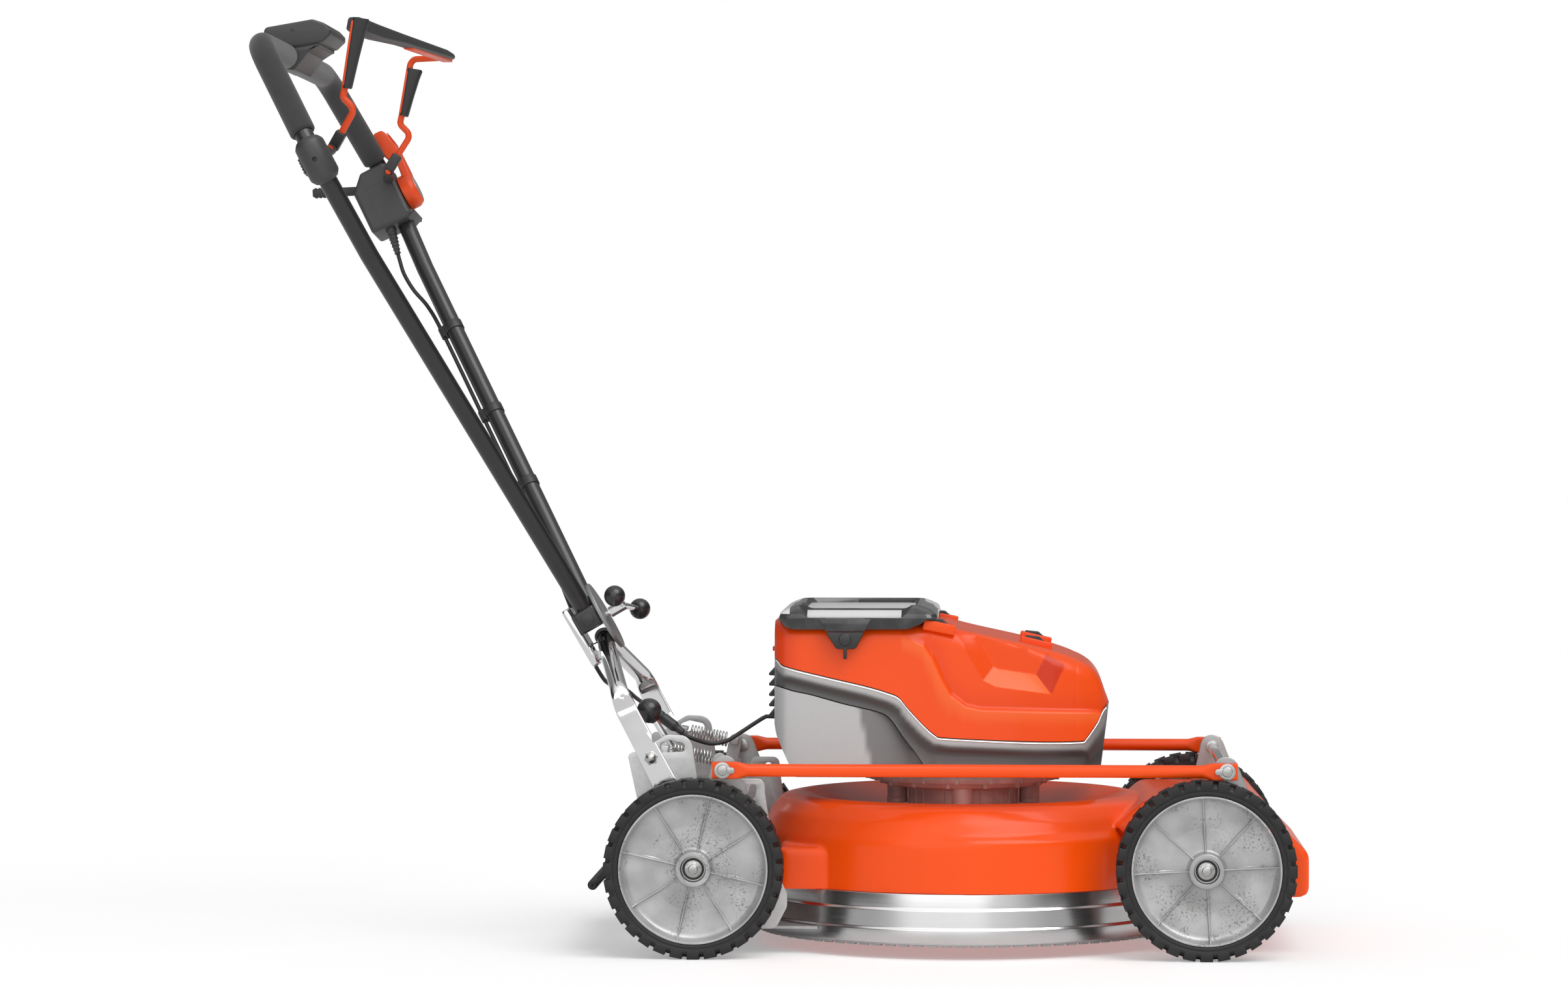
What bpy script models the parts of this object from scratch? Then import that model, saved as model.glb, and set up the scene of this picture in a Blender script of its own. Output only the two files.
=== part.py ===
"""Cordless lawn mower, modelled piece by piece.

Metres, +Z up, +X towards the front of the mower, -Y is its right-hand side.
The origin lies on the ground, in the middle of the whole machine.
"""
import math

import bmesh
import bpy
import numpy as np
from mathutils import Matrix, Vector

# Clearances
GAP = 0.0003
RUNNING_GAP = 0.0005

# Wheels
WHEEL_RADIUS = 0.105
TYRE_INNER_RADIUS = 0.0878
TYRE_INNER_FACE = 0.208
TYRE_OUTER_FACE = 0.254
TREAD_LUGS = 32
LUG_SHARE = 0.72
TREAD_DEPTH = 0.0032
REAR_WHEEL_X = -0.098
FRONT_WHEEL_X = 0.500
SPINDLE_RADIUS = 0.0075
HUB_RADIUS = 0.0195
HUB_BORE_RADIUS = 0.0148
HUB_OUTER_FACE = 0.2525
WEB_INNER_FACE = 0.233
WEB_THICKNESS = 0.0035
RIM_WALL = 0.0040
RIM_RIBS = 8
RIB_WIDTH = 0.0026
RIB_HEIGHT = 0.0075
BEARING_INNER_FACE = 0.2365
BEARING_WIDTH = 0.0065

# Height setting: cranks, rods and springs
PIVOT_HEIGHT = 0.115
REAR_PIVOT_X = -0.023
FRONT_PIVOT_X = 0.565
PIN_BACK = 0.041
PIN_RISE = 0.105
CRANK_INNER_FACE = 0.1965
CRANK_THICKNESS = 0.004
CRANK_ROUNDING = 0.015
CRANK_TRAVEL = 25.0
SLOT_CLEARANCE = 0.0025
PIN_RADIUS = 0.006
PIN_END = 0.2430
ROD_RADIUS = 0.0075
ROD_CENTRE = 0.2340
EYE_HALF_HEIGHT = 0.0100
EYE_THICKNESS = 0.0120
EYE_LENGTH = 0.030
EYE_NOSE = 0.0125
AXLE_RADIUS = 0.010
PIVOT_TUBE_RADIUS = 0.0120
STUB_RADIUS = 0.008
STUB_INNER_FACE = 0.176
CROSS_TUBE_RADIUS = 0.0055
SPRING_CENTRE = 0.160
SPRING_RADIUS = 0.0085
SPRING_WIRE_RADIUS = 0.0010
SPRING_CURLS = 12
SPRING_POINTS = 8
SPRING_BACK = (-0.131, 0.2402)
SPRING_FRONT = (-0.076, 0.2290)
SPRING_LEAD_IN = 0.0045
SEAT_SIZE = 0.009
INNER_ARM_FACE = 0.1705
INNER_ARM_THICKNESS = 0.003
INNER_ARM_HALF = 0.008
LEVER_CENTRE = -0.138
LEVER_RADIUS = 0.004
KNOB_RADIUS = 0.0150
KNOB_X = -0.157
KNOB_Z = 0.2835

# Deck
DECK_X = 0.215
DECK_RADIUS = 0.2455
DECK_WALL = 0.0025
DECK_BOTTOM = 0.077
DECK_SHOULDER = 0.135
DECK_TOP = 0.178
DISH_RADIUS = 0.130
DISH_HEIGHT = 0.150
SHAFT_HOLE_RADIUS = 0.018
NOSE_FRONT = 0.6243
NOSE_HALF_WIDTH = 0.165
REAR_SHELF_X = -0.002
REAR_SHELF_TOP = 0.126
SKIRT_BOTTOM = 0.015
SKIRT_WALL = 0.0020
SKIRT_STEP = 0.0020
SKIRT_STEPS = (0.0576, 0.0360)
PLATE_INNER_FACE = 0.1865
PLATE_THICKNESS = 0.003
FLOOR_HEIGHT = 0.030
FLOOR_THICKNESS = 0.003
FLOOR_REAR = -0.140
FLAP_HINGE_X = -0.156
FLAP_HINGE_Z = 0.130
FLAP_END_X = -0.221
FLAP_END_Z = 0.080
FLAP_THICKNESS = 0.004
FLAP_HALF_WIDTH = 0.183

# Motor and cutter
MOTOR_RADIUS = 0.0657
MOTOR_WALL = 0.004
MOTOR_FLANGE_RADIUS = 0.119
MOTOR_RING_RADIUS = 0.098
MOTOR_RING_BOTTOM = 0.1890
MOTOR_FLANGE_BOTTOM = 0.1945
MOTOR_TOP = 0.2045
BOSS_RADIUS = 0.0125
BOSS_CIRCLE = 0.0800
BOSS_BOTTOM = 0.1650
BOSS_COUNT = 4
SHAFT_RADIUS = 0.0085
ROTOR_RADIUS = 0.0300
STATOR_INNER_RADIUS = 0.0320
STATOR_HEIGHT = 0.030
BLADE_BOTTOM = 0.030
BLADE_THICKNESS = 0.0035
BLADE_LENGTH = 0.470
BLADE_WIDTH = 0.050
BLADE_HOLE_RADIUS = 0.0055
ADAPTER_RADIUS = 0.024
ADAPTER_HEIGHT = 0.016
BOLT_HEAD_RADIUS = 0.0100
BOLT_HEAD_HEIGHT = 0.007

# Power unit housing
BODY_REAR = -0.0085
BODY_FRONT = 0.3905
BODY_BOTTOM = MOTOR_TOP + GAP
BODY_TOP = 0.3897
REGION_TOP = BODY_TOP + 0.060
REGION_BOTTOM = BODY_BOTTOM - 0.025
REGION_REAR = -0.030
REGION_FRONT = 0.420
BODY_HALF_WIDTH = 0.150
BODY_WALL = 0.0030
SEAM_GAP = 0.0004
RECESS_DEPTH = 0.030
RECESS_REACH = 0.220
RECESS_CORNERS = ((0.2330, 0.0257), (0.3060, 0.0397), (0.3390, 0.0567), (0.3240, 0.0897),
                  (0.2560, 0.0797), (0.2340, 0.0447))
BAY_REAR = 0.012
BAY_FRONT = 0.172
BAY_HALF_WIDTH = 0.116
BAY_WALL = 0.002
BAY_DEPTH = 0.122
BAY_RIM = 0.005
BAY_RIM_THICKNESS = 0.002
BATTERY_LENGTH = 0.140
BATTERY_WIDTH = 0.104
BATTERY_HEIGHT = 0.108
BATTERY_APART = 0.004
BATTERY_EDGE = 0.004
LID_REAR = -0.0035
LID_FRONT = 0.1860
LID_HALF_WIDTH = 0.140
LID_TOP = BODY_TOP + 0.0193
LID_WALL = 0.003
LATCH_X = 0.0764
LATCH_TOP = BODY_TOP - 0.0117
LATCH_HEIGHT = 0.032
LATCH_WIDTH = 0.046
LATCH_THICKNESS = 0.005
LOUVRES = 5
LOUVRE_TOP = 0.3272
LOUVRE_PITCH = 0.0124
LOUVRE_DEPTH = 0.009

# Handle frame
FOLD_X = -0.1209
FOLD_Z = 0.1756
LEG_FACE = PLATE_INNER_FACE + PLATE_THICKNESS + GAP
LEG_THICKNESS = 0.003
LEG_WIDTH = 0.029
LEG_TOP_WIDTH = 0.0255
LEG_KNEE = (-0.1775, 0.2840)
LEG_TUBE_RADIUS = 0.0105
FOLD_BOLT_RADIUS = 0.0045
FOLD_HEAD_RADIUS = 0.0080
FOLD_HEAD_HEIGHT = 0.0030
DOME_NUT = (-0.1509, 0.2310)
DOME_NUT_RADIUS = 0.0084
DOME_NUT_HEIGHT = 0.0082
LEG_CRIMP = (-0.1846, 0.3107)
APEX_BEHIND = 0.0140
APEX_BELOW = 0.0205
APEX_BEND = 0.030
JOINT_CENTRE = (-0.2210, 0.3910)
TUBE_LEAN = math.radians(30.2)
DISC_RADIUS = 0.044
DISC_THICKNESS = 0.005
HEAD_GAP = 0.0292
HEAD_THICKNESS = 0.0100
HEAD_WALL = 0.0030
HEAD_BELOW = 0.048
HEAD_ABOVE = 0.030
HEAD_HALF_WIDTH = 0.030
SCREW_RADIUS = 0.004
STUD_REACH = 0.0145
KNUCKLE_BELOW = 0.0075
KNUCKLE_ABOVE = 0.0195
KNUCKLE_HALF_WIDTH = 0.045

# Handle
TUBE_RADIUS = 0.011
GRIP_RADIUS = 0.0152
TUBE_FOOT = (-0.2422, -0.0291, 0.3972)
TUBE_KNEE = (-0.4730, -0.2769, 0.8212)
TUBE_COLLAR = (-0.5258, -0.3380, 0.9284)
TUBE_CORNER = (-0.6010, -0.2780, 1.0663)
CORNER_BEND = 0.045
COLLAR_BEND = 0.085
KNEE_BEND = 0.250
COLLAR_RADIUS = 0.0180
COLLAR_LENGTH = 0.050
COLLAR_CHAMFER = 0.006
GRIP_START = 0.036
GRIP_END = 0.070
CONSOLE_HALF_WIDTH = 0.068
CONSOLE_CORNERS = ((-0.0170, 0.0037, 0.004), (-0.0283, 0.0352, 0.004), (0.0326, 0.0455, 0.006),
                   (0.0469, 0.0407, 0.006), (0.0548, 0.0320, 0.003), (0.0548, 0.0257, 0.003),
                   (0.0437, 0.0154, 0.0), (0.0271, 0.0051, 0.0), (0.0105, -0.0170, 0.003),
                   (-0.0110, -0.0133, 0.004))
BOX_REAR = 0.042
BOX_FRONT = 0.0140
BOX_WIDTH = 0.054
BAIL_RADIUS = 0.0040
BAIL_PIVOT = (-0.5185, 0.9440)
BAIL_PIVOT_HALF = 0.2590
BAIL_KNEE_HALF = 0.2700
BAIL_TOP_HALF = 0.2750
BAIL_END = 0.0240
BAIL_BAR_REACH = 0.0500
BAIL_BAR_INSET = 0.0300
BOSS_HALF = 0.0065
BOSS_FACE = 0.0080
BOX_BELOW = 0.0600
BOX_ABOVE = 0.0220
COVER_THICKNESS = 0.012
COVER_WIDTH = 0.015
LEVER_PIVOT = (-0.4960, 0.3200, 0.9220)
LEVER_HUB_RADIUS = 0.0230
LEVER_HUB_HEIGHT = 0.020
LEVER_REACH = 0.088
LEAD_RADIUS = 0.0025
CONNECTOR_RADIUS = 0.0085
LEAD_SPLIT = 0.470
CLIP_PAD = 0.0020
LEAD_ENTRY = (-0.080, 0.2735)

# Facets of round shapes
DECK_FACETS = 30
MOTOR_FACETS = 20
WHEEL_FACETS = 20
DISC_FACETS = 24
BAR_FACETS = 10
PIN_FACETS = 8
BORE_FACETS = 10
CORNER_STEPS = 2
TUBE_FACETS = 10

PARTS = "lawn_mower"
CUTTERS = "cutters"
SIDES = (("right", -1.0), ("left", 1.0))


# Scene and materials

def clear_scene():
    for obj in list(bpy.data.objects):
        bpy.data.objects.remove(obj, do_unlink=True)
    for name in (PARTS, CUTTERS):
        group = bpy.data.collections.new(name)
        bpy.context.scene.collection.children.link(group)


def material(name, colour, roughness, metallic=0.0):
    made = bpy.data.materials.get(name)
    if made is None:
        made = bpy.data.materials.new(name)
        made.use_nodes = True
        shader = made.node_tree.nodes["Principled BSDF"]
        shader.inputs["Base Color"].default_value = (*colour, 1.0)
        shader.inputs["Roughness"].default_value = roughness
        shader.inputs["Metallic"].default_value = metallic
    return made


def orange():
    return material("orange_paint", (0.93, 0.10, 0.01), 0.35)


def steel():
    return material("bright_steel", (0.72, 0.72, 0.72), 0.25, 1.0)


def chrome():
    return material("chrome", (0.85, 0.85, 0.85), 0.10, 1.0)


def sheet_metal():
    return material("grey_sheet", (0.55, 0.55, 0.55), 0.45, 0.8)


def cast_metal():
    return material("cast_metal", (0.25, 0.22, 0.21), 0.55, 0.6)


def silver_plastic():
    return material("silver_plastic", (0.45, 0.45, 0.46), 0.40, 0.3)


def black_plastic():
    return material("black_plastic", (0.03, 0.03, 0.03), 0.45)


def rubber():
    return material("rubber", (0.015, 0.015, 0.015), 0.75)


def foam():
    return material("foam", (0.045, 0.045, 0.045), 0.85)


def white_plastic():
    return material("white_plastic", (0.75, 0.75, 0.75), 0.35)


def red_plastic():
    return material("red_plastic", (0.85, 0.09, 0.02), 0.35)


def copper():
    return material("copper", (0.72, 0.35, 0.15), 0.35, 1.0)


# Mesh helpers

def put(obj, group=PARTS):
    bpy.data.collections[group].objects.link(obj)
    return obj


def from_bmesh(name, bm, coat, smooth_angle=35.0):
    mesh = bpy.data.meshes.new(name)
    bm.to_mesh(mesh)
    bm.free()
    mesh.shade_smooth()
    mesh.set_sharp_from_angle(angle=math.radians(smooth_angle))
    mesh.materials.append(coat)
    return put(bpy.data.objects.new(name, mesh))


def axes_matrix(origin, x_axis, z_axis):
    """A placing matrix whose local X and Z point along the given directions."""
    z = Vector(z_axis).normalized()
    y = z.cross(Vector(x_axis)).normalized()
    x = y.cross(z)
    turn = Matrix((x, y, z)).transposed().to_4x4()
    return Matrix.Translation(Vector(origin)) @ turn


def along(start, end):
    """A placing matrix at start whose local Z points to end."""
    start = Vector(start)
    axis = (Vector(end) - start).normalized()
    side = Vector((0.0, 1.0, 0.0))
    if abs(axis.dot(side)) > 0.9:
        side = Vector((1.0, 0.0, 0.0))
    return axes_matrix(start, side, axis)


def box(name, low, high, coat, bevel=0.0, place=None):
    """A box between two corners, in the frame of place if one is given."""
    low = Vector(low)
    high = Vector(high)
    bm = bmesh.new()
    bmesh.ops.create_cube(bm, size=1.0)
    bmesh.ops.scale(bm, vec=high - low, verts=bm.verts)
    made = from_bmesh(name, bm, coat)
    centre = Matrix.Translation((low + high) / 2.0)
    made.matrix_world = (place or Matrix.Identity(4)) @ centre
    if bevel:
        soften(made, bevel)
    return made


def soften(obj, width, segments=1):
    mod = obj.modifiers.new("rounded_edges", "BEVEL")
    mod.width = width
    mod.segments = segments
    mod.limit_method = "ANGLE"
    mod.angle_limit = math.radians(40.0)


def rod(name, start, end, radius, coat, sides=16, end_radius=None, shade=35.0):
    """A round bar or cone from start to end."""
    start = Vector(start)
    end = Vector(end)
    bm = bmesh.new()
    top = radius if end_radius is None else end_radius
    bmesh.ops.create_cone(
        bm, cap_ends=True, segments=sides, radius1=radius, radius2=top,
        depth=(end - start).length)
    made = from_bmesh(name, bm, coat, shade)
    made.matrix_world = along((start + end) / 2.0, end)
    return made


def ball(name, centre, radius, coat, segments=16, rings=10):
    bm = bmesh.new()
    bmesh.ops.create_uvsphere(bm, u_segments=segments, v_segments=rings, radius=radius)
    made = from_bmesh(name, bm, coat)
    made.location = centre
    return made


def rounded(corners, radius, steps=CORNER_STEPS):
    """The corners of a flat outline, each replaced by an arc."""
    out = []
    count = len(corners)
    for i, corner in enumerate(corners):
        size = corner[2] if len(corner) > 2 else radius
        here = Vector(corner[:2])
        back = Vector(corners[i - 1][:2]) - here
        ahead = Vector(corners[(i + 1) % count][:2]) - here
        half = back.angle(ahead) / 2.0
        if size <= 0.0 or half > math.radians(88.0):
            out.append((here.x, here.y))
            continue
        reach = min(size / math.tan(half), 0.48 * back.length, 0.48 * ahead.length)
        size = reach * math.tan(half)
        middle = here + (back.normalized() + ahead.normalized()).normalized() * (
            size / math.sin(half))
        first = here + back.normalized() * reach - middle
        sweep = math.pi - 2.0 * half
        turn = 1.0 if back.normalized().cross(ahead.normalized()) < 0.0 else -1.0
        for step in range(steps + 1):
            angle = turn * sweep * step / steps
            spun = Matrix.Rotation(angle, 2) @ first
            out.append((middle.x + spun.x, middle.y + spun.y))
    return out


def circle(cx, cy, radius, points=16, start=0.0):
    return [(cx + radius * math.cos(start + 2.0 * math.pi * k / points),
             cy + radius * math.sin(start + 2.0 * math.pi * k / points))
            for k in range(points)]


def plate(name, loops, thickness, place, coat, shade=35.0):
    """A flat outline with holes, thickened equally to both sides of its plane."""
    curve = bpy.data.curves.new(name, "CURVE")
    curve.dimensions = "2D"
    curve.fill_mode = "BOTH"
    curve.extrude = thickness / 2.0
    for loop in loops:
        spline = curve.splines.new("POLY")
        spline.points.add(len(loop) - 1)
        for point, (u, v) in zip(spline.points, loop):
            point.co = (u, v, 0.0, 1.0)
        spline.use_cyclic_u = True
    holder = put(bpy.data.objects.new(name + "_curve", curve))
    holder.matrix_world = place
    return as_mesh(holder, name, coat, shade)


def upright(y):
    """Places a flat outline drawn in X and Z on the plane at this Y."""
    return axes_matrix((0.0, y, 0.0), (1.0, 0.0, 0.0), (0.0, -1.0, 0.0))


def level(z):
    """Places a flat outline drawn in X and Y on the plane at this height."""
    return Matrix.Translation((0.0, 0.0, z))


def as_mesh(holder, name, coat, shade=35.0):
    """Turns a curve object into a plain closed mesh object of the given name."""
    bpy.context.view_layer.update()
    graph = bpy.context.evaluated_depsgraph_get()
    mesh = bpy.data.meshes.new_from_object(holder.evaluated_get(graph))
    bm = bmesh.new()
    bm.from_mesh(mesh)
    bmesh.ops.remove_doubles(bm, verts=bm.verts, dist=1e-6)
    bmesh.ops.recalc_face_normals(bm, faces=bm.faces)
    made = from_bmesh(name, bm, coat, shade)
    bpy.data.meshes.remove(mesh)
    made.matrix_world = holder.matrix_world.copy()
    bpy.data.objects.remove(holder, do_unlink=True)
    return made


def tube(name, points, radius, coat, resolution=2, scales=None):
    """A round wire or tube through the points, with flat ends; scales widen it by point."""
    curve = bpy.data.curves.new(name, "CURVE")
    curve.dimensions = "3D"
    curve.bevel_depth = radius
    curve.bevel_resolution = resolution
    curve.use_fill_caps = True
    spline = curve.splines.new("POLY")
    spline.points.add(len(points) - 1)
    for index, (point, co) in enumerate(zip(spline.points, points)):
        point.co = (*co, 1.0)
        point.radius = scales[index] if scales else 1.0
    holder = put(bpy.data.objects.new(name + "_curve", curve))
    return as_mesh(holder, name, coat)


def turned(name, profile, centre, axis, coat, sides=32, closed=True):
    """A turned ring or solid: (radius, height) pairs down the outside, then back."""
    mesh = bpy.data.meshes.new(name)
    verts = [(r, 0.0, z) for r, z in profile]
    edges = [(i, i + 1) for i in range(len(verts) - 1)]
    if closed:
        edges.append((len(verts) - 1, 0))
    mesh.from_pydata(verts, edges, [])
    mesh.materials.append(coat)
    made = put(bpy.data.objects.new(name, mesh))
    made.matrix_world = axes_matrix(centre, (1.0, 0.0, 0.0) if abs(axis[0]) < 0.9 else (0.0, 1.0, 0.0), axis)
    mod = made.modifiers.new("turned", "SCREW")
    mod.axis = "Z"
    mod.angle = 2.0 * math.pi
    mod.steps = sides
    mod.render_steps = sides
    mod.use_merge_vertices = True
    mod.merge_threshold = 1e-5
    mod.use_smooth_shade = True
    return made


def shape(obj, tools, operation):
    """Live Booleans on obj; the tools go to the cutters' collection."""
    for tool in tools:
        mod = obj.modifiers.new(operation.lower(), "BOOLEAN")
        mod.operation = operation
        mod.solver = "EXACT"
        mod.object = tool
        hide(tool)
    return obj


def hide(tool):
    tool.hide_render = True
    tool.display_type = "WIRE"
    if tool.name in bpy.data.collections[PARTS].objects:
        bpy.data.collections[PARTS].objects.unlink(tool)
        bpy.data.collections[CUTTERS].objects.link(tool)


def cut(obj, *tools):
    return shape(obj, tools, "DIFFERENCE")


def join(obj, *tools):
    return shape(obj, tools, "UNION")


def bent(points, radii, steps=5):
    """A line through the points whose inner corners are arcs of the given radii."""
    points = [Vector(p) for p in points]
    out = [points[0]]
    for i in range(1, len(points) - 1):
        here = points[i]
        back = (points[i - 1] - here)
        ahead = (points[i + 1] - here)
        half = back.angle(ahead) / 2.0
        radius = radii[i - 1]
        if radius <= 0.0 or half > math.radians(88.0):
            out.append(here)
            continue
        reach = min(radius / math.tan(half), 0.48 * back.length, 0.48 * ahead.length)
        radius = reach * math.tan(half)
        inward = (back.normalized() + ahead.normalized()).normalized()
        middle = here + inward * (radius / math.sin(half))
        first = here + back.normalized() * reach - middle
        axis = back.cross(ahead).normalized()
        sweep = math.pi - 2.0 * half
        for step in range(steps + 1):
            spun = Matrix.Rotation(-sweep * step / steps, 3, axis) @ first
            out.append(middle + spun)
    out.append(points[-1])
    return [tuple(p) for p in out]


def smooth_path(points, spacing):
    """Points at even steps on a smooth curve through the given ones; its ends stay straight."""
    pts = [np.array(p) for p in points]
    pts = [2 * pts[0] - pts[1]] + pts + [2 * pts[-1] - pts[-2]]
    fine = []
    for i in range(1, len(pts) - 2):
        p0, p1, p2, p3 = pts[i - 1:i + 3]
        for t in np.linspace(0.0, 1.0, 12, endpoint=False):
            fine.append(0.5 * (2 * p1 + (p2 - p0) * t + (2 * p0 - 5 * p1 + 4 * p2 - p3) * t ** 2
                               + (3 * p1 - p0 - 3 * p2 + p3) * t ** 3))
    fine.append(pts[-2])
    fine = np.array(fine)
    run = np.concatenate([[0.0], np.cumsum(np.linalg.norm(np.diff(fine, axis=0), axis=1))])
    straight = 0.004
    count = max(4, int(round((run[-1] - 2 * straight) / spacing)) + 1)
    marks = np.linspace(straight, run[-1] - straight, count)
    inner = [tuple(np.interp(m, run, fine[:, k]) for k in range(3)) for m in marks]
    first = np.array(points[0]) + (np.array(points[1]) - np.array(points[0])) * (
        straight / np.linalg.norm(np.array(points[1]) - np.array(points[0])))
    last = np.array(points[-1]) + (np.array(points[-2]) - np.array(points[-1])) * (
        straight / np.linalg.norm(np.array(points[-2]) - np.array(points[-1])))
    inner[0] = tuple(first)
    inner[-1] = tuple(last)
    return [tuple(points[0])] + inner + [tuple(points[-1])]


def mirror_y(point):
    return (point[0], -point[1], point[2])


# Wheels

def tyre(name, x, side):
    """A ring with square-edged tread lugs; one lug stands flat on the ground."""
    step = 2.0 * math.pi / TREAD_LUGS
    half = step * LUG_SHARE / 2.0
    tip = WHEEL_RADIUS / math.cos(half)
    groove = WHEEL_RADIUS - TREAD_DEPTH
    outline = []
    for k in range(TREAD_LUGS):
        middle = -math.pi / 2.0 + k * step
        for angle, radius in ((-half, groove), (-half, tip), (half, tip), (half, groove)):
            outline.append((x + radius * math.cos(middle + angle),
                            WHEEL_RADIUS + radius * math.sin(middle + angle)))
    hole = circle(x, WHEEL_RADIUS, TYRE_INNER_RADIUS, WHEEL_FACETS)
    width = TYRE_OUTER_FACE - TYRE_INNER_FACE
    y = side * (TYRE_OUTER_FACE + TYRE_INNER_FACE) / 2.0
    return plate(name, (outline, hole), width, upright(y), rubber(), 20.0)


def rim(name, x, side):
    """Barrel, dished web and hub turned in one, with ribs on the outer side."""
    outer = TYRE_INNER_RADIUS - GAP
    lip = TYRE_OUTER_FACE - 0.002
    web_out = WEB_INNER_FACE + WEB_THICKNESS
    bearing_end = BEARING_INNER_FACE - GAP
    bore = SPINDLE_RADIUS + GAP
    profile = (
        (outer, lip), (outer, TYRE_INNER_FACE + 0.003),
        (outer - RIM_WALL, TYRE_INNER_FACE + 0.003), (outer - RIM_WALL, WEB_INNER_FACE),
        (bore, WEB_INNER_FACE), (bore, bearing_end), (HUB_BORE_RADIUS, bearing_end), (HUB_BORE_RADIUS, HUB_OUTER_FACE),
        (HUB_RADIUS, HUB_OUTER_FACE), (HUB_RADIUS, web_out),
        (outer - RIM_WALL, web_out), (outer - RIM_WALL, lip),
    )
    made = turned(name, profile, (x, 0.0, WHEEL_RADIUS), (0.0, side, 0.0), silver_plastic(), WHEEL_FACETS)
    first = 77.0 if x < DECK_X else 3.0
    tools = []
    for k in range(RIM_RIBS):
        angle = math.radians(first) + 2.0 * math.pi * k / RIM_RIBS
        place = axes_matrix((x, side * web_out, WHEEL_RADIUS),
                            (math.cos(angle), 0.0, math.sin(angle)), (0.0, side, 0.0))
        tools.append(box(f"{name}_rib_{k}", (HUB_RADIUS - 0.002, -RIB_WIDTH / 2.0, -0.001),
                         (outer - RIM_WALL * 1.1, RIB_WIDTH / 2.0, RIB_HEIGHT),
                         silver_plastic(), place=place))
    return join(made, *tools)


def bearing(name, x, side):
    inner = (SPINDLE_RADIUS + GAP) / math.cos(math.pi / BAR_FACETS)
    outer = HUB_BORE_RADIUS - GAP
    low = BEARING_INNER_FACE
    high = low + BEARING_WIDTH
    profile = ((outer, high), (outer, low), (inner, low), (inner, high))
    return turned(name, profile, (x, 0.0, WHEEL_RADIUS), (0.0, side, 0.0), steel(), BAR_FACETS)


def wheels():
    for end, x in (("rear", REAR_WHEEL_X), ("front", FRONT_WHEEL_X)):
        for word, side in SIDES:
            tyre(f"tyre_{end}_{word}", x, side)
            rim(f"rim_{end}_{word}", x, side)
            bearing(f"wheel_bearing_{end}_{word}", x, side)


# Height setting

def crank_plate(name, side, pivot_x, wheel_x):
    """A triangular plate round the pivot, the wheel's spindle and the rod's pin."""
    corners = ((pivot_x, PIVOT_HEIGHT), (wheel_x, WHEEL_RADIUS),
               (pivot_x - PIN_BACK, PIVOT_HEIGHT + PIN_RISE))
    outline = hull_round(corners, CRANK_ROUNDING)
    y = side * (CRANK_INNER_FACE + CRANK_THICKNESS / 2.0)
    return plate(name, (outline,), CRANK_THICKNESS, upright(y), sheet_metal())


def hull_round(corners, radius, points=3):
    """The outline of a band stretched round equal discs at the corners."""
    count = len(corners)
    area = sum(corners[i][0] * corners[(i + 1) % count][1]
               - corners[(i + 1) % count][0] * corners[i][1] for i in range(count))
    if area < 0.0:
        corners = tuple(reversed(corners))
    out = []
    for i in range(count):
        here = Vector(corners[i])
        back = (here - Vector(corners[i - 1])).normalized()
        ahead = (Vector(corners[(i + 1) % count]) - here).normalized()
        start = math.atan2(-back.x, back.y)
        end = math.atan2(-ahead.x, ahead.y)
        while end < start:
            end += 2.0 * math.pi
        for k in range(points + 1):
            angle = start + (end - start) * k / points
            out.append((here.x + radius * math.cos(angle), here.y + radius * math.sin(angle)))
    return out


def slab(start, end, radius, points=4):
    """The outline of a straight bar with round ends."""
    start = Vector(start)
    end = Vector(end)
    lean = math.atan2(end.y - start.y, end.x - start.x)
    out = []
    for centre, first in ((end, lean - math.pi / 2.0), (start, lean + math.pi / 2.0)):
        for k in range(points + 1):
            angle = first + math.pi * k / points
            out.append((centre.x + radius * math.cos(angle), centre.y + radius * math.sin(angle)))
    return out


def crank_set(name, pivot_x, wheel_x, ties):
    """Both crank plates with spindles and pins, welded to their cross tubes."""
    pin_x = pivot_x - PIN_BACK
    pin_z = PIVOT_HEIGHT + PIN_RISE
    start, end, radius = ties[0]
    made = rod(name, start, end, radius, sheet_metal(), BAR_FACETS)
    extra = []
    for index, (start, end, radius) in enumerate(ties[1:]):
        extra.append(rod(f"{name}_tie_{index}", start, end, radius, sheet_metal(), PIN_FACETS))
    back = CRANK_INNER_FACE + CRANK_THICKNESS / 2.0
    spindle_end = BEARING_INNER_FACE + BEARING_WIDTH + 0.0075
    for word, side in SIDES:
        extra.append(crank_plate(f"{name}_plate_{word}", side, pivot_x, wheel_x))
        extra.append(rod(f"{name}_spindle_{word}", (wheel_x, side * back, WHEEL_RADIUS),
                         (wheel_x, side * spindle_end, WHEEL_RADIUS), SPINDLE_RADIUS, sheet_metal(), BAR_FACETS))
        extra.append(rod(f"{name}_pin_{word}", (pin_x, side * back, pin_z),
                         (pin_x, side * PIN_END, pin_z), PIN_RADIUS, sheet_metal(), PIN_FACETS))
    return join(made, *extra)


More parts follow.
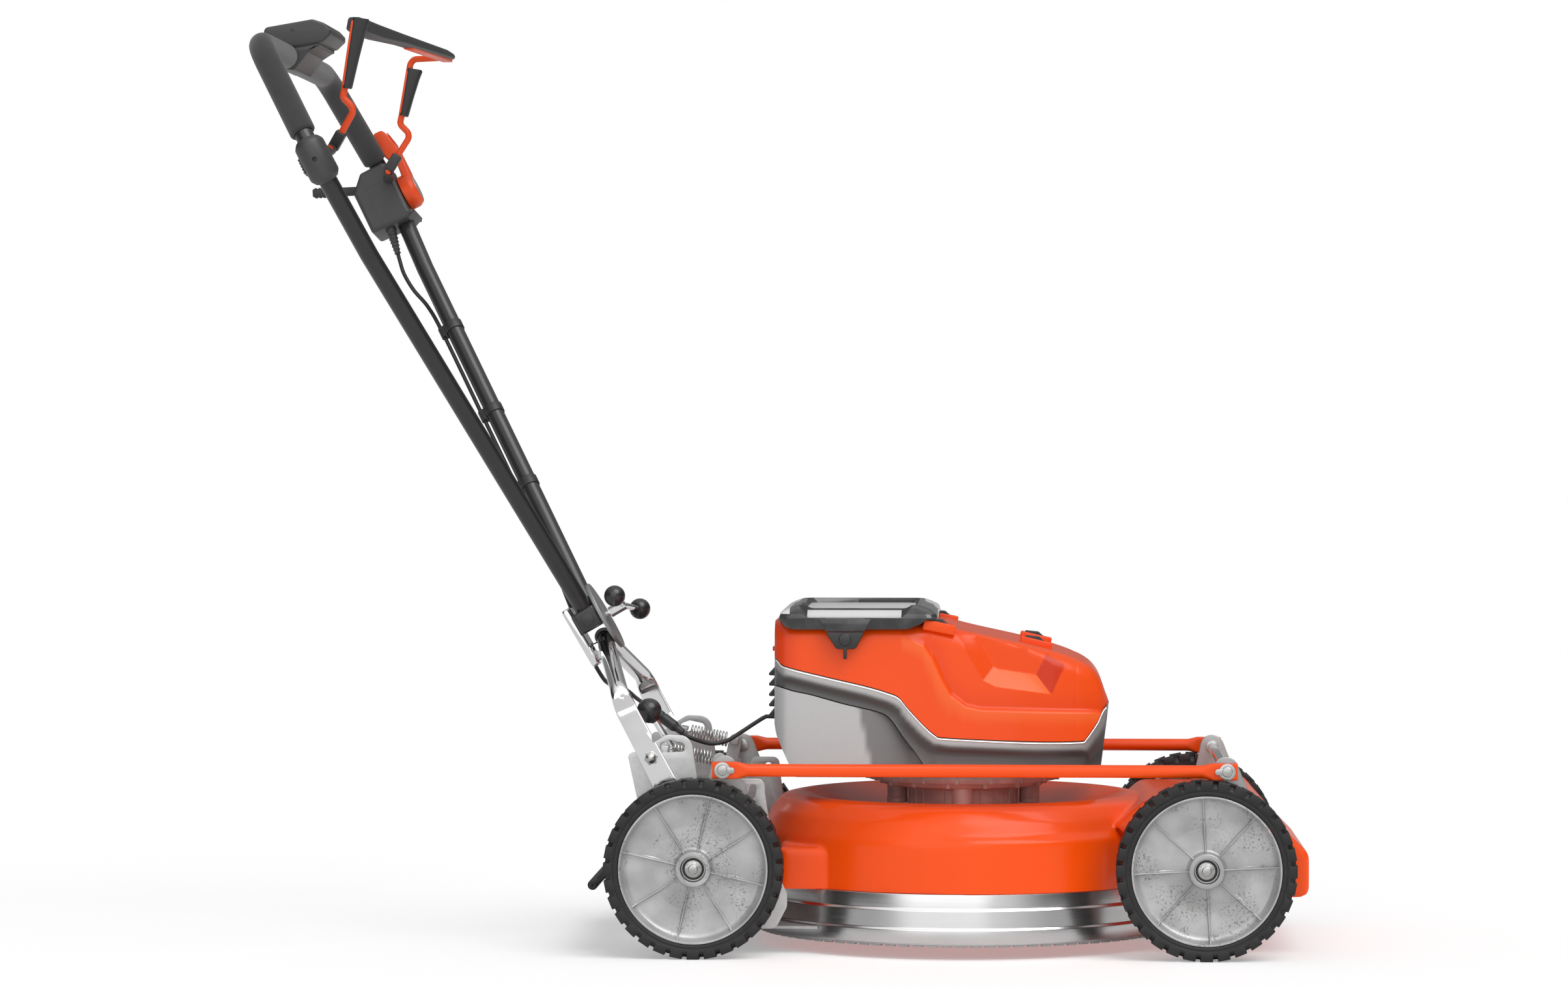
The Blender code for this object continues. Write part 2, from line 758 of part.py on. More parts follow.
def rear_axle():
    """Trailing cranks on stub pivots, tied by a through axle in line with the wheels."""
    reach = CRANK_INNER_FACE + CRANK_THICKNESS / 2.0
    ties = [((REAR_WHEEL_X, -reach, WHEEL_RADIUS), (REAR_WHEEL_X, reach, WHEEL_RADIUS), AXLE_RADIUS)]
    for word, side in SIDES:
        ties.append(((REAR_PIVOT_X, side * STUB_INNER_FACE, PIVOT_HEIGHT),
                     (REAR_PIVOT_X, side * reach, PIVOT_HEIGHT), STUB_RADIUS))
    made = crank_set("rear_axle", REAR_PIVOT_X, REAR_WHEEL_X, ties)
    for word, side in SIDES:
        y = side * (INNER_ARM_FACE + INNER_ARM_THICKNESS / 2.0)
        outline = slab((REAR_WHEEL_X, WHEEL_RADIUS), spring_seat_centre(1.0), INNER_ARM_HALF)
        arm = plate(f"rear_axle_arm_{word}", (outline,), INNER_ARM_THICKNESS, upright(y), sheet_metal())
        join(made, arm, spring_seat(f"rear_axle_seat_{word}", side, 1.0))
    return made


def spring_direction():
    back = Vector((SPRING_BACK[0], 0.0, SPRING_BACK[1]))
    front = Vector((SPRING_FRONT[0], 0.0, SPRING_FRONT[1]))
    return (front - back).normalized()


def spring_seat_centre(end):
    """Middle of the block that holds a spring's end: -1 the rear one, 1 the front one."""
    spot = SPRING_FRONT if end > 0.0 else SPRING_BACK
    axis = spring_direction()
    shift = end * (GAP + SEAT_SIZE / 2.0)
    return (spot[0] + axis.x * shift, spot[1] + axis.z * shift)


def spring_seat(name, side, end):
    """A square post across to the spring, its face square to the spring's wire."""
    x, z = spring_seat_centre(end)
    outer = INNER_ARM_FACE + INNER_ARM_THICKNESS / 2.0
    if end < 0.0:
        outer = PLATE_INNER_FACE + PLATE_THICKNESS / 2.0
    inner = SPRING_CENTRE - SEAT_SIZE / 2.0
    place = axes_matrix((x, side * (inner + outer) / 2.0, z), spring_direction(), (0.0, side, 0.0))
    half = SEAT_SIZE / 2.0
    length = (outer - inner) / 2.0
    return box(name, (-half, -half, -length), (half, half, length), sheet_metal(), place=place)


def coil_spring(name, side):
    """One unbroken wire: a straight end, the curls, and a straight end."""
    back = Vector((SPRING_BACK[0], side * SPRING_CENTRE, SPRING_BACK[1]))
    front = Vector((SPRING_FRONT[0], side * SPRING_CENTRE, SPRING_FRONT[1]))
    axis = (front - back).normalized()
    across = Vector((0.0, 1.0, 0.0))
    other = axis.cross(across)
    length = (front - back).length
    start = SPRING_LEAD_IN
    run = length - 2.0 * SPRING_LEAD_IN
    steps = SPRING_CURLS * SPRING_POINTS
    points = [back, back + axis * (2.0 * SPRING_WIRE_RADIUS)]
    for k in range(steps + 1):
        angle = 2.0 * math.pi * k / SPRING_POINTS
        here = back + axis * (start + run * k / steps)
        points.append(here + SPRING_RADIUS * (across * math.cos(angle) + other * math.sin(angle)))
    points += [front - axis * (2.0 * SPRING_WIRE_RADIUS), front]
    pitch = run / SPRING_CURLS
    print(f"{name}: {SPRING_CURLS} curls, least gap {1000 * least_gap(points, SPRING_POINTS):.2f} mm,"
          f" pitch {1000 * pitch:.2f} mm")
    return tube(name, [tuple(p) for p in points], SPRING_WIRE_RADIUS, steel(), 1)


def least_gap(points, apart):
    """Least distance between a wire's points that lie at least a few steps apart."""
    pts = np.array([tuple(p) for p in points])
    far = 1.0
    for i in range(len(pts)):
        rest = pts[i + apart // 2:]
        if len(rest):
            far = min(far, float(np.min(np.linalg.norm(rest - pts[i], axis=1))))
    return far - 2.0 * SPRING_WIRE_RADIUS


def height_rod(name, side):
    """A tube with a flattened eye at each end."""
    z = PIVOT_HEIGHT + PIN_RISE
    rear = REAR_PIVOT_X - PIN_BACK
    front = FRONT_PIVOT_X - PIN_BACK
    y = side * ROD_CENTRE
    overlap = 0.004
    made = rod(name, (rear + EYE_LENGTH - overlap, y, z), (front - EYE_LENGTH + overlap, y, z),
               ROD_RADIUS, orange(), BAR_FACETS)
    for end, x, way in (("rear", rear, 1.0), ("front", front, -1.0)):
        neck = ROD_RADIUS * 0.95
        corners = ((x - way * EYE_NOSE, z - EYE_HALF_HEIGHT, 0.003),
                   (x - way * EYE_NOSE, z + EYE_HALF_HEIGHT, 0.003),
                   (x + way * EYE_NOSE, z + EYE_HALF_HEIGHT, 0.002),
                   (x + way * EYE_LENGTH, z + neck, 0.0), (x + way * EYE_LENGTH, z - neck, 0.0),
                   (x + way * EYE_NOSE, z - EYE_HALF_HEIGHT, 0.002))
        hole = circle(x, z, PIN_RADIUS + RUNNING_GAP, PIN_FACETS)
        join(made, plate(f"{name}_eye_{end}", (rounded(corners, 0.0), hole), EYE_THICKNESS,
                         upright(y), orange()))
    return made


def front_axle():
    """Cranks on a cross tube inside the deck's nose, tied again between the rods' pins."""
    reach = CRANK_INNER_FACE + CRANK_THICKNESS / 2.0
    pin_x = FRONT_PIVOT_X - PIN_BACK
    pin_z = PIVOT_HEIGHT + PIN_RISE
    ties = [((FRONT_PIVOT_X, -reach, PIVOT_HEIGHT), (FRONT_PIVOT_X, reach, PIVOT_HEIGHT),
             PIVOT_TUBE_RADIUS),
            ((pin_x, -reach, pin_z), (pin_x, reach, pin_z), CROSS_TUBE_RADIUS)]
    return crank_set("front_axle", FRONT_PIVOT_X, FRONT_WHEEL_X, ties)


def height_lever():
    """A bent bar from the through axle up to its ball knob."""
    foot = (REAR_WHEEL_X, LEVER_CENTRE, WHEEL_RADIUS + AXLE_RADIUS + GAP)
    knee = (REAR_WHEEL_X - 0.002, LEVER_CENTRE, 0.190)
    knob = Vector((KNOB_X, LEVER_CENTRE, KNOB_Z))
    down = (Vector(knee) - knob).normalized()
    head = knob + down * (KNOB_RADIUS + GAP)
    tube("height_lever", bent((foot, knee, tuple(head)), (0.030,)), LEVER_RADIUS, steel(), 3)
    ball("height_knob", tuple(knob), KNOB_RADIUS, black_plastic(), 12, 8)


# Deck

def deck_profile(offset):
    """The deck's half section from the axis out and down, moved inwards by offset."""
    radius = DECK_RADIUS - offset
    crown = DECK_RADIUS - 0.029
    return [
        (0.0, DISH_HEIGHT - offset), (DISH_RADIUS, DISH_HEIGHT - offset),
        (crown - 0.034, DECK_TOP - 0.012 - offset),
        (crown, DECK_TOP - offset), (crown + 0.014 - offset, DECK_TOP - 0.006 - offset),
        (crown + 0.024 - offset, DECK_TOP - 0.019 - offset / 2.0), (radius, DECK_SHOULDER - offset),
    ]


def deck_body(name, offset, bottom):
    """Round body, rear shelf and front nose in one solid, shrunk by offset."""
    profile = deck_profile(offset) + [(DECK_RADIUS - offset, bottom), (0.0, bottom)]
    made = turned(name, profile, (DECK_X, 0.0, 0.0), (0.0, 0.0, 1.0), orange(), DECK_FACETS, closed=False)
    side = PLATE_INNER_FACE - GAP - offset
    shelf = box(name + "_shelf", (REAR_SHELF_X + offset, -side, bottom),
                (DECK_X - 0.05, side, REAR_SHELF_TOP - offset), orange())
    nose_side = [
        (0.480, bottom, 0.0), (0.6000, min(bottom, 0.0654), 0.0),
        (NOSE_FRONT - offset, min(bottom, 0.0660), 0.008),
        (NOSE_FRONT - offset, 0.1180 - offset, 0.008), (0.5950, 0.1470 - offset, 0.010),
        (0.5620, 0.1850 - offset, 0.006), (0.5450, 0.1960 - offset, 0.004),
        (0.5180, 0.1960 - offset, 0.004), (0.4980, 0.1830 - offset, 0.004),
        (0.4330, 0.1830 - offset, 0.010), (0.3950, 0.1500 - offset, 0.0)]
    nose = plate(name + "_nose", (rounded(nose_side, 0.0),), 2.0 * (NOSE_HALF_WIDTH - offset),
                 upright(0.0), orange())
    return join(made, shelf, nose)


def deck():
    made = deck_body("deck_shell", 0.0, DECK_BOTTOM)
    inside = deck_body("deck_inside", DECK_WALL, DECK_BOTTOM - 0.03)
    hide(inside)
    hole = rod("deck_shaft_hole", (DECK_X, 0.0, DISH_HEIGHT - 0.02), (DECK_X, 0.0, DISH_HEIGHT + 0.02),
               SHAFT_HOLE_RADIUS, orange(), BAR_FACETS)
    pivot = rod("deck_pivot_hole", (FRONT_PIVOT_X, -0.3, PIVOT_HEIGHT), (FRONT_PIVOT_X, 0.3, PIVOT_HEIGHT),
                (PIVOT_TUBE_RADIUS + GAP) / math.cos(math.pi / BAR_FACETS), orange(), BAR_FACETS)
    cut(made, inside, hole, pivot)
    return made


def skirt():
    """A stainless band below the deck's wall, stepped outwards twice."""
    top = DECK_BOTTOM - GAP
    outer = [(DECK_RADIUS + 0.002, top)]
    radius = DECK_RADIUS + 0.002
    for height in SKIRT_STEPS:
        outer.append((radius, height))
        radius += SKIRT_STEP
        outer.append((radius, height - 0.0006))
    outer.append((radius, SKIRT_BOTTOM))
    inner = [(radius - SKIRT_WALL * 1.25, SKIRT_BOTTOM), (outer[0][0] - SKIRT_WALL * 1.25, top)]
    made = turned("skirt_band", outer + inner, (DECK_X, 0.0, 0.0), (0.0, 0.0, 1.0), steel(), DECK_FACETS)
    return made


def skirt_outer():
    return DECK_RADIUS + 0.002 + SKIRT_STEP * len(SKIRT_STEPS)


def side_plate(name, side):
    """A bent sheet's upright: arch with the lever's window at the top, front lug, lower skirt."""
    outline = rounded((
        (-0.1792, 0.2366, 0.006), (-0.1682, 0.1852, 0.0), (-0.1500, 0.1150, 0.020),
        (-0.1380, FLOOR_HEIGHT, 0.010), (-0.0040, FLOOR_HEIGHT, 0.010), (0.0095, 0.0560, 0.010),
        (0.0095, 0.0720, 0.006), (-0.0040, 0.1000, 0.0), (-0.0165, 0.1900, 0.0),
        (-0.0175, 0.2067, 0.006), (-0.0520, 0.2067, 0.006), (-0.0600, 0.1760, 0.0),
        (-0.0920, 0.1760, 0.010), (-0.1000, 0.2300, 0.0), (-0.1040, 0.2573, 0.014),
        (-0.1330, 0.2585, 0.010), (-0.1500, 0.2480, 0.0), (-0.1640, 0.2380, 0.0)), 0.0)
    pivot = circle(REAR_PIVOT_X, PIVOT_HEIGHT, (STUB_RADIUS + GAP) / math.cos(math.pi / BORE_FACETS), BORE_FACETS)
    window = rounded(((-0.1404, 0.2370, 0.002), (-0.1110, 0.2385, 0.005), (-0.1110, 0.2480, 0.006),
                      (-0.1300, 0.2520, 0.004), (-0.1404, 0.2480, 0.002)), 0.0)
    lug = circle(-0.0330, 0.1905, 0.0045, 8)
    y = side * (PLATE_INNER_FACE + PLATE_THICKNESS / 2.0)
    made = plate(name, (outline, pivot, window, lug), PLATE_THICKNESS, upright(y), sheet_metal())
    join(made, spring_seat(f"{name}_seat", side, -1.0))
    bolt = rod(f"{name}_fold_hole", (FOLD_X, 0.0, FOLD_Z), (FOLD_X, side * 0.3, FOLD_Z),
               (FOLD_BOLT_RADIUS + GAP) / math.cos(math.pi / BAR_FACETS), sheet_metal(), BAR_FACETS)
    return cut(made, bolt, axle_slot(f"{name}_slot", side))


def axle_slot(name, side):
    """The arc that the through axle sweeps through a side plate, opened for it."""
    pivot = Vector((REAR_PIVOT_X, PIVOT_HEIGHT))
    arm = Vector((REAR_WHEEL_X, WHEEL_RADIUS)) - pivot
    radius = AXLE_RADIUS + SLOT_CLEARANCE
    lean = math.atan2(arm.y, arm.x)
    steps = 4
    outline = []
    for reach, first, last in ((arm.length + radius, 0.0, CRANK_TRAVEL), (arm.length - radius, CRANK_TRAVEL, 0.0)):
        for k in range(steps + 1):
            angle = lean + math.radians(first + (last - first) * k / steps)
            outline.append((pivot.x + reach * math.cos(angle), pivot.y + reach * math.sin(angle)))
        end_angle = lean + math.radians(last)
        centre = pivot + arm.length * Vector((math.cos(end_angle), math.sin(end_angle)))
        begin = end_angle if last else end_angle + math.pi
        for k in range(1, steps):
            turn = begin + math.pi * k / steps
            outline.append((centre.x + radius * math.cos(turn), centre.y + radius * math.sin(turn)))
    y = side * (PLATE_INNER_FACE + PLATE_THICKNESS / 2.0)
    return plate(name, (outline,), PLATE_THICKNESS * 4.0, upright(y), sheet_metal())


def rear_floor():
    """A flat panel between the side plates, curved in front to fit the skirt."""
    half = PLATE_INNER_FACE - GAP
    reach = skirt_outer() + GAP
    front = []
    steps = 16
    span = math.asin(half / reach)
    reach = reach / math.cos(span / steps)
    for k in range(steps + 1):
        angle = math.pi - span + 2.0 * span * k / steps
        front.append((DECK_X + reach * math.cos(angle), reach * math.sin(angle)))
    outline = [(FLOOR_REAR, half), (FLOOR_REAR, -half)] + list(reversed(front))
    z = FLOOR_HEIGHT + FLOOR_THICKNESS / 2.0
    made = plate("rear_floor", (outline,), FLOOR_THICKNESS, level(z), sheet_metal())
    beam = box("rear_floor_beam", (FLOOR_REAR, -half, FLOOR_HEIGHT + 0.001),
               (FLOOR_REAR + 0.003, half, FLOOR_HEIGHT + 0.026), sheet_metal())
    return join(made, beam)


def rear_flap():
    """A rubber trailing flap on a rod between the side plates, its foot thicker."""
    top = Vector((FLAP_HINGE_X, FLAP_HINGE_Z))
    foot = Vector((FLAP_END_X, FLAP_END_Z))
    made = plate("rear_flap", (slab(top, foot, FLAP_THICKNESS / 2.0, 3),), 2.0 * FLAP_HALF_WIDTH,
                 upright(0.0), rubber())
    half = FLAP_HALF_WIDTH
    bead = rod("rear_flap_bead", (foot.x, -half, foot.y), (foot.x, half, foot.y), 0.006, rubber(), 12)
    pin_half = PLATE_INNER_FACE - GAP
    pin = rod("rear_flap_pin", (top.x, -pin_half, top.y), (top.x, pin_half, top.y), 0.005, rubber(), 12)
    return join(made, bead, pin)


# Motor and cutter

def motor_housing():
    """A cast cup with its mounting flange, boss feet round it, open at the top."""
    base = DISH_HEIGHT + GAP
    inner = MOTOR_RADIUS - MOTOR_WALL
    bush = (SHAFT_RADIUS + RUNNING_GAP) / math.cos(math.pi / MOTOR_FACETS)
    profile = (
        (MOTOR_FLANGE_RADIUS, MOTOR_TOP), (MOTOR_FLANGE_RADIUS, MOTOR_FLANGE_BOTTOM),
        (MOTOR_RING_RADIUS, MOTOR_RING_BOTTOM), (MOTOR_RADIUS, MOTOR_RING_BOTTOM),
        (MOTOR_RADIUS, base), (bush, base), (bush, base + MOTOR_WALL),
        (inner, base + MOTOR_WALL), (inner, MOTOR_TOP))
    made = turned("motor_housing", profile, (DECK_X, 0.0, 0.0), (0.0, 0.0, 1.0), cast_metal(), MOTOR_FACETS)
    tools = []
    for k in range(BOSS_COUNT):
        angle = 2.0 * math.pi * k / BOSS_COUNT
        x = DECK_X + BOSS_CIRCLE * math.cos(angle)
        y = BOSS_CIRCLE * math.sin(angle)
        tools.append(rod(f"motor_boss_{k}", (x, y, BOSS_BOTTOM), (x, y, MOTOR_RING_BOTTOM + 0.004),
                         BOSS_RADIUS, cast_metal(), BAR_FACETS))
    return join(made, *tools)


def motor_inside():
    base = DISH_HEIGHT + GAP + MOTOR_WALL + GAP
    top = base + STATOR_HEIGHT
    outer = MOTOR_RADIUS - MOTOR_WALL - GAP
    profile = ((outer, top), (outer, base), (STATOR_INNER_RADIUS, base), (STATOR_INNER_RADIUS, top))
    turned("stator", profile, (DECK_X, 0.0, 0.0), (0.0, 0.0, 1.0), copper(), MOTOR_FACETS)
    shaft_low = BLADE_BOTTOM + BLADE_THICKNESS + GAP
    drum_low = base + 0.002
    drum_high = top - 0.002
    profile = ((0.0, top + 0.008), (SHAFT_RADIUS, top + 0.008), (SHAFT_RADIUS, drum_high),
               (ROTOR_RADIUS, drum_high), (ROTOR_RADIUS, drum_low), (SHAFT_RADIUS, drum_low),
               (SHAFT_RADIUS, shaft_low), (0.0, shaft_low))
    turned("rotor_shaft", profile, (DECK_X, 0.0, 0.0), (0.0, 0.0, 1.0), steel(), BAR_FACETS, closed=False)


def cutter():
    top = BLADE_BOTTOM + BLADE_THICKNESS + GAP
    inner = (SHAFT_RADIUS + GAP) / math.cos(math.pi / BAR_FACETS)
    profile = ((SHAFT_RADIUS + 0.005, top + ADAPTER_HEIGHT), (ADAPTER_RADIUS, top + 0.006),
               (ADAPTER_RADIUS, top), (inner, top), (inner, top + ADAPTER_HEIGHT))
    turned("blade_adapter", profile, (DECK_X, 0.0, 0.0), (0.0, 0.0, 1.0), cast_metal(), BAR_FACETS)
    half = BLADE_LENGTH / 2.0
    wide = BLADE_WIDTH / 2.0
    outline = rounded(((DECK_X - half, -wide, 0.004), (DECK_X - half * 0.62, -wide, 0.0),
                       (DECK_X + half, -wide * 0.55, 0.010), (DECK_X + half, wide, 0.004),
                       (DECK_X + half * 0.62, wide, 0.0), (DECK_X - half, wide * 0.55, 0.010)), 0.0)
    hole = circle(DECK_X, 0.0, BLADE_HOLE_RADIUS, BORE_FACETS)
    plate("blade", (outline, hole), BLADE_THICKNESS, level(BLADE_BOTTOM + BLADE_THICKNESS / 2.0), steel())
    low = BLADE_BOTTOM - GAP
    bolt = rod("blade_bolt", (DECK_X, 0.0, low - BOLT_HEAD_HEIGHT), (DECK_X, 0.0, low),
               BOLT_HEAD_RADIUS, steel(), 6)
    shank = rod("blade_bolt_shank", (DECK_X, 0.0, low - 0.001), (DECK_X, 0.0, top - GAP),
                BLADE_HOLE_RADIUS - GAP, steel(), 12)
    join(bolt, shank)


# Power unit

def body_stations():
    """(x, top height, half width) of the housing's sections, rear to front."""
    return (
        (0.000, 0.000, -0.020), (0.005, 0.000, -0.007), (0.025, 0.000, 0.0),
        (0.188, -0.001, 0.0), (0.232, -0.0125, -0.001), (0.291, -0.0250, -0.005),
        (0.346, -0.0390, -0.016), (0.382, -0.0580, -0.030),
        (0.395, -0.0860, -0.042), (0.399, -0.1080, -0.050))


def section(x, top, half, bottom, corner_top, corner_bottom):
    """One ring round the housing, a rounded rectangle with a narrower top."""
    lean = 0.012
    corners = ((-half, bottom, corner_bottom), (half, bottom, corner_bottom),
               (half - lean, top, corner_top), (-half + lean, top, corner_top))
    return [(x, y, z) for y, z in rounded(corners, 0.0)]


def loft(name, rings, coat):
    """Skins rings of equal count and closes both ends."""
    bm = bmesh.new()
    rows = [[bm.verts.new(p) for p in ring] for ring in rings]
    count = len(rings[0])
    for a, b in zip(rows, rows[1:]):
        for k in range(count):
            bm.faces.new((a[k], b[k], b[(k + 1) % count], a[(k + 1) % count]))
    bm.faces.new(rows[0])
    bm.faces.new(list(reversed(rows[-1])))
    bmesh.ops.recalc_face_normals(bm, faces=bm.faces)
    return from_bmesh(name, bm, coat)


def body_solid(name, inset):
    rings = []
    reach = BODY_FRONT - BODY_REAR
    stations = body_stations()
    full = stations[-1][0]
    for at, drop, narrow in stations:
        x = BODY_REAR + inset + (reach - 2.0 * inset) * at / full
        half = BODY_HALF_WIDTH + narrow - inset
        rings.append(section(x, BODY_TOP + drop - inset, half, BODY_BOTTOM + inset, 0.026, 0.014))
    return loft(name, rings, orange())


def seam_upper():
    """Where the orange hood meets the silver band, rear to front, in X and Z."""
    return [(-0.030, 0.3500), (-0.0068, 0.3457), (0.0040, 0.3368), (0.0510, 0.3249), (0.1011, 0.3133),
            (0.1273, 0.3056), (0.1397, 0.3002), (0.1512, 0.2867), (0.1690, 0.2678), (0.1836, 0.2555),
            (0.1983, 0.2524), (0.3016, 0.2478), (0.3548, 0.2478), (0.3610, 0.2501), (0.3756, 0.2702),
            (0.3872, 0.2894), (0.4200, 0.3000)]


def seam_lower():
    """The lower edge of the silver band, rear to front and down, in X and Z."""
    return [(-0.030, 0.3150), (-0.0068, 0.3133), (0.0155, 0.3072), (0.0363, 0.3029), (0.0741, 0.2925),
            (0.1158, 0.2825), (0.1304, 0.2732), (0.1451, 0.2524), (0.1628, 0.2293), (0.1720, 0.2110),
            (0.1730, 0.1800)]


def moved(points, up):
    return [(x, z + up) for x, z in points]


def region(name, outline):
    return plate(name, (outline,), 0.5, upright(0.0), orange())


def housing_shell(name, outline, pockets=()):
    """The part of the hollow housing inside an outline in X and Z; pockets are walled in."""
    made = body_solid(name, 0.0)
    inside = body_solid(name + "_inside", BODY_WALL)
    cut(inside, *pockets)
    keep = region(name + "_region", outline)
    shape(made, (inside,), "DIFFERENCE")
    shape(made, (keep,), "INTERSECT")
    return made


def recoat(obj, coat):
    obj.data.materials.clear()
    obj.data.materials.append(coat)


def housing():
    upper = seam_upper()
    lower = seam_lower()
    half_gap = SEAM_GAP / 2.0
    pockets = [grip_recess(f"hood_pocket_{word}", side, BODY_WALL) for word, side in SIDES]
    hood = housing_shell("hood", moved(upper, half_gap) + [(REGION_FRONT, REGION_TOP), (REGION_REAR, REGION_TOP)],
                         pockets)
    opening = box("hood_opening", (BAY_REAR - GAP, -BAY_HALF_WIDTH - GAP, BODY_TOP - BAY_DEPTH),
                  (BAY_FRONT + GAP, BAY_HALF_WIDTH + GAP, REGION_TOP), orange())
    cut(hood, opening)
    for word, side in SIDES:
        cut(hood, grip_recess(f"hood_recess_{word}", side, 0.0))
    band = housing_shell("side_band", moved(upper, -half_gap) + [(REGION_FRONT, REGION_BOTTOM)]
                         + list(reversed([(x + half_gap, z + half_gap) for x, z in lower])))
    recoat(band, silver_plastic())
    rear = housing_shell("lower_shell", [(x - half_gap, z - half_gap) for x, z in lower]
                         + [(REGION_REAR, REGION_BOTTOM)])
    recoat(rear, sheet_metal())
    for shell in (band, rear):
        centre = rod(shell.name + "_motor_hole", (DECK_X, 0.0, 0.15), (DECK_X, 0.0, 0.23),
                     MOTOR_RADIUS, orange(), MOTOR_FACETS)
        cut(shell, centre)


def grip_recess(name, side, wall):
    """The slanted hand recess in the hood's shoulder, grown by a wall to line it."""
    corners = [(x, BODY_TOP - drop) for x, drop in RECESS_CORNERS]
    low = BODY_HALF_WIDTH - RECESS_DEPTH - wall
    width = RECESS_REACH - low
    return plate(name, (widened(corners, wall),), width, upright(side * (low + width / 2.0)), orange())


def widened(corners, wall):
    """A convex outline, given clockwise, with every side moved outwards by a wall."""
    out = []
    count = len(corners)
    for i in range(count):
        here = Vector(corners[i])
        back = (here - Vector(corners[i - 1])).normalized()
        ahead = (Vector(corners[(i + 1) % count]) - here).normalized()
        first = Vector((-back.y, back.x))
        second = Vector((-ahead.y, ahead.x))
        away = first + second
        spot = here + away * (wall / (1.0 + first.dot(second)))
        out.append((spot.x, spot.y))
    return out


def grille():
    """Black louvres on a backing strip that stands on the housing's rear wall."""
    half = 0.075
    back = BODY_REAR - GAP
    depth = 0.0025
    low = LOUVRE_TOP - LOUVRE_PITCH * (LOUVRES - 1) - 0.008
    made = box("rear_grille", (back - depth, -half, low), (back, half, LOUVRE_TOP + 0.006), black_plastic())
    tools = []
    for k in range(LOUVRES):
        z = LOUVRE_TOP - k * LOUVRE_PITCH
        outline = ((back - 0.001, z + 0.003), (back - 0.001, z - 0.005), (back - LOUVRE_DEPTH, z - 0.005),
                   (back - LOUVRE_DEPTH, z - 0.002))
        tools.append(plate(f"rear_louvre_{k}", (outline,), 2.0 * half - 0.004, upright(0.0), black_plastic()))
    return join(made, *tools)


def battery_bay():
    """An open tray that hangs by its rim in the hood's opening."""
    rim_low = BODY_TOP + GAP
    rim_high = rim_low + BAY_RIM_THICKNESS
    low = rim_low - BAY_DEPTH
    half = BAY_HALF_WIDTH
    made = box("battery_bay", (BAY_REAR, -half, low), (BAY_FRONT, half, rim_low + 0.001), black_plastic())
    lip = box("battery_bay_rim", (BAY_REAR - BAY_RIM, -half - BAY_RIM, rim_low),
              (BAY_FRONT + BAY_RIM, half + BAY_RIM, rim_high), black_plastic())
    hollow = box("battery_bay_hollow", (BAY_REAR + BAY_WALL, -half + BAY_WALL, low + BAY_WALL),
                 (BAY_FRONT - BAY_WALL, half - BAY_WALL, 0.5), black_plastic())
    join(made, lip)
    return cut(made, hollow)


def batteries():
    floor = BODY_TOP + GAP - BAY_DEPTH + BAY_WALL + GAP
    middle = (BAY_REAR + BAY_FRONT) / 2.0
    for word, side in SIDES:
        near = side * BATTERY_APART
        far = side * (BATTERY_APART + BATTERY_WIDTH)
        box(f"battery_{word}", (middle - BATTERY_LENGTH / 2.0, min(near, far), floor),
            (middle + BATTERY_LENGTH / 2.0, max(near, far), floor + BATTERY_HEIGHT),
            black_plastic(), BATTERY_EDGE)


def controller():
    """The motor's drive electronics, on the housing's floor ahead of the battery bay."""
    floor = BODY_BOTTOM + BODY_WALL + GAP
    box("controller", (DECK_X + MOTOR_RADIUS + 0.008, -0.060, floor),
        (DECK_X + MOTOR_RADIUS + 0.078, 0.060, floor + 0.026), cast_metal(), 0.003)


def lid():
    """A smoked frame with a sunk white panel, hinged along its left side."""
    base = BODY_TOP + GAP + BAY_RIM_THICKNESS + GAP
    half = LID_HALF_WIDTH
    inner = 0.030
    rings = []
    for z, grow in ((base, 0.0), (base + 0.008, -0.003), (LID_TOP - 0.003, -0.014), (LID_TOP, -0.020)):
        corners = ((LID_REAR - grow, -half - grow, 0.012), (LID_FRONT + grow, -half - grow, 0.012),
                   (LID_FRONT + grow, half + grow, 0.012), (LID_REAR - grow, half + grow, 0.012))
        rings.append([(x, y, z) for x, y in rounded(corners, 0.0, 2)])
    frame = loft("lid_frame", rings, black_plastic())
    low = (LID_REAR + inner, -half + inner)
    high = (LID_FRONT - inner, half - inner)
    sunk = box("lid_sunk", (*low, LID_TOP - 0.004), (*high, LID_TOP + 0.02), black_plastic())
    hollow = box("lid_hollow", (LID_REAR + 0.020, -half + 0.020, base - 0.01),
                 (LID_FRONT - 0.020, half - 0.020, LID_TOP - 0.004 - LID_WALL), black_plastic())
    cut(frame, sunk, hollow)
    ear_high = base + 0.004
    ear_low = LATCH_TOP + GAP
    ear = box("lid_ear", (LATCH_X - LATCH_WIDTH * 0.5, -BODY_HALF_WIDTH - GAP - LATCH_THICKNESS, ear_low),
              (LATCH_X + LATCH_WIDTH * 0.5, -BODY_HALF_WIDTH - GAP, ear_high), black_plastic())
    bridge = box("lid_bridge", (LATCH_X - LATCH_WIDTH * 0.5, -BODY_HALF_WIDTH - LATCH_THICKNESS, base),
                 (LATCH_X + LATCH_WIDTH * 0.5, -half + 0.004, ear_high), black_plastic())
    join(frame, ear, bridge)
    box("lid_panel", (low[0] + GAP, low[1] + GAP, LID_TOP - 0.004 + GAP),
        (high[0] - GAP, high[1] - GAP, LID_TOP - 0.0005), white_plastic(), 0.001)
    return frame


def lid_hinge():
    """Middle of the lid's hinge line, along its left lower edge."""
    return ((LID_REAR + LID_FRONT) / 2.0, LID_HALF_WIDTH, BODY_TOP + GAP + BAY_RIM_THICKNESS)


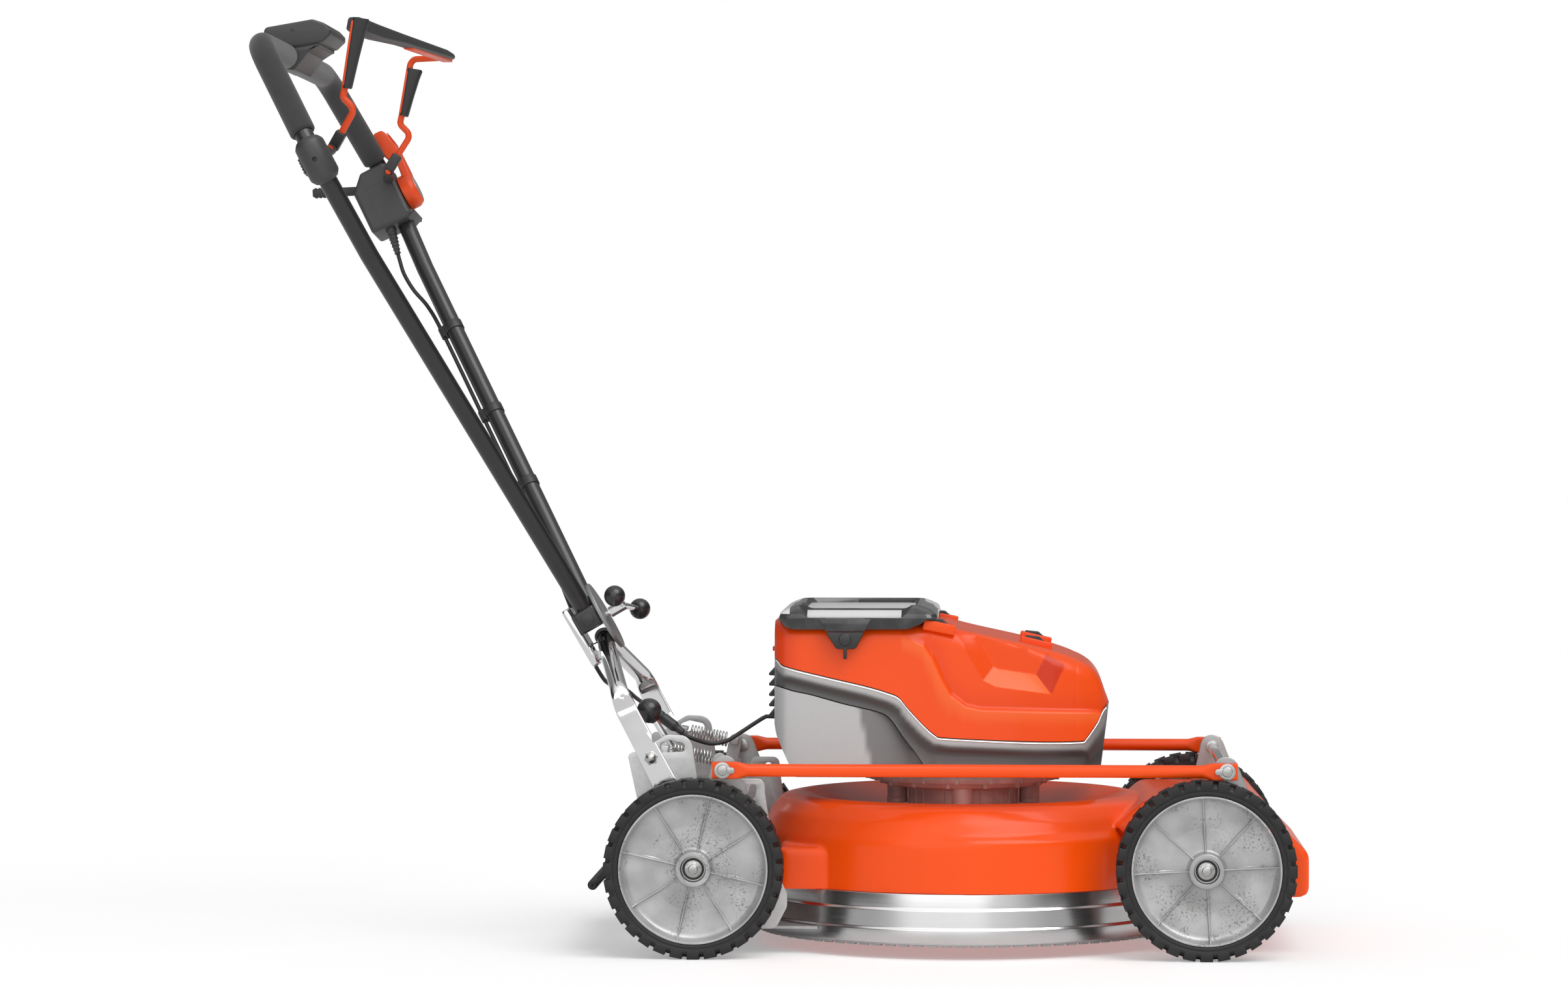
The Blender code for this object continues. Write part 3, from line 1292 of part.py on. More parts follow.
def latch_hinge():
    """Middle of the latch's hinge line, along its top edge."""
    return (LATCH_X, -BODY_HALF_WIDTH - GAP - LATCH_THICKNESS, LATCH_TOP)


def latch():
    """A tapered thumb latch below the lid's ear, with its round boss and pull tab."""
    front = -BODY_HALF_WIDTH - GAP
    y = front - LATCH_THICKNESS / 2.0
    half = LATCH_WIDTH / 2.0
    top = LATCH_TOP
    outline = rounded(((LATCH_X - half, top, 0.0), (LATCH_X - half * 0.45, top - LATCH_HEIGHT * 0.62, 0.006),
                       (LATCH_X + half * 0.55, top - LATCH_HEIGHT * 0.62, 0.006),
                       (LATCH_X + half, top, 0.0)), 0.0)
    made = plate("lid_latch", (outline,), LATCH_THICKNESS, upright(y), black_plastic())
    boss = rod("lid_latch_boss", (LATCH_X, front - 0.001, top - 0.009),
               (LATCH_X, front - LATCH_THICKNESS - 0.002, top - 0.009), 0.0076, black_plastic(), 16)
    tab = box("lid_latch_tab", (LATCH_X - 0.002, front - LATCH_THICKNESS, top - LATCH_HEIGHT),
              (LATCH_X + 0.002, front - 0.001, top - LATCH_HEIGHT * 0.55), black_plastic())
    return join(made, boss, tab)


# Handle frame

def tube_axis():
    """Direction up along the folded-flat plane of the handle, in X and Z."""
    return Vector((-math.sin(TUBE_LEAN), 0.0, math.cos(TUBE_LEAN)))


def joint_normal():
    """Direction of the swivel's screw, forward and up."""
    return Vector((math.cos(TUBE_LEAN), 0.0, math.sin(TUBE_LEAN)))


def joint_place():
    """A frame on the swivel: local X up the handle, local Z along the screw."""
    return axes_matrix((JOINT_CENTRE[0], 0.0, JOINT_CENTRE[1]), tube_axis(), joint_normal())


def leg_outline():
    """The flat lower part of a leg, from the crimp down round the fold's bolt."""
    top = Vector(LEG_CRIMP)
    foot = Vector((FOLD_X, FOLD_Z))
    knee = Vector(LEG_KNEE)
    half = LEG_WIDTH / 2.0
    knee_half = LEG_TOP_WIDTH / 2.0
    down = (foot - knee).normalized()
    side = Vector((down.y, -down.x))
    lead = (knee - top).normalized()
    lead_side = Vector((lead.y, -lead.x))
    outline = [tuple(top - lead_side * LEG_TUBE_RADIUS), tuple(knee - side * knee_half)]
    start = math.atan2(-side.y, -side.x)
    steps = 6
    for k in range(steps + 1):
        angle = start - math.pi * k / steps
        outline.append((foot.x + half * math.cos(angle), foot.y + half * math.sin(angle)))
    outline.append(tuple(knee + side * knee_half))
    outline.append(tuple(top + lead_side * LEG_TUBE_RADIUS))
    return outline


def a_frame():
    """One tube bent to a wide V, its ends flattened, welded to the channel behind the joint."""
    front = HEAD_GAP + DISC_THICKNESS / 2.0
    half = HEAD_HALF_WIDTH
    place = joint_place()
    made = box("a_frame", (-HEAD_BELOW, -half, -front - HEAD_THICKNESS), (HEAD_ABOVE, half, -front),
               chrome(), place=place)
    channel = box("a_frame_channel", (-HEAD_BELOW - 0.01, -half + HEAD_WALL, -front - HEAD_THICKNESS + HEAD_WALL),
                  (-APEX_BELOW, half - HEAD_WALL, -front + 0.01), chrome(), place=place)
    cut(made, channel)
    y = LEG_FACE + LEG_THICKNESS / 2.0
    apex = place @ Vector((-APEX_BELOW, 0.0, -APEX_BEHIND))
    points = []
    for side in (-1.0, 1.0):
        crimp = (LEG_CRIMP[0], side * (y - 0.002), LEG_CRIMP[1])
        foot = (LEG_KNEE[0], side * y, LEG_KNEE[1] + 0.006)
        points += [foot, crimp] if side < 0.0 else [crimp, foot]
        if side < 0.0:
            points.append(tuple(apex))
    line = bent(points, (0.020, APEX_BEND, 0.020), 3)
    scales = [0.35] + [1.0] * (len(line) - 2) + [0.35]
    tools = [tube("a_frame_legs", line, LEG_TUBE_RADIUS, chrome(), 2, scales)]
    for word, side in SIDES:
        tools.append(plate(f"a_frame_flat_{word}", (leg_outline(),), LEG_THICKNESS,
                           upright(side * y), chrome()))
    tools.append(box("a_frame_spine", (-HEAD_BELOW + 0.004, -0.008, -front - HEAD_THICKNESS + 0.001),
                     (-APEX_BELOW - 0.002, 0.008, -APEX_BEHIND), chrome(), place=place))
    for word, side in SIDES:
        tools += fold_bolt(f"a_frame_bolt_{word}", side) + dome_nut(f"a_frame_nut_{word}", side)
    centre = place.translation
    normal = joint_normal()
    tools.append(rod("a_frame_stud", tuple(centre - normal * (front + HEAD_THICKNESS / 2.0)),
                     tuple(centre + normal * STUD_REACH), SCREW_RADIUS, chrome(), 16))
    return join(made, *tools)


def fold_bolt(name, side):
    """The bolt that a leg turns on, headed inside the side plate and outside the leg."""
    inner = PLATE_INNER_FACE - GAP
    outer = LEG_FACE + LEG_THICKNESS
    bars = ((inner - FOLD_HEAD_HEIGHT, outer, FOLD_BOLT_RADIUS),
            (inner - FOLD_HEAD_HEIGHT, inner, FOLD_HEAD_RADIUS),
            (outer - GAP, outer + FOLD_HEAD_HEIGHT, FOLD_HEAD_RADIUS))
    return [rod(f"{name}_{k}", (FOLD_X, side * low, FOLD_Z), (FOLD_X, side * high, FOLD_Z),
                radius, chrome(), PIN_FACETS) for k, (low, high, radius) in enumerate(bars)]


def dome_nut(name, side):
    """The cap nut on a leg's outer face."""
    x, z = DOME_NUT
    face = LEG_FACE + LEG_THICKNESS
    base = face + DOME_NUT_HEIGHT * 0.4
    return [rod(name, (x, side * (face - GAP), z), (x, side * base, z), DOME_NUT_RADIUS, chrome(), 6),
            rod(f"{name}_cap", (x, side * (base - GAP), z), (x, side * (face + DOME_NUT_HEIGHT), z),
                DOME_NUT_RADIUS * 0.85, chrome(), PIN_FACETS, end_radius=DOME_NUT_RADIUS * 0.40)]


def swivel_disc():
    """The round friction plate in front of the handle's knuckle."""
    half = DISC_THICKNESS / 2.0
    profile = ((DISC_RADIUS, half), (DISC_RADIUS, -half), (SCREW_RADIUS + GAP, -half),
               (SCREW_RADIUS + GAP, half))
    centre = joint_place().translation
    return turned("swivel_disc", profile, tuple(centre), tuple(joint_normal()), sheet_metal(), DISC_FACETS)


def tension_knob():
    """The T-handled nut that clamps the joint on its stud: washer, sleeve and two ball ends."""
    centre = joint_place().translation
    normal = joint_normal()
    front = DISC_THICKNESS / 2.0 + GAP
    made = rod("tension_knob", tuple(centre + normal * front), tuple(centre + normal * (front + 0.004)),
               0.011, steel(), 20)
    sleeve = rod("tension_knob_sleeve", tuple(centre + normal * (front + 0.003)),
                 tuple(centre + normal * (front + 0.026)), 0.0065, steel(), 6)
    hub = centre + normal * (front + 0.022)
    tilt = math.radians(-18.0)
    bar = Vector((0.0, 1.0, 0.0)) * math.cos(tilt) + tube_axis() * math.sin(tilt)
    reach = 0.046
    lift = 0.0096
    ends = [hub - bar * reach + normal * lift, hub + bar * reach + normal * lift]
    arm = tube("tension_knob_arm", bent((tuple(ends[0]), tuple(hub), tuple(ends[1])), (0.02,)),
               0.0038, steel(), 2)
    tools = [sleeve, arm]
    for k, spot in enumerate(ends):
        tools.append(ball(f"tension_knob_ball_{k}", tuple(spot), 0.0128, black_plastic(), 10, 6))
    join(made, *tools)
    thread = rod("tension_knob_thread", tuple(centre), tuple(centre + normal * (STUD_REACH + GAP)),
                 SCREW_RADIUS + RUNNING_GAP, steel(), 16)
    return cut(made, thread)


# Handle

def handle_line():
    """The handle tube's whole centre line, right foot to left foot."""
    right = [TUBE_FOOT, TUBE_KNEE, TUBE_COLLAR, TUBE_CORNER]
    whole = right + [mirror_y(p) for p in reversed(right)]
    bends = [KNEE_BEND, COLLAR_BEND, CORNER_BEND]
    return bent(whole, bends + list(reversed(bends)), 3)


def line_to_collar():
    """Distance along the handle's centre line from its foot to the middle of its collar."""
    line = handle_line()
    collar = Vector(TUBE_COLLAR)
    run = 0.0
    best = (1.0, 0.0)
    for a, b in zip(line, line[1:len(line) // 2]):
        step = (Vector(b) - Vector(a)).length
        middle = (Vector(a) + Vector(b)) / 2.0
        best = min(best, ((middle - collar).length, run + step / 2.0))
        run += step
    return best[1]


def handle_tube():
    """The bent tube, welded at its feet to the knuckle that turns on the joint's screw."""
    made = tube("handle_tube", handle_line(), TUBE_RADIUS, black_plastic(), 3)
    half = KNUCKLE_HALF_WIDTH
    back = -(HEAD_GAP + DISC_THICKNESS / 2.0 - GAP)
    front = -(DISC_THICKNESS / 2.0 + GAP)
    knuckle = box("handle_knuckle", (-KNUCKLE_BELOW, -half, back),
                  (KNUCKLE_ABOVE, half, front), black_plastic(), place=joint_place())
    join(made, knuckle)
    centre = joint_place().translation
    normal = joint_normal()
    hole = rod("handle_screw_hole", tuple(centre - normal * 0.06), tuple(centre + normal * 0.02),
               SCREW_RADIUS + RUNNING_GAP, black_plastic(), 16)
    return cut(made, hole)


def sleeve_on_line(name, start, end, radius, bore, coat):
    """A sleeve that follows the handle's centre line between two distances along it."""
    line = clip_line(handle_line(), start, end)
    made = tube(name, line, radius, coat, 2)
    first = Vector(line[0])
    last = Vector(line[-1])
    before = first + (first - Vector(line[1])).normalized() * 0.01
    after = last + (last - Vector(line[-2])).normalized() * 0.01
    core = tube(name + "_bore", [tuple(before)] + line + [tuple(after)], bore, coat, 3)
    return cut(made, core)


def tube_bore():
    """Radius of a many-sided bore whose flats still clear the handle tube's corners."""
    return (TUBE_RADIUS + GAP) / math.cos(math.pi / TUBE_FACETS)


def clip_line(line, start, end):
    """The stretch of a line between two distances along it."""
    pts = [Vector(p) for p in line]
    out = []
    run = 0.0
    for a, b in zip(pts, pts[1:]):
        length = (b - a).length
        if length < 1e-9:
            continue
        for mark in (start, end):
            if run <= mark < run + length and mark == start:
                out.append(a + (b - a) * ((mark - run) / length))
        if start < run + length < end:
            out.append(b.copy())
        if run <= end < run + length:
            out.append(a + (b - a) * ((end - run) / length))
            break
        run += length
    clean = [out[0]]
    for p in out[1:]:
        if (p - clean[-1]).length > 1e-5:
            clean.append(p)
    return [tuple(p) for p in clean]


def line_length(line):
    return sum((Vector(b) - Vector(a)).length for a, b in zip(line, line[1:]))


def grips():
    """Foam sleeves over the bends, from above each collar to the console."""
    total = line_length(handle_line())
    start = line_to_collar() + GRIP_START
    end = total / 2.0 - GRIP_END
    bore = tube_bore()
    sleeve_on_line("grip_right", start, end, GRIP_RADIUS, bore, foam())
    sleeve_on_line("grip_left", total - end, total - start, GRIP_RADIUS, bore, foam())


def console():
    """The display housing clamped round the middle of the cross bar."""
    x = TUBE_CORNER[0]
    z = TUBE_CORNER[2]
    outline = rounded([(x + ahead, z + up, radius) for ahead, up, radius in CONSOLE_CORNERS], 0.0)
    bar = circle(TUBE_CORNER[0], TUBE_CORNER[2], TUBE_RADIUS + GAP, 20)
    return plate("console", (outline, bar), 2.0 * CONSOLE_HALF_WIDTH, upright(0.0), black_plastic())


def box_place():
    """A frame on the left tube in the middle of the control box: X forward, Z up the tube."""
    middle = line_to_collar()
    stretch = clip_line(handle_line(), middle - BOX_BELOW, middle + BOX_ABOVE)
    low = Vector(mirror_y(stretch[0]))
    high = Vector(mirror_y(stretch[-1]))
    axis = (high - low).normalized()
    forward = Vector((axis.z, 0.0, -axis.x))
    return axes_matrix(tuple((low + high) / 2.0), tuple(forward), tuple(axis))


def bored(name, made, side):
    """Cuts the handle tube's own bore through a piece that is clamped on it."""
    middle = line_to_collar()
    stretch = clip_line(handle_line(), middle - 0.09, middle + 0.09)
    if side > 0.0:
        stretch = [mirror_y(p) for p in stretch]
    core = tube(name + "_tube_bore", stretch, tube_bore(), black_plastic(), 3)
    return cut(made, core)


def collar():
    """The round bail holder on the right tube, with the boss that the bail turns in."""
    middle = line_to_collar()
    half = COLLAR_LENGTH / 2.0
    line = clip_line(handle_line(), middle - half, middle + half)
    inner = clip_line(handle_line(), middle - half + COLLAR_CHAMFER, middle + half - COLLAR_CHAMFER)
    end_scale = (COLLAR_RADIUS - COLLAR_CHAMFER * 0.6) / COLLAR_RADIUS
    scales = [end_scale] + [1.0] * len(inner) + [end_scale]
    made = tube("collar_right", [line[0]] + inner + [line[-1]], COLLAR_RADIUS, black_plastic(), 3, scales)
    join(made, bail_boss("collar_right_boss", -1.0))
    bored("collar_right", made, -1.0)
    return cut(made, bail_hole("collar_right_hole", -1.0))


def bail_boss(name, side):
    """A round arm on the inner side of the tube's fitting, in which the bail turns."""
    x, z = BAIL_PIVOT
    near = side * (BAIL_PIVOT_HALF + BOSS_FACE)
    far = Vector(TUBE_COLLAR)
    far = Vector((far.x, side * (abs(far.y) - TUBE_RADIUS), far.z))
    made = rod(name, (x, near, z), tuple(far), BOSS_HALF, black_plastic(), BAR_FACETS)
    return made


def bail_hole(name, side):
    x, z = BAIL_PIVOT
    return rod(name, (x, side * (BAIL_PIVOT_HALF - 0.01), z),
               (x, side * (BAIL_PIVOT_HALF + BAIL_END + RUNNING_GAP), z),
               BAIL_RADIUS + RUNNING_GAP, black_plastic(), BORE_FACETS)


def control_box():
    """The switch box on the left tube, with the bail's boss and the cable boot below."""
    place = box_place()
    half = (BOX_BELOW + BOX_ABOVE) / 2.0
    outline = ((-BOX_REAR, -half * 0.93), (BOX_FRONT - 0.006, -half), (BOX_FRONT + 0.006, -half * 0.88),
               (BOX_FRONT + 0.006, -half * 0.82), (BOX_FRONT, -half * 0.77), (BOX_FRONT, half * 0.86),
               (BOX_FRONT - 0.006, half), (-BOX_REAR * 0.55, half), (-BOX_REAR, half * 0.50))
    lying = place @ Matrix.Rotation(math.pi / 2.0, 4, "X")
    made = plate("control_box", (outline,), BOX_WIDTH, lying, black_plastic())
    soften(made, 0.004)
    boot_top, boot_end = boot_line()
    boot = rod("control_box_boot", boot_top, boot_end, 0.0070, black_plastic(), BAR_FACETS, end_radius=0.0042)
    join(made, bail_boss("control_box_boss", 1.0), boot)
    bored("control_box", made, 1.0)
    return cut(made, bail_hole("control_box_hole", 1.0))


def boot_line():
    """Top and lower end of the cable boot under the control box."""
    half = (BOX_BELOW + BOX_ABOVE) / 2.0
    top = box_place() @ Vector((-BOX_REAR * 0.45, -0.010, -half + 0.004))
    end = top + Vector((0.0100, -0.004, -0.0340))
    return tuple(top), tuple(end)


def bail_leg(side):
    """Corner points of one leg of the bail's wire, pivot end first."""
    x, z = BAIL_PIVOT
    half = BAIL_PIVOT_HALF
    return [(x, side * (half + BAIL_END), z), (x, side * half, z), (-0.4905, side * BAIL_KNEE_HALF, 0.9905),
            (-0.5045, side * BAIL_KNEE_HALF, 1.0045), (-0.5020, side * BAIL_KNEE_HALF, 1.0150),
            (-0.4905, side * BAIL_TOP_HALF, 1.0870)]


def bail_far_corner():
    """Where the bail's bar ends on the left, ahead of its left leg."""
    top = bail_leg(1.0)[-1]
    return (top[0] + BAIL_BAR_REACH, top[1] - BAIL_BAR_INSET, top[2])


def bail_points():
    """The bail's wire from its right end to its left end; the bar leans forward to the left."""
    radii = [0.006, 0.010, 0.008, 0.014, 0.010, 0.010, 0.010, 0.014, 0.008, 0.010, 0.006]
    whole = bail_leg(-1.0) + [bail_far_corner()] + list(reversed(bail_leg(1.0)))
    return bent(whole, radii, 2)


def bail():
    """Wire bail with grip covers clipped over its front, one leg's cover also over the bar."""
    tube("bail_wire", bail_points(), BAIL_RADIUS, red_plastic(), 1)
    bore = (BAIL_RADIUS + GAP) / math.cos(math.pi / 6.0)
    for word, side in SIDES:
        low = Vector(bail_leg(side)[-2])
        high = Vector(bail_leg(side)[-1])
        place = axes_matrix(tuple(low), (1.0, 0.0, 0.0), tuple(high - low))
        length = (high - low).length
        top = length + 0.010 if side < 0.0 else length - 0.012
        leg = box(f"bail_cover_{word}", (-0.0015, -COVER_WIDTH / 2.0, 0.0),
                  (COVER_THICKNESS, COVER_WIDTH / 2.0, top), black_plastic(), 0.002, place)
        if side < 0.0:
            far = Vector(bail_far_corner())
            bar_place = axes_matrix(tuple(high), (0.0, 0.0, 1.0), tuple(far - high))
            bar = box("bail_cover_bar", (-0.0015, -0.010, -0.004), (0.0110, 0.012, (far - high).length + 0.008),
                      black_plastic(), 0.002, bar_place)
            join(leg, bar)
        channel = tube(f"bail_channel_{word}", bail_points(), bore, black_plastic(), 1)
        cut(leg, channel)


def lever_pivot():
    """Where the speed lever's axis leaves the front face of the control box."""
    forward = (box_place().to_3x3() @ Vector((1.0, 0.0, 0.0))).normalized()
    pivot = Vector(LEVER_PIVOT)
    return pivot - forward * ((pivot - box_place().translation).dot(forward) - BOX_FRONT - GAP)


def speed_lever():
    """A thumb lever turning on the front of the control box."""
    forward = (box_place().to_3x3() @ Vector((1.0, 0.0, 0.0))).normalized()
    up = (box_place().to_3x3() @ Vector((0.0, 0.0, 1.0))).normalized()
    pivot = lever_pivot()
    made = rod("speed_lever", tuple(pivot), tuple(pivot + forward * LEVER_HUB_HEIGHT), LEVER_HUB_RADIUS,
               red_plastic(), 24)
    arm_place = axes_matrix(tuple(pivot), tuple(up), tuple(forward))
    low = LEVER_HUB_HEIGHT * 0.55
    high = LEVER_HUB_HEIGHT * 0.95
    arm = box("speed_lever_arm", (0.0, -0.011, low), (LEVER_REACH * 0.72, 0.011, high), red_plastic(), 0.002,
              arm_place)
    tip = box("speed_lever_tip", (LEVER_REACH * 0.62, -0.013, low - 0.003), (LEVER_REACH, 0.013, high - 0.002),
              red_plastic(), 0.002, arm_place)
    return join(made, arm, tip)


# Control lead

def tube_point(height, side=1.0):
    """A point of the lower handle tube's centre line at a height."""
    foot = Vector(TUBE_FOOT)
    top = Vector(TUBE_KNEE)
    spot = foot + (top - foot) * ((height - foot.z) / (top.z - foot.z))
    return Vector((spot.x, spot.y * -side, spot.z))


def lead_beside_tube(height):
    spot = tube_point(height)
    away = -joint_normal() * (TUBE_RADIUS + LEAD_RADIUS + CLIP_PAD)
    return tuple(spot + away)


def lead_upper_points():
    top, end = (Vector(p) for p in boot_line())
    way = (end - top).normalized()
    start = end + way * GAP
    return [tuple(start), tuple(start + way * 0.010), (-0.5150, 0.2700, 0.8030), (-0.4850, 0.2540, 0.7790),
            lead_beside_tube(0.745), lead_beside_tube(0.640), lead_beside_tube(0.550),
            lead_beside_tube(LEAD_SPLIT)]


def connector_ends():
    """Centres of the connector's two end faces."""
    return Vector((-0.1690, -0.0930, 0.2910)), Vector((-0.1187, -0.1052, 0.2552))


def lead_middle_points():
    start, end = connector_ends()
    way = (end - start).normalized()
    last = start - way * GAP
    return [lead_beside_tube(LEAD_SPLIT - GAP), lead_beside_tube(LEAD_SPLIT - 0.010), (-0.2630, 0.0600, 0.4150),
            (-0.2470, 0.0640, 0.3820), (-0.2350, 0.0600, 0.3450), (-0.2220, 0.0380, 0.3130),
            (-0.2120, 0.0000, 0.3060), (-0.2010, -0.0400, 0.3060), (-0.1880, -0.0760, 0.3040),
            tuple(last - way * 0.010), tuple(last)]


def lead_lower_points():
    start, end = connector_ends()
    way = (end - start).normalized()
    first = end + way * GAP
    face = BODY_REAR - GAP
    return [tuple(first), tuple(first + way * 0.008), (-0.0870, -0.0980, 0.2420),
            (-0.0673, -0.0930, 0.2450), (-0.0512, -0.0880, 0.2545), (-0.0327, -0.0830, 0.2665),
            (face - 0.012, LEAD_ENTRY[0], LEAD_ENTRY[1]), (face - 0.006, LEAD_ENTRY[0], LEAD_ENTRY[1]),
            (face, LEAD_ENTRY[0], LEAD_ENTRY[1])]


def leads():
    spacing = 6.0 * LEAD_RADIUS
    tube("lead_upper", smooth_path(lead_upper_points(), spacing), LEAD_RADIUS, rubber(), 2)
    tube("lead_middle", smooth_path(lead_middle_points(), spacing), LEAD_RADIUS, rubber(), 2)
    tube("lead_lower", smooth_path(lead_lower_points(), spacing), LEAD_RADIUS, rubber(), 2)
    start, end = connector_ends()
    way = (end - start).normalized()
    length = (end - start).length
    radius = CONNECTOR_RADIUS
    profile = ((0.0, 0.0), (radius * 0.55, 0.0), (radius, 0.006), (radius, length * 0.30),
               (radius * 0.80, length * 0.34), (radius * 0.80, length * 0.78),
               (radius * 0.5, length), (0.0, length))
    made = turned("connector", tuple(reversed(profile)), (0.0, 0.0, 0.0), (0.0, 0.0, 1.0),
                  black_plastic(), BORE_FACETS, closed=False)
    made.matrix_world = axes_matrix(tuple(start), (0.0, 1.0, 0.0), tuple(way))


# Joint axes and materials

def hang(piece, carrier):
    """Parents a piece, with the tools of its Booleans, to a carrier, and leaves it in place."""
    piece.parent = carrier
    piece.matrix_parent_inverse = carrier.matrix_world.inverted()
    for mod in piece.modifiers:
        if mod.type == "BOOLEAN":
            hang(mod.object, carrier)


def axis_empty(name, place, nodes, carrier=None):
    """An empty on a joint's axis, which carries the pieces that move on it."""
    empty = put(bpy.data.objects.new(name, None))
    empty.empty_display_size = 0.02
    empty.matrix_world = Matrix.Translation(Vector(place))
    if carrier:
        empty.parent = carrier
        empty.matrix_parent_inverse = carrier.matrix_world.inverted()
    for node in nodes:
        hang(bpy.data.objects[node], empty)
    return empty


def joint_axes():
    """One empty for each moving body, on the axis that the body turns or slides on."""
    cranks = {"rear": axis_empty("axis_rear_crank", (REAR_PIVOT_X, 0.0, PIVOT_HEIGHT),
                                 ("rear_axle", "height_lever", "height_knob")),
              "front": axis_empty("axis_front_crank", (FRONT_PIVOT_X, 0.0, PIVOT_HEIGHT), ("front_axle",))}
    for word, side in SIDES:
        for end, x in (("rear", REAR_WHEEL_X), ("front", FRONT_WHEEL_X)):
            spot = (x, side * (TYRE_INNER_FACE + TYRE_OUTER_FACE) / 2.0, WHEEL_RADIUS)
            nodes = [f"{kind}_{end}_{word}" for kind in ("tyre", "rim", "wheel_bearing")]
            axis_empty(f"axis_wheel_{end}_{word}", spot, nodes, cranks[end])
        pin = (REAR_PIVOT_X - PIN_BACK, side * ROD_CENTRE, PIVOT_HEIGHT + PIN_RISE)
        axis_empty(f"axis_rod_{word}", pin, (f"height_rod_{word}",), cranks["rear"])
        middle = ((BAY_REAR + BAY_FRONT) / 2.0, side * (BATTERY_APART + BATTERY_WIDTH / 2.0), BODY_TOP)
        axis_empty(f"axis_battery_{word}", middle, (f"battery_{word}",))
    axis_empty("axis_rotor", (DECK_X, 0.0, DISH_HEIGHT), ("rotor_shaft", "blade_adapter", "blade", "blade_bolt"))
    axis_empty("axis_flap", (FLAP_HINGE_X, 0.0, FLAP_HINGE_Z), ("rear_flap",))
    lid_axis = axis_empty("axis_lid", lid_hinge(), ("lid_frame", "lid_panel"))
    axis_empty("axis_latch", latch_hinge(), ("lid_latch",), lid_axis)
    frame = axis_empty("axis_fold", (FOLD_X, 0.0, FOLD_Z), ("a_frame", "swivel_disc"))
    swivel = joint_place().translation
    axis_empty("axis_knob", swivel, ("tension_knob",), frame)
    handle = axis_empty("axis_handle", swivel, ("handle_tube", "grip_right", "grip_left", "console",
                                                "collar_right", "control_box"), frame)
    axis_empty("axis_bail", (BAIL_PIVOT[0], 0.0, BAIL_PIVOT[1]),
               ("bail_wire", "bail_cover_right", "bail_cover_left"), handle)
    axis_empty("axis_speed_lever", lever_pivot(), ("speed_lever",), handle)


def own_materials():
    """Gives each piece a material of its own, named after it."""
    for piece in bpy.data.collections[PARTS].objects:
        if piece.type == "MESH":
            coat = piece.data.materials[0].copy()
            coat.name = piece.name + "_finish"
            recoat(piece, coat)


def build():
    clear_scene()
    wheels()
    rear_axle()
    front_axle()
    height_lever()
    for word, side in SIDES:
        height_rod(f"height_rod_{word}", side)
        coil_spring(f"lift_spring_{word}", side)
        side_plate(f"side_plate_{word}", side)
    deck()
    skirt()
    rear_floor()
    rear_flap()
    motor_housing()
    motor_inside()
    cutter()
    housing()
    grille()
    battery_bay()
    batteries()
    controller()
    lid()
    latch()
    a_frame()
    swivel_disc()
    tension_knob()
    handle_tube()
    grips()
    console()
    collar()
    control_box()
    bail()
    speed_lever()
    leads()
    joint_axes()
    own_materials()


build()
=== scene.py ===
"""Cordless lawn mower: the finished pieces, dressed over the CAD frame.

Metres, +Z up, +X towards the mower's front, -Y is its right-hand side, nearest to the camera.
"""
import math

import bmesh
import bpy
import numpy as np
from bpy.props import BoolProperty, FloatProperty, FloatVectorProperty, IntProperty, PointerProperty
from mathutils import Matrix, Vector


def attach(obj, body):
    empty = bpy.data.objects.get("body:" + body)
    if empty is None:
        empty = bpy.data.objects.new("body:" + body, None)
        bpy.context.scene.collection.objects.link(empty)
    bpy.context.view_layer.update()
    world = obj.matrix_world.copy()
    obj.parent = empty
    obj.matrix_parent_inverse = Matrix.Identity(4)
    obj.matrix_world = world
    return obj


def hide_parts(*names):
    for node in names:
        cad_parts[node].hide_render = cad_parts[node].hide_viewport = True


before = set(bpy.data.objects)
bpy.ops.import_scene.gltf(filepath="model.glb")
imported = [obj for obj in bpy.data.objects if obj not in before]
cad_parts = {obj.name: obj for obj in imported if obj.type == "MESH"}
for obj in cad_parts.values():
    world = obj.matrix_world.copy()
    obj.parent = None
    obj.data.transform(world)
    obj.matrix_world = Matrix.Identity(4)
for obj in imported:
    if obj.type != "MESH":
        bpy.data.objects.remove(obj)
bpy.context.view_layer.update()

bl_info = {
    "name": "Lawn mower builder",
    "version": (1, 0, 0),
    "blender": (4, 5, 0),
    "location": "3D View > Sidebar > Mower",
    "description": "Builds the finished pieces of a cordless lawn mower over its CAD frame",
    "category": "Object",
}

SIDES = (("right", -1.0), ("left", 1.0))
ENDS = (("rear", -0.098), ("front", 0.500))
DECK_X = 0.215


# Sizes and colours that a user would change

def colour_choice(name, description, value):
    return FloatVectorProperty(name=name, description=description, subtype="COLOR", size=3,
                               min=0.0, max=1.0, default=value)


class MowerPaints(bpy.types.PropertyGroup):
    """Colours of the mower's finishes, as linear light"""
    orange: colour_choice("Orange", "Paint of the deck, hood and rods", (0.93, 0.080, 0.002))
    red: colour_choice("Red", "Plastic of the bail and the speed lever", (0.76, 0.075, 0.014))
    band: colour_choice("Band", "Silver band round the housing", (0.46, 0.45, 0.445))
    shell: colour_choice("Lower shell", "Grey shell behind the band", (0.50, 0.50, 0.50))
    rim: colour_choice("Rims", "Cast silver of the wheels", (0.50, 0.50, 0.50))
    black: colour_choice("Black", "Textured black plastic", (0.021, 0.021, 0.022))
    rubber: colour_choice("Rubber", "Tyres and leads", (0.013, 0.013, 0.013))
    foam: colour_choice("Foam", "Handle grips", (0.036, 0.036, 0.036))
    cast: colour_choice("Casting", "Motor housing", (0.54, 0.52, 0.51))
    floor: colour_choice("Floor", "Studio floor", (0.80, 0.80, 0.80))


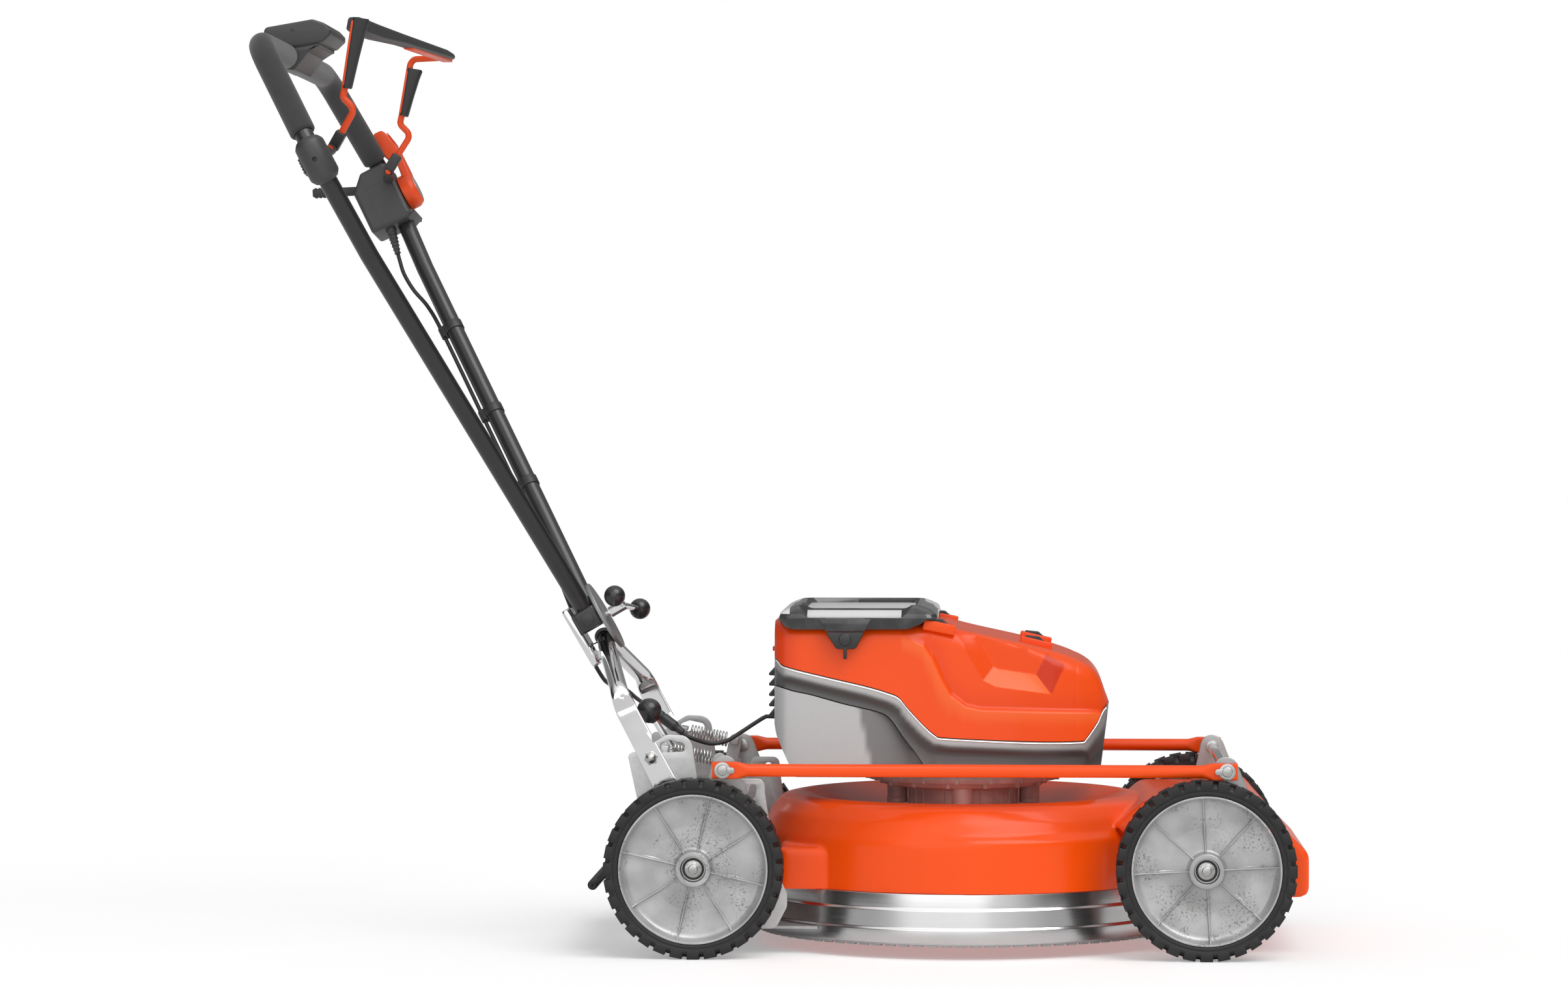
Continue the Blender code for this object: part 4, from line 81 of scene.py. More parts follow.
class MowerSizes(bpy.types.PropertyGroup):
    """Sizes of the mower's repeated and rounded details"""
    tread_lugs: IntProperty(name="Tread lugs", description="Lugs round each tyre", default=32, min=8, max=60)
    rim_ribs: IntProperty(name="Rim ribs", description="Ribs on each wheel", default=8, min=3, max=16)
    skirt_teeth: IntProperty(name="Skirt teeth", description="Small teeth below the skirt",
                             default=92, min=12, max=160)
    louvres: IntProperty(name="Louvres", description="Cooling louvres behind the housing",
                         default=5, min=2, max=9)
    tube_radius: FloatProperty(name="Handle tube", description="Radius of the handle's tube",
                               default=0.011, min=0.008, max=0.014, unit="LENGTH")
    grip_radius: FloatProperty(name="Grip", description="Radius of the foam grips",
                               default=0.0152, min=0.013, max=0.020, unit="LENGTH")
    wire_radius: FloatProperty(name="Bail wire", description="Radius of the bail's wire",
                               default=0.004, min=0.003, max=0.005, unit="LENGTH")
    lead_radius: FloatProperty(name="Lead", description="Radius of the control lead",
                               default=0.0025, min=0.002, max=0.004, unit="LENGTH")
    worn: BoolProperty(name="Speckled rims", description="Show the casting's dark speckles on the rims",
                       default=True)


def paints():
    return bpy.context.scene.mower_paints


def sizes():
    return bpy.context.scene.mower_sizes


# Shader maths

class Feed:
    """A socket's value in a node tree, with arithmetic that adds Math nodes."""

    def __init__(self, wiring, socket):
        self.wiring = wiring
        self.socket = socket

    def _math(self, operation, other):
        return self.wiring.node("ShaderNodeMath", {"operation": operation}, {0: self, 1: other})

    def __add__(self, other):
        return self._math("ADD", other)

    def __sub__(self, other):
        return self._math("SUBTRACT", other)

    def __mul__(self, other):
        return self._math("MULTIPLY", other)

    def over(self, low, high, start=0.0, end=1.0):
        """The start value below low and the end value above high, eased in between."""
        return self.wiring.node("ShaderNodeMapRange", {"interpolation_type": "SMOOTHSTEP"},
                                {"Value": self, "From Min": low, "From Max": high, "To Min": start,
                                 "To Max": end})


class Wiring:
    """A node tree, and the one way that nodes are added to it."""

    def __init__(self, tree):
        self.tree = tree

    def fill(self, socket, value):
        if isinstance(value, Feed):
            self.tree.links.new(value.socket, socket)
        else:
            socket.default_value = value

    def node(self, kind, settings=None, inputs=None, output=0):
        """Adds a node: settings first, then its sockets."""
        made = self.tree.nodes.new(kind)
        for key, value in (settings or {}).items():
            setattr(made, key, value)
        for key, value in (inputs or {}).items():
            self.fill(made.inputs[key], value)
        return Feed(self, made.outputs[output])

    def end(self, kind, value):
        self.fill(self.tree.nodes.new(kind).inputs[0], value)


class Finish(Wiring):
    """A material under construction: a Principled shader and what feeds it."""

    def __init__(self, name, colour, roughness, metallic=0.0, coat=0.0, coat_roughness=0.1):
        self.material = bpy.data.materials.new(name)
        self.material.use_nodes = True
        super().__init__(self.material.node_tree)
        self.shader = self.tree.nodes["Principled BSDF"]
        self.set("Base Color", (*colour[:3], 1.0))
        self.set("Roughness", roughness)
        self.set("Metallic", metallic)
        self.set("Coat Weight", coat)
        self.set("Coat Roughness", coat_roughness)

    def set(self, name, value):
        """Puts a constant or a feed on one of the Principled shader's sockets."""
        self.fill(self.shader.inputs[name], value)

    def noise(self, scale, detail=2.0, stretch=(1.0, 1.0, 1.0), rough=0.5):
        spot = self.node("ShaderNodeTexCoord", output="Object")
        spot = self.node("ShaderNodeMapping", {}, {"Vector": spot, "Scale": stretch})
        return self.node("ShaderNodeTexNoise", {},
                         {"Vector": spot, "Scale": scale, "Detail": detail, "Roughness": rough})

    def cells(self, scale):
        spot = self.node("ShaderNodeTexCoord", output="Object")
        return self.node("ShaderNodeTexVoronoi", {}, {"Vector": spot, "Scale": scale}, output="Distance")

    def under(self):
        """Each point's painted shade, stored on the housing's meshes; below 0, on the hood, it is a painted
        highlight.
        """
        return self.node("ShaderNodeAttribute", {"attribute_name": "under"}, output="Fac")

    def blend(self, mask, first, second):
        return self.node("ShaderNodeMix", {"data_type": "RGBA"},
                         {"Factor": mask, 6: first, 7: second}, output=2)

    def tones(self, mask, colour, low, high):
        """From a darker to a lighter tone of one colour."""
        return self.blend(mask, tone(colour, low), tone(colour, high))

    def relief(self, height, strength, depth):
        self.set("Normal", self.node("ShaderNodeBump", {},
                                     {"Strength": strength, "Distance": depth, "Height": height}))


def tone(colour, factor):
    return (*[min(1.0, c * factor) for c in colour[:3]], 1.0)


def finish(name):
    """Has a function make its material under this name once, and hand the same one out after that."""
    return lambda make: lambda: bpy.data.materials.get(name) or make(name)


def gloss_paint(name, colour, roughness=0.30, coat=0.30, shading=None):
    """Baked enamel: slow colour drift, faint orange peel and a clear top coat."""
    paint = Finish(name, colour, roughness, 0.0, coat, 0.10)
    paint.set("Specular IOR Level", 0.28)
    paint.set("Coat IOR", 1.35)
    plain = paint.tones(paint.noise(4.0, 3.0).over(0.30, 0.75), colour, 0.95, 1.06)
    paint.set("Base Color", shading(paint, plain) if shading else plain)
    paint.set("Roughness", paint.noise(22.0, 4.0) * 0.10 + (roughness - 0.05))
    paint.relief(paint.noise(420.0, 1.0), 0.05, 0.0004)
    return paint.material


@finish("orange_enamel")
def orange_paint(name):
    return gloss_paint(name, paints().orange)


@finish("hood_orange")
def hood_orange(name):
    """The hood's enamel, with painted shade (deeper) in its hollows and a painted highlight (lighter) on its
    raised edges.
    """
    red, green, blue = paints().orange

    def shading(paint, plain):
        # Painted shade where the stored value is above 0, painted highlight where it is below 0.
        under = paint.under()
        deep = paint.blend(under, plain, (red * 0.62, green * 0.30, blue * 0.5, 1.0))
        return paint.blend(under * -1.0, deep, (0.95, 0.20, 0.045, 1.0))

    return gloss_paint(name, paints().orange, 0.34, 0.25, shading)


@finish("red_plastic_moulded")
def red_plastic(name):
    return gloss_paint(name, paints().red, 0.36, 0.15)


def metal(name, colour, roughness, stretch, scale, depth=0.00012, metallic=1.0):
    """Bright metal with fine drawn lines along one direction."""
    steel = Finish(name, colour, roughness, metallic)
    lines = steel.noise(scale, 3.0, stretch, 0.65)
    cloud = steel.noise(9.0, 3.0)
    steel.set("Base Color", steel.tones(cloud.over(0.30, 0.72), colour, 0.92, 1.06))
    steel.set("Roughness", lines * 0.16 + cloud * 0.08 + (roughness - 0.12))
    steel.relief(lines, 0.10, depth)
    return steel.material


@finish("brushed_stainless")
def skirt_steel(name):
    return metal(name, (0.80, 0.80, 0.80), 0.23, (1.0, 1.0, 60.0), 9.0)


@finish("chrome_plating")
def chrome(name):
    return metal(name, (0.93, 0.93, 0.94), 0.085, (1.0, 1.0, 1.0), 30.0, 0.00004)


# A bright metal for the band's seam bead, which stands in for a highlight.
@finish("bright_seam_edge")
def bright_edge(name):
    return metal(name, (0.80, 0.80, 0.80), 0.20, (1.0, 1.0, 1.0), 60.0, metallic=0.7)


@finish("zinc_plated_bolts")
def bolt_zinc(name):
    return metal(name, (0.56, 0.56, 0.55), 0.27, (1.0, 8.0, 1.0), 160.0)


def zinc_sheet(name, level):
    """Zinc-coated sheet with soft spangles."""
    zinc = Finish(name, (level,) * 3, 0.40, 0.60)
    spangle = zinc.cells(130.0)
    cloud = zinc.noise(14.0, 4.0)
    zinc.set("Base Color", zinc.tones(spangle * 0.5 + cloud * 0.5, (level,) * 3, 0.85, 1.15))
    zinc.set("Roughness", spangle * 0.12 + 0.34)
    zinc.relief(zinc.noise(700.0, 2.0), 0.08, 0.0002)
    return zinc.material


@finish("galvanised_sheet")
def galvanised(name):
    return zinc_sheet(name, 0.44)


@finish("galvanised_sheet_painted_lit")
def galvanised_painted_lit(name):
    """The right-hand plate, which the light catches: a lit copy of the same sheet, lighter as painted light.
    """
    return zinc_sheet(name, 0.64)


@finish("cast_rim_alloy")
def rim_alloy(name):
    """Cast silver with patches of small dark speckles."""
    colour = paints().rim
    alloy = Finish(name, colour, 0.36, 0.45)
    patch = alloy.noise(19.0, 2.0).over(0.47, 0.60)
    speck = alloy.noise(330.0, 3.0, rough=0.7).over(0.52, 0.64)
    cloud = alloy.noise(26.0, 5.0).over(0.25, 0.80)
    base = alloy.tones(cloud, colour, 0.76, 1.14)
    amount = 0.78 if sizes().worn else 0.0
    alloy.set("Base Color", alloy.blend(patch * speck * amount, base, (0.17, 0.17, 0.17, 1.0)))
    alloy.set("Roughness", cloud * 0.12 + patch * speck * 0.2 + 0.30)
    alloy.relief(alloy.noise(260.0, 3.0) - patch * speck, 0.16, 0.0005)
    return alloy.material


@finish("tyre_rubber_black")
def tyre_rubber(name):
    """Matt black rubber with a mould's fine grain and dusty high spots."""
    rubber = Finish(name, paints().rubber, 0.62)
    dust = rubber.noise(60.0, 5.0, rough=0.7).over(0.50, 0.85)
    rubber.set("Base Color", rubber.blend(dust, tone(paints().rubber, 0.9), (0.034, 0.033, 0.032, 1.0)))
    rubber.set("Roughness", dust * 0.2 + 0.52)
    rubber.relief(rubber.noise(900.0, 2.0), 0.22, 0.0003)
    return rubber.material


def worn_gloss(name, colour, roughness, coat, patches, grain):
    """One colour whose gloss varies in patches, with a fine skin; both as scale, detail and amounts."""
    made = Finish(name, colour, roughness, 0.0, coat, 0.12)
    made.set("Roughness", made.noise(patches[0], patches[1]) * patches[2] + patches[3])
    made.relief(made.noise(grain[0], grain[1]), grain[2], grain[3])
    return made.material


@finish("lead_rubber")
def lead_rubber(name):
    lead = Finish(name, tone(paints().rubber, 1.2), 0.46)
    lead.set("Roughness", lead.noise(90.0, 3.0) * 0.2 + 0.36)
    lead.relief(lead.noise(1500.0, 1.0), 0.15, 0.0002)
    return lead.material


def grained_plastic(name, colour, roughness, fine, wide, low, high, depth):
    """Moulded plastic with a spark-eroded grain and slow tone changes."""
    moulded = Finish(name, colour, roughness)
    grain = moulded.noise(fine, 2.0)
    moulded.set("Base Color", moulded.tones(moulded.noise(wide, 3.0), colour, low, high))
    moulded.set("Roughness", grain * 0.14 + (roughness - 0.08))
    moulded.relief(grain, depth, 0.0004)
    return moulded.material


@finish("black_plastic_grained")
def black_plastic(name):
    return grained_plastic(name, paints().black, 0.44, 1100.0, 12.0, 0.8, 1.6, 0.25)


@finish("polished_black_plastic")
def polished_black(name):
    return worn_gloss(name, (0.022, 0.022, 0.022), 0.30, 0.3, (40.0, 4.0, 0.14, 0.24),
                      (500.0, 2.0, 0.06, 0.0003))


@finish("smoked_lid_plastic")
def smoked_plastic(name):
    """The lid's dark smoked bezel: glossy, a little lighter in soft random patches."""
    smoke = Finish(name, (0.030, 0.030, 0.031), 0.13, 0.0, 0.6, 0.05)
    depth = smoke.noise(30.0, 2.0)
    smoke.set("Base Color", smoke.blend(depth.over(0.35, 0.80), (0.018, 0.018, 0.019, 1.0),
                                        (0.075, 0.075, 0.078, 1.0)))
    smoke.set("Roughness", smoke.noise(60.0, 3.0) * 0.08 + 0.09)
    return smoke.material


@finish("satin_black_tube")
def tube_paint(name):
    return worn_gloss(name, (0.022, 0.022, 0.023), 0.30, 0.25, (35.0, 4.0, 0.12, 0.25),
                      (600.0, 2.0, 0.10, 0.0003))


@finish("grip_foam_cells")
def grip_foam(name):
    """Closed-cell foam: matt, with fine pores."""
    foam = Finish(name, paints().foam, 0.92)
    foam.set("Sheen Weight", 0.25)
    pores = foam.cells(850.0)
    cloud = foam.noise(40.0, 3.0)
    foam.set("Base Color", foam.tones(cloud, paints().foam, 0.85, 1.25))
    foam.set("Roughness", pores * 0.15 + 0.82)
    foam.relief(pores, 0.30, 0.0005)
    return foam.material


@finish("band_silver_flake")
def band_silver(name):
    """Silver plastic with metal flakes in it, and painted shade that darkens its lower part."""
    colour = paints().band
    silver = Finish(name, colour, 0.36, 0.65)
    flake = silver.noise(1300.0, 2.0)
    cloud = silver.noise(6.0, 3.0)
    under = silver.under()
    # Painted shade: the stored value darkens the band towards a quarter of its colour.
    silver.set("Base Color", silver.blend(under, silver.tones(flake, colour, 0.80, 1.20), tone(colour, 0.24)))
    silver.set("Roughness", cloud * 0.08 + flake * 0.08 + 0.28)
    silver.relief(flake, 0.10, 0.0003)
    return silver.material


@finish("lower_shell_grey")
def shell_grey(name):
    colour = paints().shell
    grey = Finish(name, colour, 0.42, 0.30)
    grain = grey.noise(1000.0, 2.0)
    under = grey.under()
    # Painted shade: the stored value darkens the shell ahead of its crease.
    grey.set("Base Color", grey.blend(under, grey.tones(grain, colour, 0.88, 1.12), tone(colour, 0.34)))
    grey.set("Roughness", grain * 0.12 + grey.noise(8.0, 2.0) * 0.06 + 0.34)
    grey.relief(grain, 0.14, 0.0003)
    return grey.material


@finish("white_panel_plastic")
def white_plastic(name):
    white = Finish(name, (0.78, 0.78, 0.78), 0.30, 0.0, 0.2, 0.1)
    wide = white.noise(7.0, 3.0)
    white.set("Base Color", white.blend(wide, (0.72, 0.72, 0.72, 1.0), (0.83, 0.83, 0.83, 1.0)))
    white.set("Roughness", white.noise(400.0, 2.0) * 0.12 + 0.24)
    return white.material


@finish("motor_casting_grey")
def motor_casting(name):
    """Rough cast metal, warm grey, with a sand-like skin."""
    colour = paints().cast
    cast = Finish(name, colour, 0.50, 0.12)
    sand = cast.noise(520.0, 4.0, rough=0.7)
    cloud = cast.noise(24.0, 4.0)
    cast.set("Base Color", cast.tones(cloud.over(0.3, 0.75), colour, 0.78, 1.30))
    cast.set("Roughness", sand * 0.20 + 0.34)
    cast.relief(sand, 0.35, 0.0005)
    return cast.material


@finish("console_dark_grey")
def console_grey(name):
    """Dark grey moulded plastic of the console, control box and bail holder."""
    return grained_plastic(name, (0.046, 0.046, 0.047), 0.42, 900.0, 10.0, 0.85, 1.25, 0.20)


@finish("turned_disc_grey")
def disc_grey(name):
    return metal(name, (0.30, 0.30, 0.30), 0.42, (1.0, 1.0, 1.0), 200.0, metallic=0.6)


@finish("copper_winding_turns")
def copper_winding(name):
    wire = Finish(name, (0.72, 0.35, 0.15), 0.34, 1.0)
    turns = wire.node("ShaderNodeTexWave", {"wave_type": "BANDS", "bands_direction": "Z"},
                      {"Vector": wire.node("ShaderNodeTexCoord", output="Object"), "Scale": 260.0,
                       "Distortion": 1.5})
    wire.set("Base Color", wire.blend(turns, (0.40, 0.17, 0.06, 1.0), (0.80, 0.42, 0.20, 1.0)))
    wire.set("Roughness", turns * 0.2 + 0.25)
    wire.relief(turns, 0.5, 0.0006)
    return wire.material


# Making meshes

def shown(data, name="work", place=None):
    """A construction object in the scene, later turned into a finished piece or removed."""
    obj = bpy.data.objects.new(name, data)
    bpy.context.scene.collection.objects.link(obj)
    if place is not None:
        obj.matrix_world = place
    return obj


def drop(*tools):
    for tool in tools:
        bpy.data.objects.remove(tool, do_unlink=True)


def baked(obj):
    """A plain mesh at the origin with obj's modifiers and place worked in; obj goes."""
    bpy.context.view_layer.update()
    graph = bpy.context.evaluated_depsgraph_get()
    mesh = bpy.data.meshes.new_from_object(obj.evaluated_get(graph))
    mesh.transform(obj.matrix_world)
    made = shown(mesh)
    drop(obj)
    return made


def from_bm(bm, place=None):
    mesh = bpy.data.meshes.new("work")
    bmesh.ops.recalc_face_normals(bm, faces=bm.faces)
    bm.to_mesh(mesh)
    bm.free()
    if place is not None:
        mesh.transform(place)
    return shown(mesh)


def axes(origin, x_axis, z_axis):
    """A placing matrix whose local X and Z point along the given directions."""
    z = Vector(z_axis).normalized()
    y = z.cross(Vector(x_axis)).normalized()
    x = y.cross(z)
    return Matrix.Translation(Vector(origin)) @ Matrix((x, y, z)).transposed().to_4x4()


def towards(start, end):
    start = Vector(start)
    way = (Vector(end) - start).normalized()
    side = Vector((1.0, 0.0, 0.0)) if abs(way.y) > 0.9 else Vector((0.0, 1.0, 0.0))
    return axes(start, side, way)


def upright(y):
    """Puts an outline drawn in X and Z on the plane at this Y."""
    return axes((0.0, y, 0.0), (1.0, 0.0, 0.0), (0.0, -1.0, 0.0))


def level(z):
    return Matrix.Translation((0.0, 0.0, z))


def rounded(corners, radius=0.0, steps=6):
    """The corners of a flat outline, each replaced by an arc of its own or the common radius."""
    out = []
    count = len(corners)
    for i, corner in enumerate(corners):
        size = corner[2] if len(corner) > 2 else radius
        here = Vector(corner[:2])
        back = Vector(corners[i - 1][:2]) - here
        ahead = Vector(corners[(i + 1) % count][:2]) - here
        if size <= 0.0 or back.length < 1e-9 or ahead.length < 1e-9:
            out.append((here.x, here.y))
            continue
        half = back.angle(ahead) / 2.0
        if half > math.radians(89.0):
            out.append((here.x, here.y))
            continue
        reach = min(size / math.tan(half), 0.48 * back.length, 0.48 * ahead.length)
        size = reach * math.tan(half)
        inward = (back.normalized() + ahead.normalized()).normalized()
        middle = here + inward * (size / math.sin(half))
        first = here + back.normalized() * reach - middle
        turn = 1.0 if back.cross(ahead) < 0.0 else -1.0
        for step in range(steps + 1):
            spun = Matrix.Rotation(turn * (math.pi - 2.0 * half) * step / steps, 2) @ first
            out.append((middle.x + spun.x, middle.y + spun.y))
    return out


def ring(cx, cy, radius, points=32, start=0.0):
    return [(cx + radius * math.cos(start + 2.0 * math.pi * k / points),
             cy + radius * math.sin(start + 2.0 * math.pi * k / points)) for k in range(points)]


def slab(start, end, radius, points=12):
    """The outline of a straight bar with round ends."""
    start = Vector(start)
    end = Vector(end)
    lean = math.atan2(end.y - start.y, end.x - start.x)
    out = []
    for centre, first in ((end, lean - math.pi / 2.0), (start, lean + math.pi / 2.0)):
        for k in range(points + 1):
            angle = first + math.pi * k / points
            out.append((centre.x + radius * math.cos(angle), centre.y + radius * math.sin(angle)))
    return out


def sheet(loops, thickness, place, edge=0.0, steps=2):
    """A flat outline with holes, given thickness to both sides and softly rounded edges."""
    curve = bpy.data.curves.new("work", "CURVE")
    curve.dimensions = "2D"
    curve.fill_mode = "BOTH"
    edge = min(edge, thickness * 0.49)
    curve.extrude = thickness / 2.0 - edge
    curve.bevel_depth = edge
    curve.bevel_resolution = steps
    curve.offset = -edge
    for loop in loops:
        spline = curve.splines.new("POLY")
        spline.points.add(len(loop) - 1)
        for point, (u, v) in zip(spline.points, loop):
            point.co = (u, v, 0.0, 1.0)
        spline.use_cyclic_u = True
    return welded(baked(shown(curve, place=place)))


def welded(obj):
    """Merges doubles and turns all faces outwards."""
    bm = bmesh.new()
    bm.from_mesh(obj.data)
    bmesh.ops.remove_doubles(bm, verts=bm.verts, dist=1e-6)
    bmesh.ops.recalc_face_normals(bm, faces=bm.faces)
    bm.to_mesh(obj.data)
    bm.free()
    return obj


def wire(points, radius, resolution=5, scales=None):
    """A round bar or tube through the points with closed ends; scales widen it by point."""
    curve = bpy.data.curves.new("work", "CURVE")
    curve.dimensions = "3D"
    curve.bevel_depth = radius
    curve.bevel_resolution = resolution
    curve.use_fill_caps = True
    spline = curve.splines.new("POLY")
    spline.points.add(len(points) - 1)
    for index, (point, co) in enumerate(zip(spline.points, points)):
        point.co = (*co, 1.0)
        point.radius = scales[index] if scales else 1.0
    return welded(baked(shown(curve)))


def skin(rings, closed=False):
    """Skins rings of equal count, and joins the last to the first or closes both ends."""
    bm = bmesh.new()
    rows = [[bm.verts.new(p) for p in row] for row in rings]
    if closed:
        rows.append(rows[0])
    count = len(rings[0])
    for a, b in zip(rows, rows[1:]):
        for k in range(count):
            bm.faces.new((a[k], b[k], b[(k + 1) % count], a[(k + 1) % count]))
    if not closed:
        bm.faces.new(rows[0])
        bm.faces.new(list(reversed(rows[-1])))
    return from_bm(bm)


def turned(profile, centre, axis, sides=96, whole=False):
    """A turned solid: (radius, height) pairs; whole means that the profile ends on the axis."""
    bm = bmesh.new()
    rows = []
    for radius, height in profile:
        if radius < 1e-7:
            rows.append([bm.verts.new((0.0, 0.0, height))])
        else:
            rows.append([bm.verts.new((radius * math.cos(2.0 * math.pi * k / sides),
                                       radius * math.sin(2.0 * math.pi * k / sides), height))
                         for k in range(sides)])
    pairs = list(zip(rows, rows[1:]))
    if not whole:
        pairs.append((rows[-1], rows[0]))
    for a, b in pairs:
        for k in range(sides):
            quad = [a[k % len(a)], a[(k + 1) % len(a)], b[(k + 1) % len(b)], b[k % len(b)]]
            face = [v for i, v in enumerate(quad) if v not in quad[:i]]
            if len(face) > 2:
                bm.faces.new(face)
    side = (0.0, 1.0, 0.0) if abs(Vector(axis).normalized().x) > 0.9 else (1.0, 0.0, 0.0)
    return from_bm(bm, axes(centre, side, axis))


def block(low, high, edge=0.0, place=None, steps=3):
    """A box between two corners with rounded edges."""
    low = Vector(low)
    high = Vector(high)
    bm = bmesh.new()
    bmesh.ops.create_cube(bm, size=1.0)
    bmesh.ops.scale(bm, vec=high - low, verts=bm.verts)
    made = from_bm(bm, (place or Matrix.Identity(4)) @ Matrix.Translation((low + high) / 2.0))
    return soft(made, edge, steps, 30.0) if edge else made


def bar(start, end, radius, sides=32, end_radius=None, edge=0.0):
    """A round bar or cone from start to end, its rims rounded."""
    length = (Vector(end) - Vector(start)).length
    top = radius if end_radius is None else end_radius
    profile = rounded(((0.0, length, 0.0), (top, length, edge), (radius, 0.0, edge), (0.0, 0.0, 0.0)), 0.0, 3)
    way = Vector(end) - Vector(start)
    return turned(profile, start, way, sides, whole=True)


def crossbar(x, z, side, low, high, radius, sides=32, edge=0.0):
    """A round bar across the machine, between two distances from its middle."""
    return bar((x, side * low, z), (x, side * high, z), radius, sides, edge=edge)


def spun(profile, x, z, side, sides, steps=0, whole=False):
    """A turned solid across the machine: (radius, distance from the middle, rounding)."""
    return turned(rounded(profile, 0.0, steps) if steps else profile, (x, 0.0, z),
                  (0.0, side, 0.0), sides, whole)


def orb(centre, radius, sides):
    steps = sides // 2
    profile = [(radius * math.sin(math.pi * k / steps), radius * math.cos(math.pi * k / steps))
               for k in range(steps + 1)]
    profile[0] = (0.0, profile[0][1])
    profile[-1] = (0.0, profile[-1][1])
    return turned(profile, centre, (0.0, 0.0, 1.0), sides, whole=True)


def soft(obj, width, steps=3, angle=35.0):
    """Rounds the edges sharper than an angle."""
    mod = obj.modifiers.new("edges", "BEVEL")
    mod.width = width
    mod.segments = steps
    mod.limit_method = "ANGLE"
    mod.angle_limit = math.radians(angle)
    mod.harden_normals = False
    return baked(obj)


def carved(obj, operation, tools):
    for tool in tools:
        mod = obj.modifiers.new("shape", "BOOLEAN")
        mod.operation = operation
        mod.solver = "EXACT"
        mod.object = tool
    made = baked(obj)
    drop(*tools)
    return made


def minus(obj, *tools):
    return carved(obj, "DIFFERENCE", tools)


def plus(obj, *tools):
    return carved(obj, "UNION", tools)


def common(obj, *tools):
    return carved(obj, "INTERSECT", tools)


def together(*parts):
    """Several closed bodies in one mesh."""
    bm = bmesh.new()
    for part in parts:
        bm.from_mesh(part.data)
    drop(*parts)
    mesh = bpy.data.meshes.new("work")
    bm.to_mesh(mesh)
    bm.free()
    return shown(mesh)


def dress(obj, name, coat, body, nodes=(), sharp=35.0):
    """Finishes a piece: name, material, shading, what it rides on and the CAD nodes it stands for."""
    mesh = obj.data
    mesh.materials.clear()
    mesh.materials.append(coat)
    mesh.shade_smooth()
    mesh.set_sharp_from_angle(angle=math.radians(sharp))
    obj.name = name
    mesh.name = name
    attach(obj, body)
    if nodes:
        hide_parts(*nodes)
    return obj


def recoat(node, coat):
    """Gives a carried-over CAD node a detailed material."""
    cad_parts[node].data.materials.clear()
    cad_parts[node].data.materials.append(coat)


def bent(points, radii, steps=12):
    """A line through the points whose inner corners are arcs."""
    points = [Vector(p) for p in points]
    out = [points[0]]
    for i in range(1, len(points) - 1):
        here = points[i]
        back = points[i - 1] - here
        ahead = points[i + 1] - here
        half = back.angle(ahead) / 2.0
        radius = radii[i - 1]
        if radius <= 0.0 or half > math.radians(88.0):
            out.append(here)
            continue
        reach = min(radius / math.tan(half), 0.48 * back.length, 0.48 * ahead.length)
        radius = reach * math.tan(half)
        middle = here + (back.normalized() + ahead.normalized()).normalized() * (radius / math.sin(half))
        first = here + back.normalized() * reach - middle
        axis = back.cross(ahead).normalized()
        for step in range(steps + 1):
            out.append(middle + Matrix.Rotation(-(math.pi - 2.0 * half) * step / steps, 3, axis) @ first)
    out.append(points[-1])
    return [tuple(p) for p in out]


def curved(points, spacing):
    """Even points on a smooth curve through the given ones."""
    pts = [np.array(p, float) for p in points]
    pts = [2 * pts[0] - pts[1]] + pts + [2 * pts[-1] - pts[-2]]
    fine = []
    for i in range(1, len(pts) - 2):
        p0, p1, p2, p3 = pts[i - 1:i + 3]
        for t in np.linspace(0.0, 1.0, 12, endpoint=False):
            fine.append(0.5 * (2 * p1 + (p2 - p0) * t + (2 * p0 - 5 * p1 + 4 * p2 - p3) * t ** 2
                               + (3 * p1 - p0 - 3 * p2 + p3) * t ** 3))
    fine.append(pts[-2])
    fine = np.array(fine)
    run = np.concatenate([[0.0], np.cumsum(np.linalg.norm(np.diff(fine, axis=0), axis=1))])
    marks = np.linspace(0.0, run[-1], max(4, int(round(run[-1] / spacing)) + 1))
    return [tuple(np.interp(m, run, fine[:, k]) for k in range(fine.shape[1])) for m in marks]


def eased(value, low, high):
    t = min(1.0, max(0.0, (value - low) / (high - low)))
    return t * t * (3.0 - 2.0 * t)


# Geometry Nodes for what repeats

def copies_tree():
    """Copies a shape a number of times, each turned and moved on from the last."""
    tree = bpy.data.node_groups.get("mower_copies")
    if tree:
        return tree
    tree = bpy.data.node_groups.new("mower_copies", "GeometryNodeTree")
    tree.interface.new_socket(name="Geometry", in_out="OUTPUT", socket_type="NodeSocketGeometry")
    for name, kind in (("Shape", "Object"), ("Count", "Int"), ("First turn", "Float"), ("Turn", "Float"),
                       ("Step", "Vector"), ("Finish", "Material")):
        tree.interface.new_socket(name=name, in_out="INPUT", socket_type="NodeSocket" + kind)
    wiring = Wiring(tree)
    given = {socket.name: Feed(wiring, socket) for socket in tree.nodes.new("NodeGroupInput").outputs}
    index = wiring.node("GeometryNodeInputIndex")
    turn = wiring.node("ShaderNodeMath", {"operation": "MULTIPLY_ADD"},
                       {0: index, 1: given["Turn"], 2: given["First turn"]})
    spin = wiring.node("ShaderNodeCombineXYZ", {}, {"Z": turn})
    move = wiring.node("ShaderNodeVectorMath", {"operation": "SCALE"}, {0: given["Step"], "Scale": index})
    points = wiring.node("GeometryNodePoints", {}, {"Count": given["Count"], "Position": move})
    source = wiring.node("GeometryNodeObjectInfo", {}, {"Object": given["Shape"]}, "Geometry")
    placed = wiring.node("GeometryNodeInstanceOnPoints", {},
                         {"Points": points, "Instance": source, "Rotation": spin})
    real = wiring.node("GeometryNodeRealizeInstances", {}, {0: placed})
    wiring.end("NodeGroupOutput",
               wiring.node("GeometryNodeSetMaterial", {}, {"Geometry": real, "Material": given["Finish"]}))
    return tree


